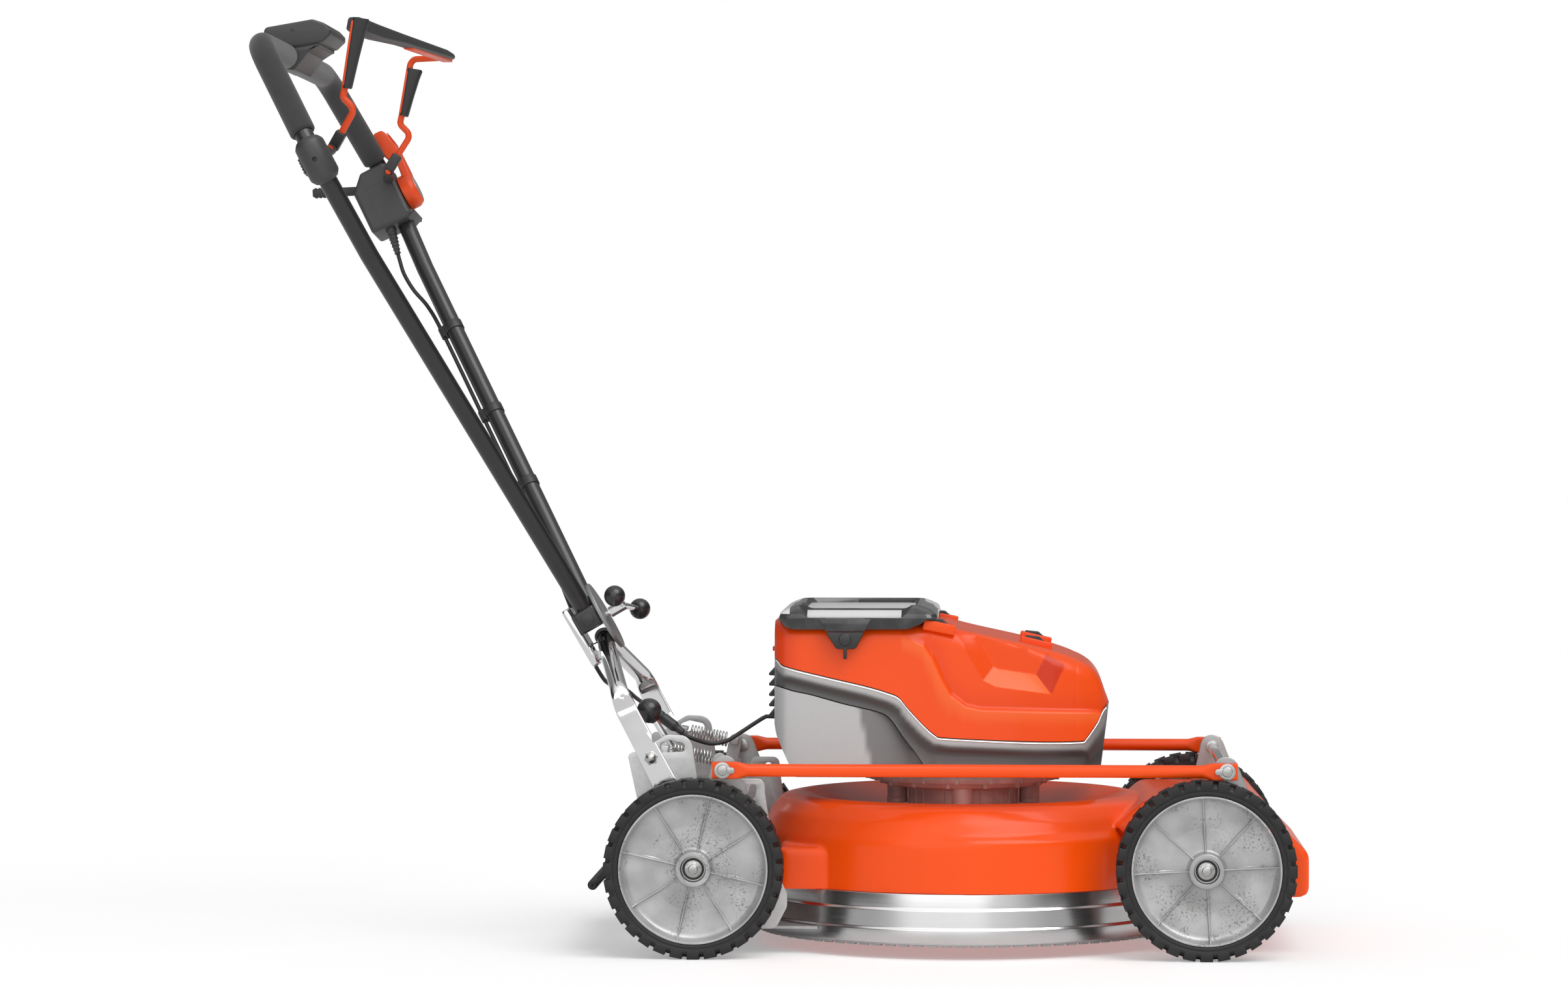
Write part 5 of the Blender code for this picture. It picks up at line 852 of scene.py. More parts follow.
def copies(shape, count, place, coat, turn=0.0, first=0.0, step=(0.0, 0.0, 0.0)):
    """The shape repeated round local Z or along a step, as one plain mesh; the shape goes."""
    host = shown(bpy.data.meshes.new("work"), place=place)
    mod = host.modifiers.new("copies", "NODES")
    mod.node_group = copies_tree()
    named = {item.name: item.identifier for item in mod.node_group.interface.items_tree
             if item.in_out == "INPUT"}
    for name, value in (("Shape", shape), ("Count", count), ("First turn", first), ("Turn", turn),
                        ("Step", Vector(step)), ("Finish", coat)):
        mod[named[name]] = value
    made = baked(host)
    drop(shape)
    return made


# Wheels

WHEEL_RADIUS = 0.105
WEB_FACE = 0.2365
FIRST_RIB = {"rear": 77.0, "front": 3.0}


def wheel_place(x, side):
    """A frame on a wheel's axis: local Z outwards, so that heights along it are |Y|."""
    return axes((x, 0.0, WHEEL_RADIUS), (1.0, 0.0, 0.0), (0.0, side, 0.0))


def tread_lug(low, high, tip):
    """One square lug, its top flat on the wheel's radius."""
    half = 0.0072
    outline = ((0.0950, -half * 1.06), (tip, -half), (tip, half), (0.0950, half * 1.06))
    return sheet((outline,), high - low, level((low + high) / 2.0), 0.0011, 1)


def tyre(name, x, side):
    """A rounded carcass with two rows of square lugs and a moulded line on the side wall."""
    body = spun(((0.0880, 0.2090, 0.001), (0.0975, 0.2082, 0.005), (0.1014, 0.2140, 0.005),
                 (0.1014, 0.2480, 0.005), (0.0978, 0.2536, 0.0025), (0.0940, 0.2532, 0.0006),
                 (0.0934, 0.2523, 0.0006), (0.0905, 0.2526, 0.001), (0.0880, 0.2520, 0.001)),
                x, WHEEL_RADIUS, side, 128, 4)
    count = sizes().tread_lugs
    step = 2.0 * math.pi / count
    place = wheel_place(x, side)
    down = side * math.pi / 2.0
    outer = copies(tread_lug(0.2315, 0.2538, WHEEL_RADIUS), count, place, tyre_rubber(), step, down)
    inner = copies(tread_lug(0.2083, 0.2300, 0.1046), count, place, tyre_rubber(), step, down + step / 2.0)
    dress(together(body, outer, inner), name + "_treaded", tyre_rubber(), "wheel_" + name[5:], (name,),
          30.0)


def rim(name, x, side):
    """Barrel, dished web and hub in one casting, with thin raised ribs."""
    body = spun((
        (0.0876, 0.2528, 0.0008), (0.0876, 0.2110, 0.001), (0.0835, 0.2110, 0.001), (0.0835, 0.2320, 0.004),
        (0.0078, 0.2330, 0.0), (0.0078, 0.2362, 0.0), (0.0150, 0.2362, 0.0), (0.0150, 0.2525, 0.0006),
        (0.0205, 0.2525, 0.0014), (0.0212, WEB_FACE + 0.0010, 0.0045), (0.0500, WEB_FACE - 0.0004, 0.02),
        (0.0826, WEB_FACE + 0.0012, 0.0085), (0.0852, 0.2528, 0.0008)), x, WHEEL_RADIUS, side, 128, 7)
    height = 0.0052
    ridge = rounded(((-0.0040, -0.0010, 0.0), (-0.0011, 0.0006, 0.002), (-0.0008, height, 0.0007),
                     (0.0008, height, 0.0007), (0.0011, 0.0006, 0.002), (0.0040, -0.0010, 0.0)), 0.0, 3)
    along = ((0.0195, 1.25, 0.0), (0.0260, 1.0, 0.0), (0.0760, 1.0, 0.0), (0.0850, 1.3, 0.003))
    rib = skin([[(r, v, WEB_FACE + lift * h + rise) for v, h in ridge] for r, lift, rise in along])
    count = sizes().rim_ribs
    first = -side * math.radians(FIRST_RIB["rear" if x < DECK_X else "front"])
    ribs = copies(rib, count, wheel_place(x, side), rim_alloy(), 2.0 * math.pi / count, first)
    dress(together(body, ribs), name + "_cast", rim_alloy(), "wheel_" + name[4:], (name,),
          32.0)


def wheel_bearing(name, x, side):
    """Ball bearing with turned races and a black seal."""
    races = spun(((0.0145, 0.2366, 0.0003), (0.0145, 0.2430, 0.0005), (0.0128, 0.2430, 0.0003),
                  (0.0126, 0.2425, 0.0), (0.0104, 0.2425, 0.0), (0.0102, 0.2430, 0.0003),
                  (0.0080, 0.2430, 0.0003), (0.0080, 0.2366, 0.0003)), x, WHEEL_RADIUS, side, 64, 2)
    body = "wheel_" + name[14:]
    dress(races, name + "_races", bolt_zinc(), body, (name,))
    seal = spun(((0.0126, 0.2424), (0.0126, 0.2428), (0.0104, 0.2428), (0.0104, 0.2424)),
                x, WHEEL_RADIUS, side, 48)
    dress(seal, name + "_seal", black_plastic(), body)


class MOWER_OT_wheels(bpy.types.Operator):
    """Four wheels: treaded tyre, ribbed cast rim and bearing"""
    bl_idname = "mower.wheels"
    bl_label = "Wheels"

    def execute(self, context):
        for end, x in ENDS:
            for word, side in SIDES:
                tyre(f"tyre_{end}_{word}", x, side)
                rim(f"rim_{end}_{word}", x, side)
                wheel_bearing(f"wheel_bearing_{end}_{word}", x, side)
        return {"FINISHED"}


# Height setting

PIVOT_HEIGHT = 0.115
PIN_HEIGHT = 0.220
PIN_BACK = 0.041
ROD_Y = 0.234
PIVOTS = {"rear": -0.023, "front": 0.565}
CRANK_FACE = 0.1985
PIN_RADIUS = 0.006
REAR_WHEEL_X = ENDS[0][1]
SPRING_BACK = Vector((-0.131, 0.0, 0.2402))
SPRING_FRONT = Vector((-0.076, 0.0, 0.2290))
SPRING_WAY = (SPRING_FRONT - SPRING_BACK).normalized()
SPRING_SEAT = 0.0048


def stretched_band(corners, radius, points=10):
    """The outline of a band stretched round equal discs at the corners."""
    count = len(corners)
    area = sum(corners[i][0] * corners[(i + 1) % count][1] - corners[(i + 1) % count][0] * corners[i][1]
               for i in range(count))
    corners = corners if area > 0.0 else tuple(reversed(corners))
    out = []
    for i in range(count):
        here = Vector(corners[i])
        back = (here - Vector(corners[i - 1])).normalized()
        ahead = (Vector(corners[(i + 1) % count]) - here).normalized()
        start = math.atan2(-back.x, back.y)
        end = math.atan2(-ahead.x, ahead.y)
        while end < start:
            end += 2.0 * math.pi
        for k in range(points + 1):
            angle = start + (end - start) * k / points
            out.append((here.x + radius * math.cos(angle), here.y + radius * math.sin(angle)))
    return out


def hex_nut(x, z, side, low, high, radius):
    """A nut with chamfered corners."""
    nut = sheet((ring(x, z, radius, 6, 0.3),), high - low, upright(side * (low + high) / 2.0))
    cone = spun(((radius * 0.80, high + 0.0005), (radius * 1.15, low + (high - low) * 0.62),
                 (radius * 1.15, low - 0.0005), (0.0, low - 0.0005), (0.0, high + 0.0005)), x, z, side, 48)
    return common(nut, cone)


def pin_end(x, z, side, low, flip):
    """A pin's end with its washer and spring clip."""
    top = low + 0.0014
    washer = spun(((0.0098, low, 0.0002), (0.0098, top, 0.0005), (PIN_RADIUS, top, 0.0),
                   (PIN_RADIUS, low, 0.0)),
                  x, z, side, 48, 2)
    head = crossbar(x, z, side, low - 0.004, low + 0.0032, PIN_RADIUS, 40, 0.0009)
    clip = spun(((PIN_RADIUS + 0.0013, top), (PIN_RADIUS + 0.0013, low + 0.0021),
                 (PIN_RADIUS * 0.9, low + 0.0021), (PIN_RADIUS * 0.9, top)), x, z, side, 40)
    ear = sheet((slab((x + flip * PIN_RADIUS, z), (x + flip * (PIN_RADIUS + 0.0048), z), 0.0036),), 0.0009,
                upright(side * (low + 0.0018)), 0.0003)
    return together(washer, head, clip, ear)


def crank_set(end, wheel_x):
    """The crank plates with spindles, wheel nuts and rod pins, in one welded set."""
    pivot = PIVOTS[end]
    body = f"{end}_cranks"
    pin_x = pivot - PIN_BACK
    flip = 1.0 if end == "rear" else -1.0
    parts = []
    bolts = []
    for _, side in SIDES:
        corners = ((pivot, PIVOT_HEIGHT), (wheel_x, WHEEL_RADIUS), (pin_x, PIN_HEIGHT))
        parts += [sheet((stretched_band(corners, 0.0150),), 0.004, upright(side * CRANK_FACE), 0.0010),
                  crossbar(wheel_x, WHEEL_RADIUS, side, CRANK_FACE, 0.2320, 0.0105),
                  crossbar(pin_x, PIN_HEIGHT, side, CRANK_FACE, 0.2400, PIN_RADIUS)]
        bolts += [crossbar(wheel_x, WHEEL_RADIUS, side, 0.2315, 0.2502, 0.0058, edge=0.0014),
                  spun(((0.0098, 0.2431, 0.0), (0.0098, 0.2441, 0.0004), (0.0050, 0.2441, 0.0),
                        (0.0050, 0.2431, 0.0)), wheel_x, WHEEL_RADIUS, side, 48, 2),
                  hex_nut(wheel_x, WHEEL_RADIUS, side, 0.2441, 0.2484, 0.0088),
                  pin_end(pin_x, PIN_HEIGHT, side, 0.2402, flip),
                  crossbar(pin_x, PIN_HEIGHT, side, 0.1950, 0.1966, 0.0078, edge=0.0005)]
    dress(together(*bolts), f"{end}_crank_pins_and_nuts", bolt_zinc(), body)
    return parts, body


def cranks():
    """Rear cranks on their through axle, with the springs' seats; front cranks with their tubes."""
    parts, body = crank_set("rear", REAR_WHEEL_X)
    parts.append(crossbar(REAR_WHEEL_X, WHEEL_RADIUS, 1.0, -CRANK_FACE, CRANK_FACE, 0.010, 40))
    seat = SPRING_FRONT + SPRING_WAY * SPRING_SEAT
    for _, side in SIDES:
        parts.append(crossbar(PIVOTS["rear"], PIVOT_HEIGHT, side, 0.1765, CRANK_FACE, 0.008))
        outline = slab((REAR_WHEEL_X, WHEEL_RADIUS), (seat.x, seat.z), 0.008)
        parts.append(sheet((outline,), 0.003, upright(side * 0.172), 0.0006))
        place = axes((seat.x, side * 0.1630, seat.z), SPRING_WAY, (0.0, side, 0.0))
        parts.append(block((-0.0045, -0.0045, -0.0073), (0.0045, 0.0045, 0.0073), 0.0007, place))
    dress(together(*parts), "rear_crank_weldment", galvanised(), body, ("rear_axle",))
    parts, body = crank_set("front", ENDS[1][1])
    parts.append(crossbar(PIVOTS["front"], PIVOT_HEIGHT, 1.0, -CRANK_FACE, CRANK_FACE, 0.012, 40))
    dress(together(*parts), "front_crank_weldment", galvanised(), body, ("front_axle",))
    tie = crossbar(PIVOTS["front"] - PIN_BACK, PIN_HEIGHT, 1.0, -CRANK_FACE, CRANK_FACE, 0.0062, 40)
    dress(tie, "front_tie_tube", chrome(), body)


def soft_square(half_wide, half_high, power, points):
    """A ring of points that goes from round, power 2, to square with soft corners."""
    out = []
    for k in range(points):
        angle = 2.0 * math.pi * k / points
        c = math.cos(angle)
        s = math.sin(angle)
        out.append((math.copysign(abs(c) ** (2.0 / power), c) * half_wide,
                    math.copysign(abs(s) ** (2.0 / power), s) * half_high))
    return out


def height_rod(word, side):
    """A painted tube pressed flat at both ends round its eyes."""
    rear = PIVOTS["rear"] - PIN_BACK
    front = PIVOTS["front"] - PIN_BACK
    plan = [(-0.0122, 0.0094, 0.0056, 9.0), (-0.0112, 0.0099, 0.0060, 9.0), (0.0150, 0.0100, 0.0060, 9.0),
            (0.0175, 0.0099, 0.0061, 7.0), (0.0270, 0.0078, 0.0074, 2.4), (0.0300, 0.0075, 0.0075, 2.0)]
    stations = [(rear + at, high, wide, power) for at, high, wide, power in plan]
    stations += [(front - at, high, wide, power) for at, high, wide, power in reversed(plan)]
    made = skin([[(x, u + side * ROD_Y, PIN_HEIGHT + v) for u, v in soft_square(wide, high, power, 48)]
                 for x, high, wide, power in stations])
    holes = [crossbar(x, PIN_HEIGHT, side, 0.22, 0.25, 0.0066) for x in (rear, front)]
    made = minus(made, *holes)
    dress(made, f"height_rod_{word}_pressed", orange_paint(), f"rod_{word}", (f"height_rod_{word}",),
          30.0)


def lift_spring(word, side):
    """A close-wound pull spring with its straight ends."""
    aside = Vector((0.0, side * 0.160, 0.0))
    back = SPRING_BACK + aside
    front = SPRING_FRONT + aside
    across = Vector((0.0, 1.0, 0.0))
    other = SPRING_WAY.cross(across)
    turns = 12
    each = 24
    run = (front - back).length - 0.009
    points = [back, back + SPRING_WAY * 0.002]
    for k in range(turns * each + 1):
        angle = 2.0 * math.pi * k / each
        points.append(back + SPRING_WAY * (0.0045 + run * k / (turns * each))
                      + 0.0083 * (across * math.cos(angle) + other * math.sin(angle)))
    points += [front - SPRING_WAY * 0.002, front]
    made = wire([tuple(p) for p in points], 0.0011, 3)
    dress(made, f"lift_spring_{word}_wound", bolt_zinc(), "rear_cranks", (f"lift_spring_{word}",))


def height_lever():
    """A bent bar from the through axle up to its ball knob."""
    foot = (REAR_WHEEL_X, -0.138, 0.1155)
    knee = (-0.100, -0.138, 0.190)
    knob = Vector((-0.157, -0.138, 0.2835))
    down = (Vector(knee) - knob).normalized()
    head = knob + down * 0.0153
    rod = wire(bent((foot, knee, tuple(head)), (0.030,), 16), 0.004, 6)
    dress(rod, "height_lever_bar", chrome(), "rear_cranks", ("height_lever",))
    ball = turned([(0.0149 * math.sin(math.pi * k / 24), 0.0149 * math.cos(math.pi * k / 24)) if 0 < k < 22
                   else (0.0, 0.0149) if k == 0 else (0.0052, -0.0149 * 0.97) if k == 22
                   else (0.0052, -0.0152) if k == 23 else (0.0, -0.0152) for k in range(25)],
                  knob, -down, 40, whole=True)
    dress(ball, "height_knob_ball", polished_black(), "rear_cranks", ("height_knob",))


class MOWER_OT_height_setting(bpy.types.Operator):
    """Cranks, rods, lift springs and height lever"""
    bl_idname = "mower.height_setting"
    bl_label = "Height setting"

    def execute(self, context):
        cranks()
        height_lever()
        for word, side in SIDES:
            height_rod(word, side)
            lift_spring(word, side)
        return {"FINISHED"}


# Deck, skirt, side plates and flap

DECK_RADIUS = 0.2437
FOLD_BOLT = (-0.1209, 0.1756)
BAIL_PIVOT = (-0.5185, 0.9440)
LATCH_X = 0.0764
CAP_NUT = (-0.1509, 0.2310)


def deck_solid(inset, bottom, rounding):
    """The pressed deck's outside, or its inside when shrunk: dish, crown, shelf and front nose."""
    radius = DECK_RADIUS - inset
    profile = rounded((
        (0.0, 0.150 - inset, 0.0), (0.126, 0.150 - inset, 0.018), (0.176, 0.1700 - inset, 0.020),
        (0.198, 0.1795 - inset, 0.020), (0.2200, 0.1755 - inset, 0.016), (0.2330, 0.1590 - inset, 0.012),
        (radius, 0.1345 - inset, 0.010), (radius, bottom, 0.0), (0.0, bottom, 0.0)), 0.0, 6)
    made = turned(profile, (DECK_X, 0.0, 0.0), (0.0, 0.0, 1.0), 160, whole=True)
    half = 0.186 - inset
    shelf = block((-0.0015 + inset, -half, bottom), (DECK_X - 0.05, half, 0.1255 - inset), rounding)
    side = rounded((
        (0.480, bottom, 0.0), (0.6000, min(bottom, 0.0656), 0.0),
        (0.6238 - inset, min(bottom, 0.0662), 0.012),
        (0.6238 - inset, 0.1180 - inset, 0.016), (0.5950, 0.1470 - inset, 0.014),
        (0.5620, 0.1850 - inset, 0.010),
        (0.5450, 0.1955 - inset, 0.008), (0.5180, 0.1955 - inset, 0.008), (0.4980, 0.1825 - inset, 0.010),
        (0.4330, 0.1825 - inset, 0.020), (0.3950, 0.1500 - inset, 0.0)), 0.0, 6)
    nose = sheet((side,), 2.0 * (0.1645 - inset), upright(0.0), rounding, 3)
    return plus(made, shelf, nose)


def pressed_wall(mesh):
    """Presses the raised panel into the wall's front half."""
    for v in mesh.vertices:
        away = Vector((v.co.x - DECK_X, v.co.y))
        if away.length < 0.215 or away.length > 0.2480 or v.co.z > 0.150:
            continue
        forward = eased(v.co.x, 0.175, 0.235) * (1.0 - eased(v.co.x, 0.375, 0.410))
        high = 1.0 - eased(v.co.z, 0.136, 0.146)
        push = 0.0042 * forward * high * eased(v.co.z, 0.060, 0.070)
        spot = away.normalized() * min(away.length + push, 0.2475)
        v.co.x = DECK_X + spot.x
        v.co.y = spot.y


def deck():
    made = deck_solid(0.0, 0.0700, 0.006)
    mod = made.modifiers.new("pressing", "REMESH")
    mod.mode = "VOXEL"
    mod.voxel_size = 0.0027
    mod.use_smooth_shade = True
    mod = made.modifiers.new("fillets", "SMOOTH")
    mod.factor = 0.5
    mod.iterations = 7
    made = baked(made)
    pressed_wall(made.data)
    mod = made.modifiers.new("lighter", "DECIMATE")
    mod.ratio = 0.55
    made = baked(made)
    trim = block((-0.1, -0.3, 0.0), (0.47, 0.3, 0.0770))
    trim_front = block((0.40, -0.3, 0.0), (0.7, 0.3, 0.0656))
    inside = deck_solid(0.0030, 0.02, 0.004)
    shaft = bar((DECK_X, 0.0, 0.12), (DECK_X, 0.0, 0.16), 0.018, 48)
    pivot = bar((0.565, -0.3, PIVOT_HEIGHT), (0.565, 0.3, PIVOT_HEIGHT), 0.0126, 48)
    made = minus(made, inside, shaft, pivot, trim, trim_front)
    dress(made, "deck_pressing", orange_paint(), "chassis", ("deck_shell",), 42.0)


def skirt():
    """A stainless band, stepped outwards twice, with a lip and small teeth below."""
    profile = rounded((
        (0.2466, 0.0764, 0.0006), (0.2470, 0.0600, 0.0020), (0.2492, 0.0570, 0.0020),
        (0.2494, 0.0372, 0.0020),
        (0.2512, 0.0346, 0.0020), (0.2514, 0.0190, 0.0010), (0.2496, 0.0186, 0.0004),
        (0.2490, 0.0350, 0.0010),
        (0.2472, 0.0380, 0.0010), (0.2470, 0.0575, 0.0010), (0.2446, 0.0600, 0.0010),
        (0.2442, 0.0764, 0.0004)),
        0.0, 4)
    made = turned(profile, (DECK_X, 0.0, 0.0), (0.0, 0.0, 1.0), 256)
    dress(made, "skirt_rolled", skirt_steel(), "chassis", ("skirt_band",), 30.0)
    count = sizes().skirt_teeth
    lip = turned(rounded(((0.2512, 0.0192, 0.0006), (0.2512, 0.0172, 0.0006), (0.2470, 0.0168, 0.0006),
                          (0.2470, 0.0192, 0.0)), 0.0, 2), (DECK_X, 0.0, 0.0), (0.0, 0.0, 1.0), 192)
    tooth = block((0.2452, -0.0060, 0.0151), (0.2503, 0.0060, 0.0175), 0.0006, None, 1)
    teeth = copies(tooth, count, Matrix.Translation((DECK_X, 0.0, 0.0)), galvanised(), 2.0 * math.pi / count)
    dress(together(lip, teeth), "skirt_lip_and_teeth", galvanised(), "chassis")


def slot_outline():
    """The arc that the through axle sweeps through a side plate."""
    pivot = Vector((PIVOTS["rear"], PIVOT_HEIGHT))
    arm = Vector((REAR_WHEEL_X, WHEEL_RADIUS)) - pivot
    lean = math.atan2(arm.y, arm.x)
    travel = math.radians(25.0)
    radius = 0.0126
    out = []
    for reach, first, last in ((arm.length + radius, 0.0, travel), (arm.length - radius, travel, 0.0)):
        for k in range(13):
            angle = lean + first + (last - first) * k / 12
            out.append((pivot.x + reach * math.cos(angle), pivot.y + reach * math.sin(angle)))
        end = lean + last
        centre = pivot + arm.length * Vector((math.cos(end), math.sin(end)))
        begin = end if last else end + math.pi
        for k in range(1, 12):
            angle = begin + math.pi * k / 12
            out.append((centre.x + radius * math.cos(angle), centre.y + radius * math.sin(angle)))
    return out


def side_plate(word, side):
    """A bent sheet's upright: arch with the lever's window, detent teeth, oval holes and lug."""
    outline = rounded((
        (-0.1792, 0.2366, 0.006), (-0.1682, 0.1852, 0.0), (-0.1500, 0.1150, 0.020), (-0.1380, 0.030, 0.010),
        (-0.0040, 0.030, 0.010), (0.0093, 0.0560, 0.010), (0.0093, 0.0720, 0.006), (-0.0040, 0.1000, 0.0),
        (-0.0165, 0.1900, 0.0), (-0.0175, 0.2067, 0.010), (-0.0520, 0.2067, 0.008), (-0.0600, 0.1760, 0.0),
        (-0.0920, 0.1760, 0.010), (-0.1000, 0.2300, 0.0), (-0.1040, 0.2573, 0.016), (-0.1330, 0.2585, 0.012),
        (-0.1500, 0.2480, 0.0), (-0.1640, 0.2380, 0.0)), 0.0, 8)
    window = rounded(((-0.1404, 0.2370, 0.002), (-0.1110, 0.2385, 0.005), (-0.1110, 0.2480, 0.006),
                      (-0.1300, 0.2520, 0.004), (-0.1404, 0.2480, 0.002)), 0.0, 6)
    oval = slab((-0.0310, 0.1955), (-0.0330, 0.1870), 0.0042, 10)
    fold = ring(*FOLD_BOLT, 0.0050, 32)
    pivot = ring(PIVOTS["rear"], PIVOT_HEIGHT, 0.0086, 32)
    made = sheet((outline, pivot, window, oval, fold), 0.003, upright(side * 0.188), 0.0007)
    made = minus(made, sheet((slot_outline(),), 0.02, upright(side * 0.188)))
    seat = SPRING_BACK - SPRING_WAY * SPRING_SEAT
    place = axes((seat.x, side * 0.1715, seat.z), SPRING_WAY, (0.0, side, 0.0))
    made = together(made, block((-0.0045, -0.0045, -0.0155), (0.0045, 0.0045, 0.0155), 0.0007, place))
    # The right-hand plate takes the lighter copy of the sheet as painted light.
    coat = galvanised_painted_lit() if word == "right" else galvanised()
    dress(made, f"side_plate_{word}_pressed", coat, "chassis", (f"side_plate_{word}",), 32.0)
    sector = rounded(((-0.0870, 0.1790, 0.003), (-0.0660, 0.1790, 0.004), (-0.0640, 0.2040, 0.006),
                      (-0.0810, 0.2080, 0.004)), 0.0, 6)
    inner = side * 0.1845
    plate = sheet((sector,), 0.003, upright(inner), 0.0006)
    tooth = block((-0.0020, -0.0015, -0.0009), (0.0020, 0.0015, 0.0009), 0.0003, None, 1)
    teeth = copies(tooth, 7, axes((-0.0850, inner, 0.1820), (1.0, 0.0, 0.2), (-0.2, 0.0, 1.0)), bolt_zinc(),
                   step=(0.0, 0.0, 0.0036))
    dress(together(plate, teeth), f"detent_sector_{word}", coat, "chassis")


def rear_pieces():
    """Rubber flap on its rod, with a thick foot and moulded ribs; the floor keeps its CAD shape."""
    top = Vector((-0.156, 0.130))
    foot = Vector((-0.221, 0.080))
    half = 0.183
    panel = sheet((slab(top, foot, 0.002, 4),), 2.0 * half, upright(0.0), 0.0008)
    bead = bar((foot.x, -half, foot.y), (foot.x, half, foot.y), 0.006, 24, edge=0.0015)
    pin = bar((top.x, -0.1862, top.y), (top.x, 0.1862, top.y), 0.005, 24, edge=0.001)
    way = (foot - top).normalized()
    place = axes((top.x, -half + 0.015, top.y), (way.x, 0.0, way.y), (way.y, 0.0, -way.x))
    rib = block((0.006, -0.002, -0.0034), (0.074, 0.002, 0.0034), 0.001, None, 2)
    ribs = copies(rib, 13, place, tyre_rubber(), step=(0.0, -0.0294, 0.0))
    dress(together(panel, bead, pin, ribs), "rear_flap_moulded", tyre_rubber(), "flap", ("rear_flap",))
    recoat("rear_floor", galvanised())


class MOWER_OT_deck(bpy.types.Operator):
    """Pressed orange deck with its stainless skirt"""
    bl_idname = "mower.deck"
    bl_label = "Deck and skirt"

    def execute(self, context):
        deck()
        skirt()
        return {"FINISHED"}


class MOWER_OT_rear(bpy.types.Operator):
    """Side plates, rear flap and floor"""
    bl_idname = "mower.rear"
    bl_label = "Side plates and flap"

    def execute(self, context):
        for word, side in SIDES:
            side_plate(word, side)
        rear_pieces()
        return {"FINISHED"}


# Motor and cutter

MOTOR_TOP = 0.2045
MOTOR_RADIUS = 0.0657


def motor():
    """Cast cup with cooling ribs, stepped mounting flange, boss legs and flange joints."""
    base = 0.1503
    profile = rounded((
        (0.0094, base, 0.0), (0.0645, base, 0.002), (MOTOR_RADIUS, 0.1700, 0.0),
        (MOTOR_RADIUS, 0.1855, 0.003),
        (0.0900, 0.1875, 0.002), (0.0970, 0.1890, 0.002), (0.1000, 0.1945, 0.0015), (0.1160, 0.1955, 0.001),
        (0.1185, 0.2000, 0.001), (0.1185, MOTOR_TOP, 0.0005), (0.0617, MOTOR_TOP, 0.0), (0.0617, 0.1545, 0.0),
        (0.0094, 0.1545, 0.0)), 0.0, 4)
    body = turned(profile, (DECK_X, 0.0, 0.0), (0.0, 0.0, 1.0), 120)
    centre = Matrix.Translation((DECK_X, 0.0, 0.0))
    coat = motor_casting()
    rib = block((MOTOR_RADIUS - 0.001, -0.0008, 0.1515),
                (MOTOR_RADIUS + 0.0016, 0.0008, 0.1865), 0.0005, None, 1)
    ribs = copies(rib, 28, centre, coat, 2.0 * math.pi / 28, 0.1)
    seam = block((0.0965, -0.0028, 0.1885), (0.1010, 0.0028, 0.1955), 0.0010, None, 2)
    seams = copies(seam, 14, centre, coat, 2.0 * math.pi / 14, 0.05)
    rim_seam = block((0.1150, -0.0022, 0.1952), (0.1189, 0.0022, 0.2040), 0.0008, None, 2)
    rim_seams = copies(rim_seam, 18, centre, coat, 2.0 * math.pi / 18, 0.12)
    parts = [body, ribs, seams, rim_seams]
    for k in range(4):
        angle = math.pi / 2.0 * k
        x = DECK_X + 0.080 * math.cos(angle)
        y = 0.080 * math.sin(angle)
        parts.append(bar((x, y, 0.1700), (x, y, 0.1930), 0.0120, 40, 0.0125, 0.0008))
        parts.append(bar((x, y, 0.1652), (x, y, 0.1712), 0.0125, 40, 0.0125, 0.0010))
    dress(together(*parts), "motor_casting", coat, "chassis", ("motor_housing",), 30.0)
    recoat("stator", copper_winding())
    recoat("rotor_shaft", bolt_zinc())


def cutter():
    """Flat blade with ground edges; adapter and bolt keep their CAD shape."""
    half = 0.235
    wide = 0.025
    low = 0.030
    made = sheet((rounded(((DECK_X - half, -wide, 0.004), (DECK_X - half * 0.62, -wide, 0.0),
                           (DECK_X + half, -wide * 0.55, 0.010), (DECK_X + half, wide, 0.004),
                           (DECK_X + half * 0.62, wide, 0.0), (DECK_X - half, wide * 0.55, 0.010)), 0.0, 6),
                  ring(DECK_X, 0.0, 0.0057, 32)), 0.0035, level(low + 0.00175), 0.0008)
    dress(made, "blade_ground", galvanised(), "rotor", ("blade",))
    recoat("blade_adapter", motor_casting())
    recoat("blade_bolt", bolt_zinc())


class MOWER_OT_motor(bpy.types.Operator):
    """Cast motor housing, motor and cutter"""
    bl_idname = "mower.motor"
    bl_label = "Motor and blade"

    def execute(self, context):
        motor()
        cutter()
        return {"FINISHED"}


# Power unit housing

BODY_TOP = 0.3897
BODY_BOTTOM = 0.2048
HOUSING_RUN = 0.399
HOUSING_LEAN = 0.012
BODY_REAR = -0.0085
BODY_FRONT = 0.3905
BODY_HALF = 0.150
STATIONS = ((0.0000, 0.0000, -0.0200), (0.0012, 0.0000, -0.0130), (0.0050, 0.0000, -0.0070),
            (0.0120, 0.0000, -0.0025), (0.0250, 0.0000, -0.0008), (0.1880, -0.0010, -0.0008),
            (0.2320, -0.0125, -0.0016), (0.2910, -0.0250, -0.0056), (0.3460, -0.0390, -0.0165),
            (0.3700, -0.0500, -0.0240), (0.3820, -0.0590, -0.0300), (0.3900, -0.0720, -0.0360),
            (0.3950, -0.0860, -0.0420), (0.3990, -0.1080, -0.0500))


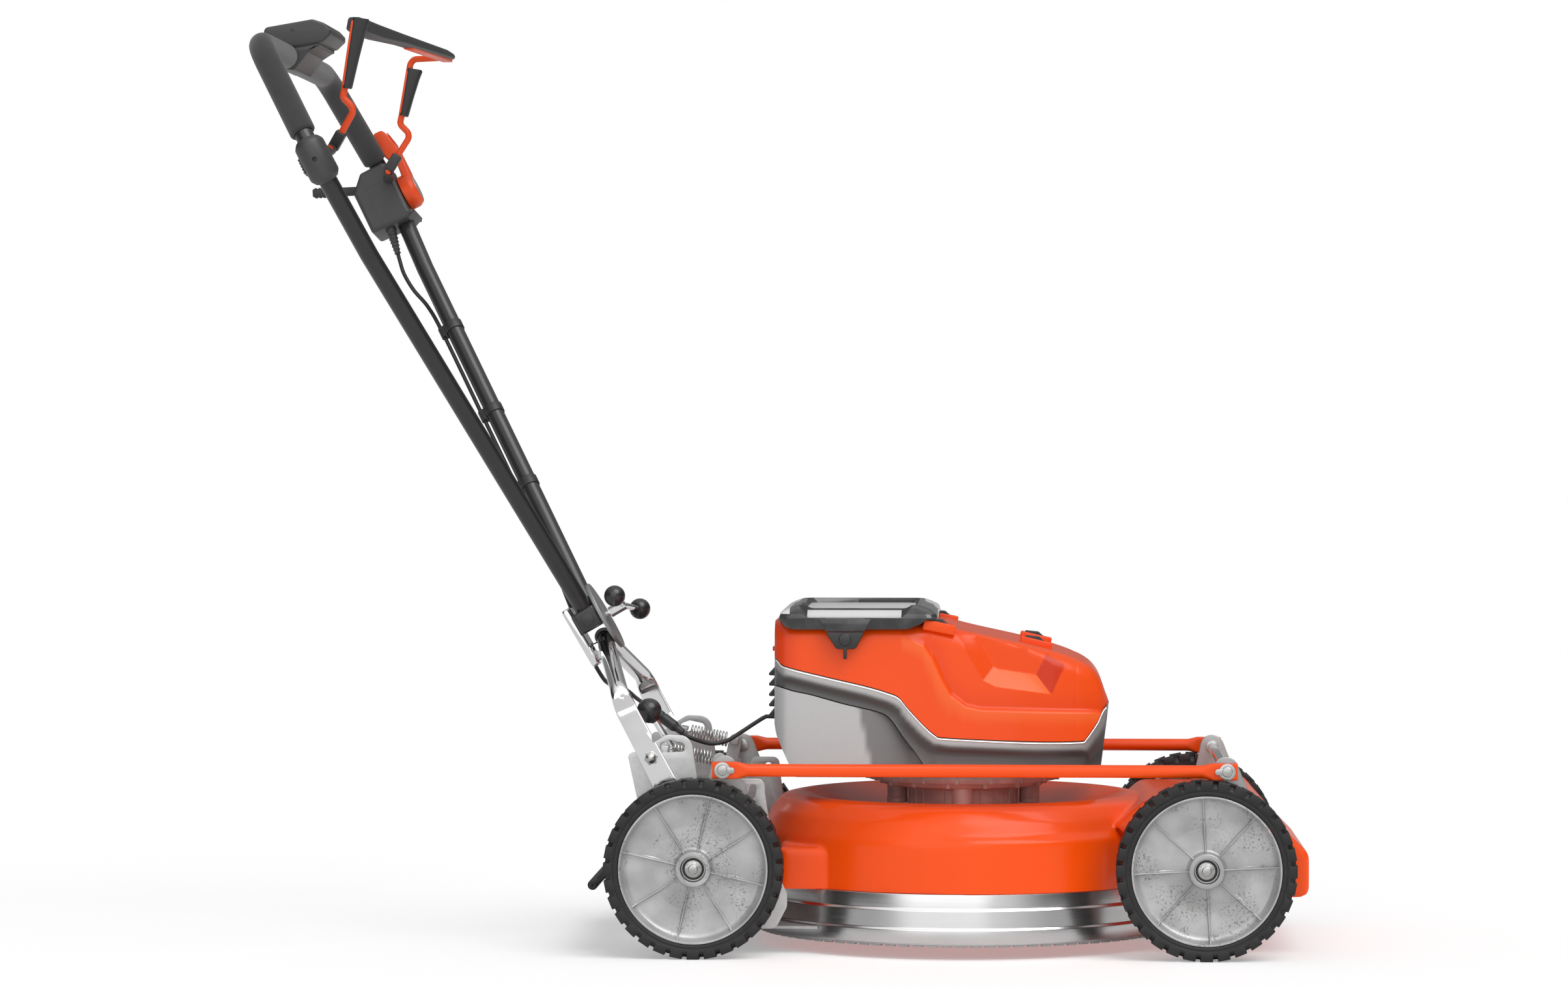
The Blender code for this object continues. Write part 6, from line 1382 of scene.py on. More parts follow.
POCKET_WALLS = (((0.2071, 0.3747), (0.2219, 0.3496), 0.019), ((0.2219, 0.3496), (0.2396, 0.3201), 0.019),
                ((0.2396, 0.3201), (0.2544, 0.3128), 0.020), ((0.2544, 0.3128), (0.3210, 0.3032), 0.021),
                ((0.3210, 0.3032), (0.3599, 0.3900), 0.027))
POCKET_BACK = 0.120
FEATURE = ((0.1391, 0.3733), (0.1687, 0.3615), (0.1804, 0.3437), (0.1909, 0.3201), (0.2012, 0.3024),
           (0.2190, 0.2891), (0.2367, 0.2852), (0.3697, 0.2811), (0.3870, 0.2790))


def pocket_walls(x, z):
    """How far a place on the hood's side has come down each wall of the hand recess."""
    out = []
    for start, end, width in POCKET_WALLS:
        dx = end[0] - start[0]
        dz = end[1] - start[1]
        out.append(((z - start[1]) * dx - (x - start[0]) * dz) / math.hypot(dx, dz) / width)
    return out


def pocket_depth(x, z):
    """How far towards its flat back the hand recess is at a place on the hood's side, 0 to 1."""
    return min(1.0, max(0.0, min(pocket_walls(x, z))))


def line_reach(x, z):
    """The distance above and ahead of the hood's feature line."""
    xs = [p[0] for p in FEATURE]
    zs = [p[1] for p in FEATURE]
    slope = (np.interp(x + 0.003, xs, zs) - np.interp(x - 0.003, xs, zs)) / 0.006
    return float(z - np.interp(x, xs, zs)) / math.hypot(1.0, slope)


def hood_painted_light(co):
    """Painted shade (deeper orange) on the recess's front wall and behind, painted highlight (lighter) on
    ledges and raised edges.
    """
    tint = 0.55 * eased(0.030 - co.x, 0.0, 0.030)
    if abs(co.y) < 0.060:
        return tint
    reach = line_reach(co.x, co.z)
    if co.x > 0.143:
        tint -= 0.40 * eased(reach, -0.020, -0.002) * (1.0 - eased(reach, -0.002, 0.002))
        tint += 0.22 * eased(reach, 0.000, 0.004) * (1.0 - eased(reach, 0.004, 0.030))
    walls = pocket_walls(co.x, co.z)
    least = min(walls)
    if least > 0.0:
        tint = 0.0
        if least < 0.97:
            tint = (0.12, 0.12, -0.50, -0.50, 0.85)[walls.index(least)]
        tint *= 1.0 - eased(co.z, 0.353 - 0.53 * (co.x - 0.306), 0.357 - 0.53 * (co.x - 0.306))
    return tint


def shoulder(x, z):
    """How far the hood's side is drawn in above and ahead of its feature line, from 0 to 1."""
    return eased(x, 0.143, 0.175) * eased(line_reach(x, z), -0.0020, 0.0050)


def housing_ring(x, drop, narrow, sculpted):
    """One section round the housing: rounded rectangle with leaning sides, evenly divided."""
    half = BODY_HALF + narrow
    top = BODY_TOP + drop
    corners = ((-half, BODY_BOTTOM, 0.014), (half, BODY_BOTTOM, 0.014),
               (half - HOUSING_LEAN, top, 0.024), (-half + HOUSING_LEAN, top, 0.024))
    arcs = rounded(corners, 0.0, 8)
    out = []
    count = len(arcs)
    for i, spot in enumerate(arcs):
        ahead = arcs[(i + 1) % count]
        steps = 1
        if i % 9 == 8:
            steps = (24, 150, 24, 150)[(i // 9) % 4] if sculpted else (24, 60, 24, 60)[(i // 9) % 4]
        for s in range(steps):
            out.append((spot[0] + (ahead[0] - spot[0]) * s / steps,
                        spot[1] + (ahead[1] - spot[1]) * s / steps))
    if not sculpted:
        return [(x, y, z) for y, z in out]
    shaped = []
    for y, z in out:
        side = math.copysign(1.0, y)
        if abs(y) > 0.060:
            drawn = abs(y) - 0.0050 * shoulder(x, z)
            drawn -= pocket_depth(x, z) * max(0.0, drawn - POCKET_BACK)
            y = side * drawn
        shaped.append((x, y, z))
    return shaped


def housing_solid(sculpted=False):
    xs = [s[0] for s in STATIONS]
    marks = sorted(set([0.0, 0.0006, 0.0012, 0.0025, 0.004, 0.006, 0.009, 0.012, 0.017]
                       + list(np.arange(0.022, 0.370, 0.0014 if sculpted else 0.006))
                       + list(np.arange(0.370, 0.3991, 0.0018)) + [HOUSING_RUN]))
    rows = []
    for at in marks:
        drop = np.interp(at, xs, [s[1] for s in STATIONS])
        narrow = np.interp(at, xs, [s[2] for s in STATIONS])
        if sculpted or at > 0.17:
            span = 0.016 if 0.19 < at < 0.36 else 0.006 if at > 0.3 else 0.002
            near = [at + span * k / 3.0 for k in range(-3, 4)]
            near = [min(HOUSING_RUN, max(0.0, n)) for n in near]
            drop = float(np.mean([np.interp(n, xs, [s[1] for s in STATIONS]) for n in near]))
            narrow = float(np.mean([np.interp(n, xs, [s[2] for s in STATIONS]) for n in near]))
        x = BODY_REAR + (BODY_FRONT - BODY_REAR) * at / HOUSING_RUN
        rows.append(housing_ring(x, drop, narrow, sculpted))
    return skin(rows)


SEAM_TOP = ((-0.030, 0.3500), (-0.0068, 0.3457), (0.0040, 0.3368), (0.0510, 0.3249), (0.1011, 0.3133),
            (0.1273, 0.3056), (0.1397, 0.3002), (0.1512, 0.2867), (0.1690, 0.2678), (0.1836, 0.2555),
            (0.1983, 0.2524), (0.3016, 0.2478), (0.3548, 0.2478), (0.3610, 0.2501), (0.3756, 0.2702),
            (0.3872, 0.2894), (0.4200, 0.3000))
SEAM_LOW = ((-0.030, 0.3150), (-0.0068, 0.3133), (0.0155, 0.3072), (0.0363, 0.3029), (0.0741, 0.2925),
            (0.1158, 0.2825), (0.1304, 0.2732), (0.1451, 0.2524), (0.1628, 0.2293), (0.1720, 0.2110),
            (0.1730, 0.1800))


def seam_line(points):
    flat = curved([(x, 0.0, z) for x, z in points], 0.004)
    return [(p[0], p[2]) for p in flat]


def kept(solid, outline):
    return common(solid, sheet((outline,), 0.5, upright(0.0)))


def bay_cut(low=0.262):
    return block((0.0115, -0.1167, low), (0.1725, 0.1167, 0.45))


def housing():
    """Orange hood, silver band and grey lower shell, parted along their real seams."""
    upper = seam_line(SEAM_TOP)
    lower = seam_line(SEAM_LOW)
    gap = 0.0005
    hood = kept(housing_solid(True), [(x, z + gap) for x, z in upper] + [(0.420, 0.45), (-0.030, 0.45)])
    hood = minus(hood, bay_cut())
    # Stores the hood's painted shade and painted highlight for its material.
    shade(hood.data, hood_painted_light)
    dress(hood, "hood_moulding", hood_orange(), "chassis", ("hood",), 40.0)
    hole = bar((DECK_X, 0.0, 0.15), (DECK_X, 0.0, 0.23), MOTOR_RADIUS, 96)
    band = kept(housing_solid(), [(x, z - gap) for x, z in upper if x < 0.3885]
                + [(0.3895, 0.2930), (0.3800, 0.2200), (0.3752, 0.18)]
                + list(reversed([(x + gap, z + gap) for x, z in lower])))
    band = minus(band, bay_cut(), hole)
    hollow_band(band.data)
    dress(band, "side_band_moulding", band_silver(), "chassis", ("side_band",), 40.0)
    hole = bar((DECK_X, 0.0, 0.15), (DECK_X, 0.0, 0.23), MOTOR_RADIUS, 96)
    rear = kept(housing_solid(), [(x - gap, z - gap) for x, z in lower]
                + [(0.0240, 0.18), (0.0175, 0.2048), (0.0040, 0.2330), (-0.0055, 0.2550),
                   (-0.0085, 0.2680), (-0.030, 0.2700)])
    rear = minus(rear, bay_cut(), hole)
    crease(rear.data)
    dress(rear, "lower_shell_moulding", shell_grey(), "chassis", ("lower_shell",), 40.0)
    # Thin bright beads below the seam stand in for the highlight on the band's bevelled upper edge.
    bead_line = [(x, z) for x, z in upper if BODY_REAR + 0.002 < x < BODY_FRONT - 0.004]
    for word, side in SIDES:
        points = [(x, side * (band_half(x) - lean_at(z - 0.0022) - 0.0004), z - 0.0022) for x, z in bead_line]
        dress(wire(points, 0.0010, 3), f"band_bright_edge_{word}", bright_edge(), "chassis")


def band_half(x):
    at = (x - BODY_REAR) / (BODY_FRONT - BODY_REAR) * HOUSING_RUN
    return BODY_HALF + float(np.interp(at, [s[0] for s in STATIONS], [s[2] for s in STATIONS]))


def lean_at(z):
    """How far the housing's leaning side has come in at a height."""
    return 0.012 * max(0.0, z - BODY_BOTTOM) / (BODY_TOP - BODY_BOTTOM)


def shade(mesh, amount):
    """Stores each point's painted shade on the housing's meshes, for its material; on the hood, values below
    0 are a painted highlight.
    """
    layer = mesh.attributes.new("under", "FLOAT", "POINT")
    layer.data.foreach_set("value", [amount(v.co) for v in mesh.vertices])


def hollow_band(mesh):
    """Draws the band's lower part in below its bright edge, and stores painted shade that darkens it."""
    xs = [p[0] for p in SEAM_TOP]
    zs = [p[1] for p in SEAM_TOP]

    def below(co):
        slope = (np.interp(co.x + 0.003, xs, zs) - np.interp(co.x - 0.003, xs, zs)) / 0.006
        return float(np.interp(co.x, xs, zs) - co.z) / math.hypot(1.0, slope)

    # Painted shade: darker from 6 mm below the bright edge, a little lighter again further down.
    shade(mesh, lambda co: eased(below(co), 0.0060, 0.0125) * (1.0 - 0.35 * eased(below(co), 0.020, 0.045)))
    for v in mesh.vertices:
        if abs(v.co.y) < 0.085 or v.co.x > BODY_FRONT - 0.004:
            continue
        v.co.y -= math.copysign(0.0035 * eased(below(v.co), 0.010, 0.020), v.co.y)


def crease(mesh):
    """Turns the lower shell inwards ahead of its slanted crease, and stores painted shade that darkens it
    there.
    """
    def past(co):
        return co.x - np.interp(co.z, (0.2048, 0.2880), (0.1085, 0.0905))

    # Painted shade: dark just ahead of the crease, a little more further forwards.
    shade(mesh, lambda co: 0.85 * eased(past(co), -0.001, 0.004) + 0.15 * eased(past(co), 0.01, 0.06))
    for v in mesh.vertices:
        if abs(v.co.y) > 0.085:
            v.co.y -= math.copysign(max(0.0, min(0.30 * past(v.co), 0.016)), v.co.y)


def louvres():
    """Black louvres on their backing strip, and the red tab above them."""
    half = 0.075
    back = BODY_REAR - 0.0003
    strip = block((back - 0.0022, -half, 0.2698), (back, half, 0.3330), 0.0008)
    outline = rounded(((0.0, 0.0034, 0.0), (0.0, -0.0050, 0.0), (-0.0080, -0.0048, 0.0012),
                       (-0.0084, -0.0020, 0.001)),
                      0.0, 4)
    blade = sheet((outline,), 2.0 * half - 0.004, upright(0.0), 0.0006)
    count = sizes().louvres
    place = Matrix.Translation((back - 0.0006, 0.0, 0.3272))
    blades = copies(blade, count, place, black_plastic(), step=(0.0, 0.0, -0.0124 * 4.0 / max(1, count - 1)))
    dress(together(strip, blades), "rear_louvres", black_plastic(), "chassis", ("rear_grille",))
    tab = block((BODY_REAR - 0.0046, -0.0750, 0.3520), (BODY_REAR + 0.006, -0.0600, 0.3572), 0.0008)
    dress(tab, "rear_red_tab", red_plastic(), "chassis")


def fins():
    """Black wedges that stand in orange pockets on the hood's top, in two pairs."""
    pairs = ((0.188, 0.128, 0.3868), (0.303, 0.068, 0.3640))
    for index, (x, y, z) in enumerate(pairs):
        slope = -0.235 if index else -0.20
        for word, side in SIDES:
            place = axes((x, side * y, z), (1.0, 0.0, slope), (-slope, 0.0, 1.0))
            pocket = block((-0.019, -0.0075, -0.010), (0.020, 0.0075, 0.0024), 0.0016, place)
            groove = block((-0.016, -0.0048, 0.0004), (0.017, 0.0048, 0.01), 0.0, place)
            name = ("rear", "front")[index]
            dress(minus(pocket, groove), f"fin_pocket_{name}_{word}", hood_orange(), "chassis")
            flat = ((-0.0150, -0.001), (-0.0135, 0.0042), (0.0020, 0.0062), (0.0150, -0.001))
            lying = place @ Matrix.Rotation(math.pi / 2.0, 4, "X")
            fin = sheet((rounded(flat, 0.0008, 3),), 0.0084, lying, 0.0009)
            dress(fin, f"fin_{name}_{word}", black_plastic(), "chassis")


class MOWER_OT_housing(bpy.types.Operator):
    """Hood, silver band, lower shell, louvres and fins"""
    bl_idname = "mower.housing"
    bl_label = "Power unit housing"

    def execute(self, context):
        housing()
        louvres()
        fins()
        recoat("battery_bay", black_plastic())
        recoat("controller", motor_casting())
        for word, _ in SIDES:
            recoat(f"battery_{word}", black_plastic())
        return {"FINISHED"}


# Lid and latch

def lid_ring(grow, z, points=10):
    corners = ((-0.0035 - grow, -0.140 - grow, 0.014), (0.1860 + grow, -0.140 - grow, 0.014),
               (0.1860 + grow, 0.140 + grow, 0.014), (-0.0035 - grow, 0.140 + grow, 0.014))
    return [(x, y, z) for x, y in rounded(corners, 0.0, points)]


def lid():
    """Smoked bezel, scooped low on its right side, round a sunk white panel; ear over the latch."""
    base = 0.3924
    floor = 0.4012
    dip = 0.3944
    plan = ((base, -0.0002), (base + 0.0020, -0.0002), (base + 0.0062, -0.0020), (base + 0.0118, -0.0090),
            (base + 0.0140, -0.0150), (0.4088, -0.0205))
    frame_solid = skin([lid_ring(grow, z) for z, grow in plan])
    dish = skin([[(x, y, z) for x, y, _ in lid_ring(-grow, 0.0)]
                 for z, grow in ((floor, 0.0300), (0.4040, 0.0275), (0.4150, 0.0215))])
    scoop = sheet((rounded(((0.0130, 0.4200, 0.0), (0.0290, dip, 0.010), (0.1440, dip, 0.010),
                            (0.1660, 0.4200, 0.0)), 0.0, 6),), 0.080, upright(-0.1530))
    over_packs = block((0.0205, -0.1095, 0.3700), (0.1635, 0.1095, 0.4004))
    frame_solid = minus(frame_solid, dish, scoop, over_packs)
    apron_line = rounded(((-0.0028, 0.3936, 0.0), (0.0058, 0.3822, 0.006), (0.0170, 0.3800, 0.006),
                          (0.1500, 0.3804, 0.006), (0.1652, 0.3868, 0.008), (0.1750, 0.3938, 0.0)), 0.0, 6)
    low_ring = [(x, -0.1412, z) for x, z in apron_line]
    high_ring = [(x, -0.1446, z + (0.3938 - z) * 0.06) for x, z in apron_line]
    inner_ring = [(x, -0.1392, z) for x, z in apron_line]
    apron = skin([inner_ring, low_ring, high_ring])
    half = 0.023
    ear = rounded(((0.0764 - half - 0.0080, 0.3935, 0.0), (0.0764 - half, 0.3786, 0.001),
                   (0.0764 + half, 0.3786, 0.001), (0.0764 + half + 0.0080, 0.3935, 0.0)), 0.0, 4)
    flap = sheet((ear,), 0.0046, upright(-0.1528), 0.0008)
    bridge = block((0.0764 - half, -0.1549, 0.3900), (0.0764 + half, -0.139, 0.3937), 0.0008)
    dress(together(frame_solid, apron, flap, bridge), "lid_bezel", smoked_plastic(), "lid", ("lid_frame",),
          24.0)
    plan = ((floor + 0.0003, 0.0306), (floor + 0.0016, 0.0300), (floor + 0.0020, 0.0312))
    panel = skin([[(x, y, z) for x, y, _ in lid_ring(-grow, 0.0)] for z, grow in plan])
    slope = skin([[(x, -0.1122, floor + 0.0002), (x, -0.1122, floor + 0.0018), (x, -0.1280, dip + 0.0024),
                   (x, -0.1280, dip + 0.0003)] for x in (0.0305, 0.1425)])
    panel = together(panel, slope)
    dress(panel, "lid_white_panel", white_plastic(), "lid", ("lid_panel",))
    strip = block((0.0310, -0.1370, dip - 0.0002), (0.1420, -0.1284, dip + 0.0007), 0.0003, None, 2)
    cap_plan = ((0.3988, -0.0012), (0.4020, -0.0040), (0.4060, -0.0120), (0.4078, -0.0170), (0.4082, -0.0230))
    cap = skin([lid_ring(grow, z) for z, grow in cap_plan])
    well = skin([[(x, y, z) for x, y, _ in lid_ring(-grow, 0.0)]
                 for z, grow in ((0.3960, 0.0240), (0.4200, 0.0235))])
    near = block((0.0100, -0.20, 0.38), (0.25, 0.060, 0.43))
    cap = minus(cap, well, near)
    rims = [strip, cap]
    # Painted shadow: a dark strip inside the dish's far side, where there is only shade.
    shadow = block((0.0850, 0.1100, floor + 0.0005), (0.1520, 0.1120, 0.4072), 0.0006, None, 1)
    dress(shadow, "lid_far_strip", polished_black(), "lid")
    dress(together(*rims), "lid_white_rim", white_plastic(), "lid")


def latch():
    """Black tapered thumb latch with a domed round knob and a pull strap."""
    x = LATCH_X
    top = 0.3780
    front = -0.1503
    outline = rounded(((x - 0.0230, top, 0.0008), (x - 0.0104, top - 0.0200, 0.006),
                       (x + 0.0126, top - 0.0200, 0.006),
                       (x + 0.0230, top, 0.0008)), 0.0, 8)
    shield = sheet((outline,), 0.0046, upright(front - 0.0025), 0.0009)
    knob = turned(rounded(((0.0, 0.1570, 0.0), (0.0070, 0.1567, 0.0012),
                           (0.0076, 0.1545, 0.0), (0.0076, 0.1512, 0.0),
                           (0.0, 0.1512, 0.0)), 0.0, 4),
                  (x, 0.0, top - 0.0090), (0.0, -1.0, 0.0), 48, whole=True)
    strap = block((x - 0.0021, front - 0.0050, top - 0.0318),
                  (x + 0.0021, front - 0.0012, top - 0.0175), 0.0006)
    dress(together(shield, strap), "lid_latch_moulded", black_plastic(), "latch", ("lid_latch",))
    dress(knob, "lid_latch_knob", polished_black(), "latch")


class MOWER_OT_lid(bpy.types.Operator):
    """Lid with its smoked bezel and white panel, and its latch"""
    bl_idname = "mower.lid"
    bl_label = "Lid and latch"

    def execute(self, context):
        lid()
        latch()
        return {"FINISHED"}


# Folding frame and joint

TUBE_LEAN = math.radians(30.2)
JOINT = Vector((-0.2210, 0.0, 0.3910))
HEAD_BACK = 0.0292 + 0.0025
LEG_Y = 0.1898 + 0.0015
LEG_RADIUS = 0.0105
SCREW_RADIUS = 0.004


def joint_normal():
    """Direction of the joint's screw, forwards and up."""
    return Vector((math.cos(TUBE_LEAN), 0.0, math.sin(TUBE_LEAN)))


def joint_place():
    """A frame on the joint: local X up the handle, local Z along the screw."""
    up = Vector((-math.sin(TUBE_LEAN), 0.0, math.cos(TUBE_LEAN)))
    return axes(JOINT, up, joint_normal())


def leg_ring(centre, along, across, half_wide, half_thick, power):
    """A ring of a leg at right angles to its line, from round to pressed flat."""
    thin = along.cross(across).normalized()
    wide = thin.cross(along).normalized()
    return [tuple(centre + wide * u + thin * v) for u, v in soft_square(half_wide, half_thick, power, 40)]


def leg(side):
    """One leg: round tube out of the apex, bent down, crimped, pressed flat to its foot, slotted."""
    apex = joint_place() @ Vector((-0.0205, 0.0, -0.0140))
    crimp = Vector((-0.1880, side * (LEG_Y - 0.002), 0.3070))
    knee = Vector((-0.1790, side * LEG_Y, 0.2850))
    foot = Vector((-0.1209, side * LEG_Y, 0.1756))
    down = (foot - knee).normalized()
    line = bent((tuple(apex - Vector((0.0, side * 0.008, 0.0))), tuple(crimp), tuple(knee),
                 tuple(foot)), (0.024, 0.030), 14)
    across = Vector((-down.z, 0.0, down.x))
    points = [Vector(p) for p in along_line(line, 0.0, line_length(line), 0.004)]
    rings = []
    for i, here in enumerate(points):
        way = (points[min(i + 1, len(points) - 1)] - points[max(i - 1, 0)]).normalized()
        press = eased(crimp.z - here.z, -0.004, 0.017)
        wide = LEG_RADIUS + (0.01275 - LEG_RADIUS) * press + 0.00175 * eased(knee.z - here.z, 0.0, 0.100)
        thin = LEG_RADIUS + (0.0015 - LEG_RADIUS) * press
        rings.append(leg_ring(here, way, across, wide, thin, 2.0 + 7.0 * press))
    for k in range(1, 9):
        angle = math.pi / 2.0 * k / 9.0
        rings.append(leg_ring(foot + down * 0.0145 * math.sin(angle), down, across,
                              0.0145 * math.cos(angle), 0.0015, 9.0))
    made = skin(rings)
    x, z = CAP_NUT
    slot = sheet((slab((x + 0.004, z + 0.0200), (x - 0.0035, z + 0.0290), 0.0021),), 0.02,
                 upright(side * LEG_Y))
    dent = orb((-0.1842, side * (LEG_Y + 0.0115), 0.3030), 0.0085, 24)
    return minus(made, slot, dent)


def fold_bolt(side):
    inner = 0.1865 - 0.0003
    outer = LEG_Y + 0.0015
    x, z = FOLD_BOLT
    shank = bar((x, side * (inner - 0.003), z), (x, side * (outer + 0.001), z), 0.0045, 32)
    nut = hex_nut(x, z, side, inner - 0.0030, inner, 0.0078)
    washer = bar((x, side * (outer - 0.0002), z), (x, side * (outer + 0.0010), z), 0.0080, 40, edge=0.0003)
    head = turned(rounded(((0.0, outer + 0.0030, 0.0), (0.0040, outer + 0.0030, 0.003),
                           (0.0068, outer + 0.0010, 0.001),
                           (0.0, outer + 0.0010, 0.0)), 0.0, 4),
                  (x, 0.0, z), (0.0, side, 0.0), 40, whole=True)
    return together(shank, nut, washer, head)


def dome_nut(side):
    """Cap nut: chamfered hexagon under a dome."""
    x, z = CAP_NUT
    face = LEG_Y + 0.0015
    hexagon = hex_nut(x, z, side, face - 0.0002, face + 0.0040, 0.0084)
    profile = [(0.0066 * math.cos(math.pi / 2.0 * k / 9),
                face + 0.0030 + 0.0052 * math.sin(math.pi / 2.0 * k / 9))
               for k in range(10)]
    profile[-1] = (0.0, profile[-1][1])
    dome = turned([(0.0, face + 0.0010), (0.0066, face + 0.0010)] + profile, (x, 0.0, z),
                  (0.0, side, 0.0), 40,
                  whole=True)
    return together(hexagon, dome)


def a_frame():
    """Chrome legs welded to a channel behind the joint, with their bolts and cap nuts."""
    place = joint_place()
    back = -HEAD_BACK - 0.0100
    outer = block((-0.048, -0.030, back), (0.030, 0.030, -HEAD_BACK), 0.0035, place, 4)
    groove = block((-0.060, -0.0268, back + 0.0032), (-0.0205, 0.0268, -HEAD_BACK + 0.01), 0.0012, place, 2)
    head = minus(outer, groove)
    stud = bar(JOINT - joint_normal() * (HEAD_BACK + 0.005),
               JOINT + joint_normal() * 0.0145, SCREW_RADIUS, 32)
    spine = block((-0.044, -0.008, back + 0.001), (-0.0225, 0.008, -0.0165), 0.002, place)
    parts = [head, spine, stud]
    for _, side in SIDES:
        parts.append(leg(side))
    dress(together(*parts), "folding_frame_plated", chrome(), "fold_frame", ("a_frame",), 38.0)
    bolts = []
    for _, side in SIDES:
        bolts += [fold_bolt(side), dome_nut(side)]
    dress(together(*bolts), "folding_frame_bolts", bolt_zinc(), "fold_frame")


def swivel_disc():
    profile = rounded(((0.0043, -0.0025, 0.0003), (0.0440, -0.0025, 0.0008), (0.0440, 0.0025, 0.0012),
                       (0.0400, 0.0025, 0.0004), (0.0392, 0.0020, 0.0004), (0.0160, 0.0020, 0.0004),
                       (0.0152, 0.0025, 0.0004), (0.0043, 0.0025, 0.0003)), 0.0, 3)
    made = turned(profile, JOINT, joint_normal(), 128)
    dress(made, "swivel_disc_turned", disc_grey(), "fold_frame", ("swivel_disc",))


def cupped_ball(centre, out):
    """A ball end whose mouth, on the bar's side, is a raised cup."""
    radius = 0.0128
    profile = [(radius * math.sin(math.pi * k / 32), radius * math.cos(math.pi * k / 32)) for k in range(27)]
    profile[0] = (0.0, radius)
    edge = profile[-1]
    profile += [(edge[0], edge[1] - 0.0006), (edge[0] - 0.0012, edge[1] - 0.0010), (0.0040, edge[1] + 0.0006),
                (0.0, edge[1] + 0.0006)]
    return turned(profile, centre, out, 48, whole=True)


def tension_knob():
    """The clamping nut with its washers and hexagon sleeve, and the T bar's two ball ends."""
    normal = joint_normal()
    place = joint_place()
    front = 0.0028
    washers = [bar(JOINT + normal * (front + a), JOINT + normal * (front + b), r, 48, edge=0.0004)
               for a, b, r in ((0.0, 0.0016, 0.0135), (0.0016, 0.0034, 0.0108), (0.0034, 0.0050, 0.0090))]
    sleeve = skin([[tuple(place @ Vector((r * math.cos(math.pi / 3.0 * k),
                                          r * math.sin(math.pi / 3.0 * k), h)))
                    for k in range(6)] for h, r in ((front + 0.0045, 0.0066), (front + 0.0250, 0.0066),
                                                    (front + 0.0262, 0.0054))])
    hub = JOINT + normal * (front + 0.022)
    tilt = math.radians(-18.0)
    up = Vector((-math.sin(TUBE_LEAN), 0.0, math.cos(TUBE_LEAN)))
    way = Vector((0.0, 1.0, 0.0)) * math.cos(tilt) + up * math.sin(tilt)
    ends = [hub - way * 0.046 + normal * 0.0012, hub + way * 0.046 + normal * 0.0125]
    arm = wire(bent((tuple(ends[0]), tuple(hub), tuple(ends[1])), (0.02,), 12), 0.0038, 7)
    thread = bar(JOINT, JOINT + normal * 0.0148, SCREW_RADIUS + 0.0005, 32)
    nut = minus(together(*washers, sleeve), thread)
    dress(together(nut, arm), "clamping_nut_and_bar", chrome(), "knob", ("tension_knob",))
    balls = [cupped_ball(spot, (spot - hub).normalized()) for spot in ends]
    dress(together(*balls), "clamping_bar_balls", polished_black(), "knob")


class MOWER_OT_folding_frame(bpy.types.Operator):
    """Chrome folding frame, swivel disc and clamping knob"""
    bl_idname = "mower.folding_frame"
    bl_label = "Folding frame and joint"

    def execute(self, context):
        a_frame()
        swivel_disc()
        tension_knob()
        return {"FINISHED"}


# Handle

TUBE_FOOT = (-0.2422, -0.0291, 0.3972)
TUBE_KNEE = (-0.4730, -0.2769, 0.8212)
TUBE_COLLAR = (-0.5258, -0.3380, 0.9284)
TUBE_CORNER = (-0.6010, -0.2780, 1.0663)


def mirrored(point):
    return (point[0], -point[1], point[2])


def handle_line():
    """The tube's whole centre line, right foot to left foot."""
    right = [TUBE_FOOT, TUBE_KNEE, TUBE_COLLAR, TUBE_CORNER]
    bends = [0.250, 0.085, 0.045]
    return bent(right + [mirrored(p) for p in reversed(right)], bends + list(reversed(bends)), 18)


def along_line(line, start, end, spacing=0.004):
    """Even points of a line between two distances along it."""
    pts = np.array(line, float)
    run = np.concatenate([[0.0], np.cumsum(np.linalg.norm(np.diff(pts, axis=0), axis=1))])
    marks = np.linspace(start, end, max(2, int(round((end - start) / spacing)) + 1))
    return [tuple(np.interp(m, run, pts[:, k]) for k in range(3)) for m in marks]


def line_length(line):
    pts = np.array(line, float)
    return float(np.linalg.norm(np.diff(pts, axis=0), axis=1).sum())


def to_collar():
    """Distance along the centre line from its foot to the middle of the collar's bend."""
    pts = along_line(handle_line(), 0.0, line_length(handle_line()) / 2.0, 0.002)
    best = min(range(len(pts)), key=lambda i: (Vector(pts[i]) - Vector(TUBE_COLLAR)).length)
    return best * line_length(handle_line()) / 2.0 / (len(pts) - 1)


def handle_tube():
    """One bent tube, its feet welded to the knuckle that turns on the joint's screw."""
    radius = sizes().tube_radius
    tube = wire(handle_line(), radius, 9)
    place = joint_place()
    knuckle = block((-0.0075, -0.045, -HEAD_BACK + 0.0003), (0.0195, 0.045, -0.0028), 0.0035, place, 4)
    hole = bar(JOINT - joint_normal() * 0.06, JOINT + joint_normal() * 0.02, SCREW_RADIUS + 0.0005, 32)
    made = minus(knuckle, hole)
    dress(together(tube, made), "handle_tube_painted", tube_paint(), "handle",
          ("handle_tube",), 34.0)
    bolts = []
    for side in (-1.0, 1.0):
        base = place @ Vector((0.0060, side * 0.0452, -0.0165))
        bolts.append(bar(base - Vector((0.0, side * 0.002, 0.0)),
                         base + Vector((0.0, side * 0.0010, 0.0)), 0.0075, 40,
                         edge=0.0003))
        hexagon = skin([[(base.x + r * math.cos(math.pi / 3.0 * k), base.y + side * h,
                          base.z + r * math.sin(math.pi / 3.0 * k)) for k in range(6)]
                        for h, r in ((0.0008, 0.0060), (0.0042, 0.0060), (0.0050, 0.0050))])
        bolts.append(hexagon)
    dress(together(*bolts), "knuckle_bolts", polished_black(), "handle")


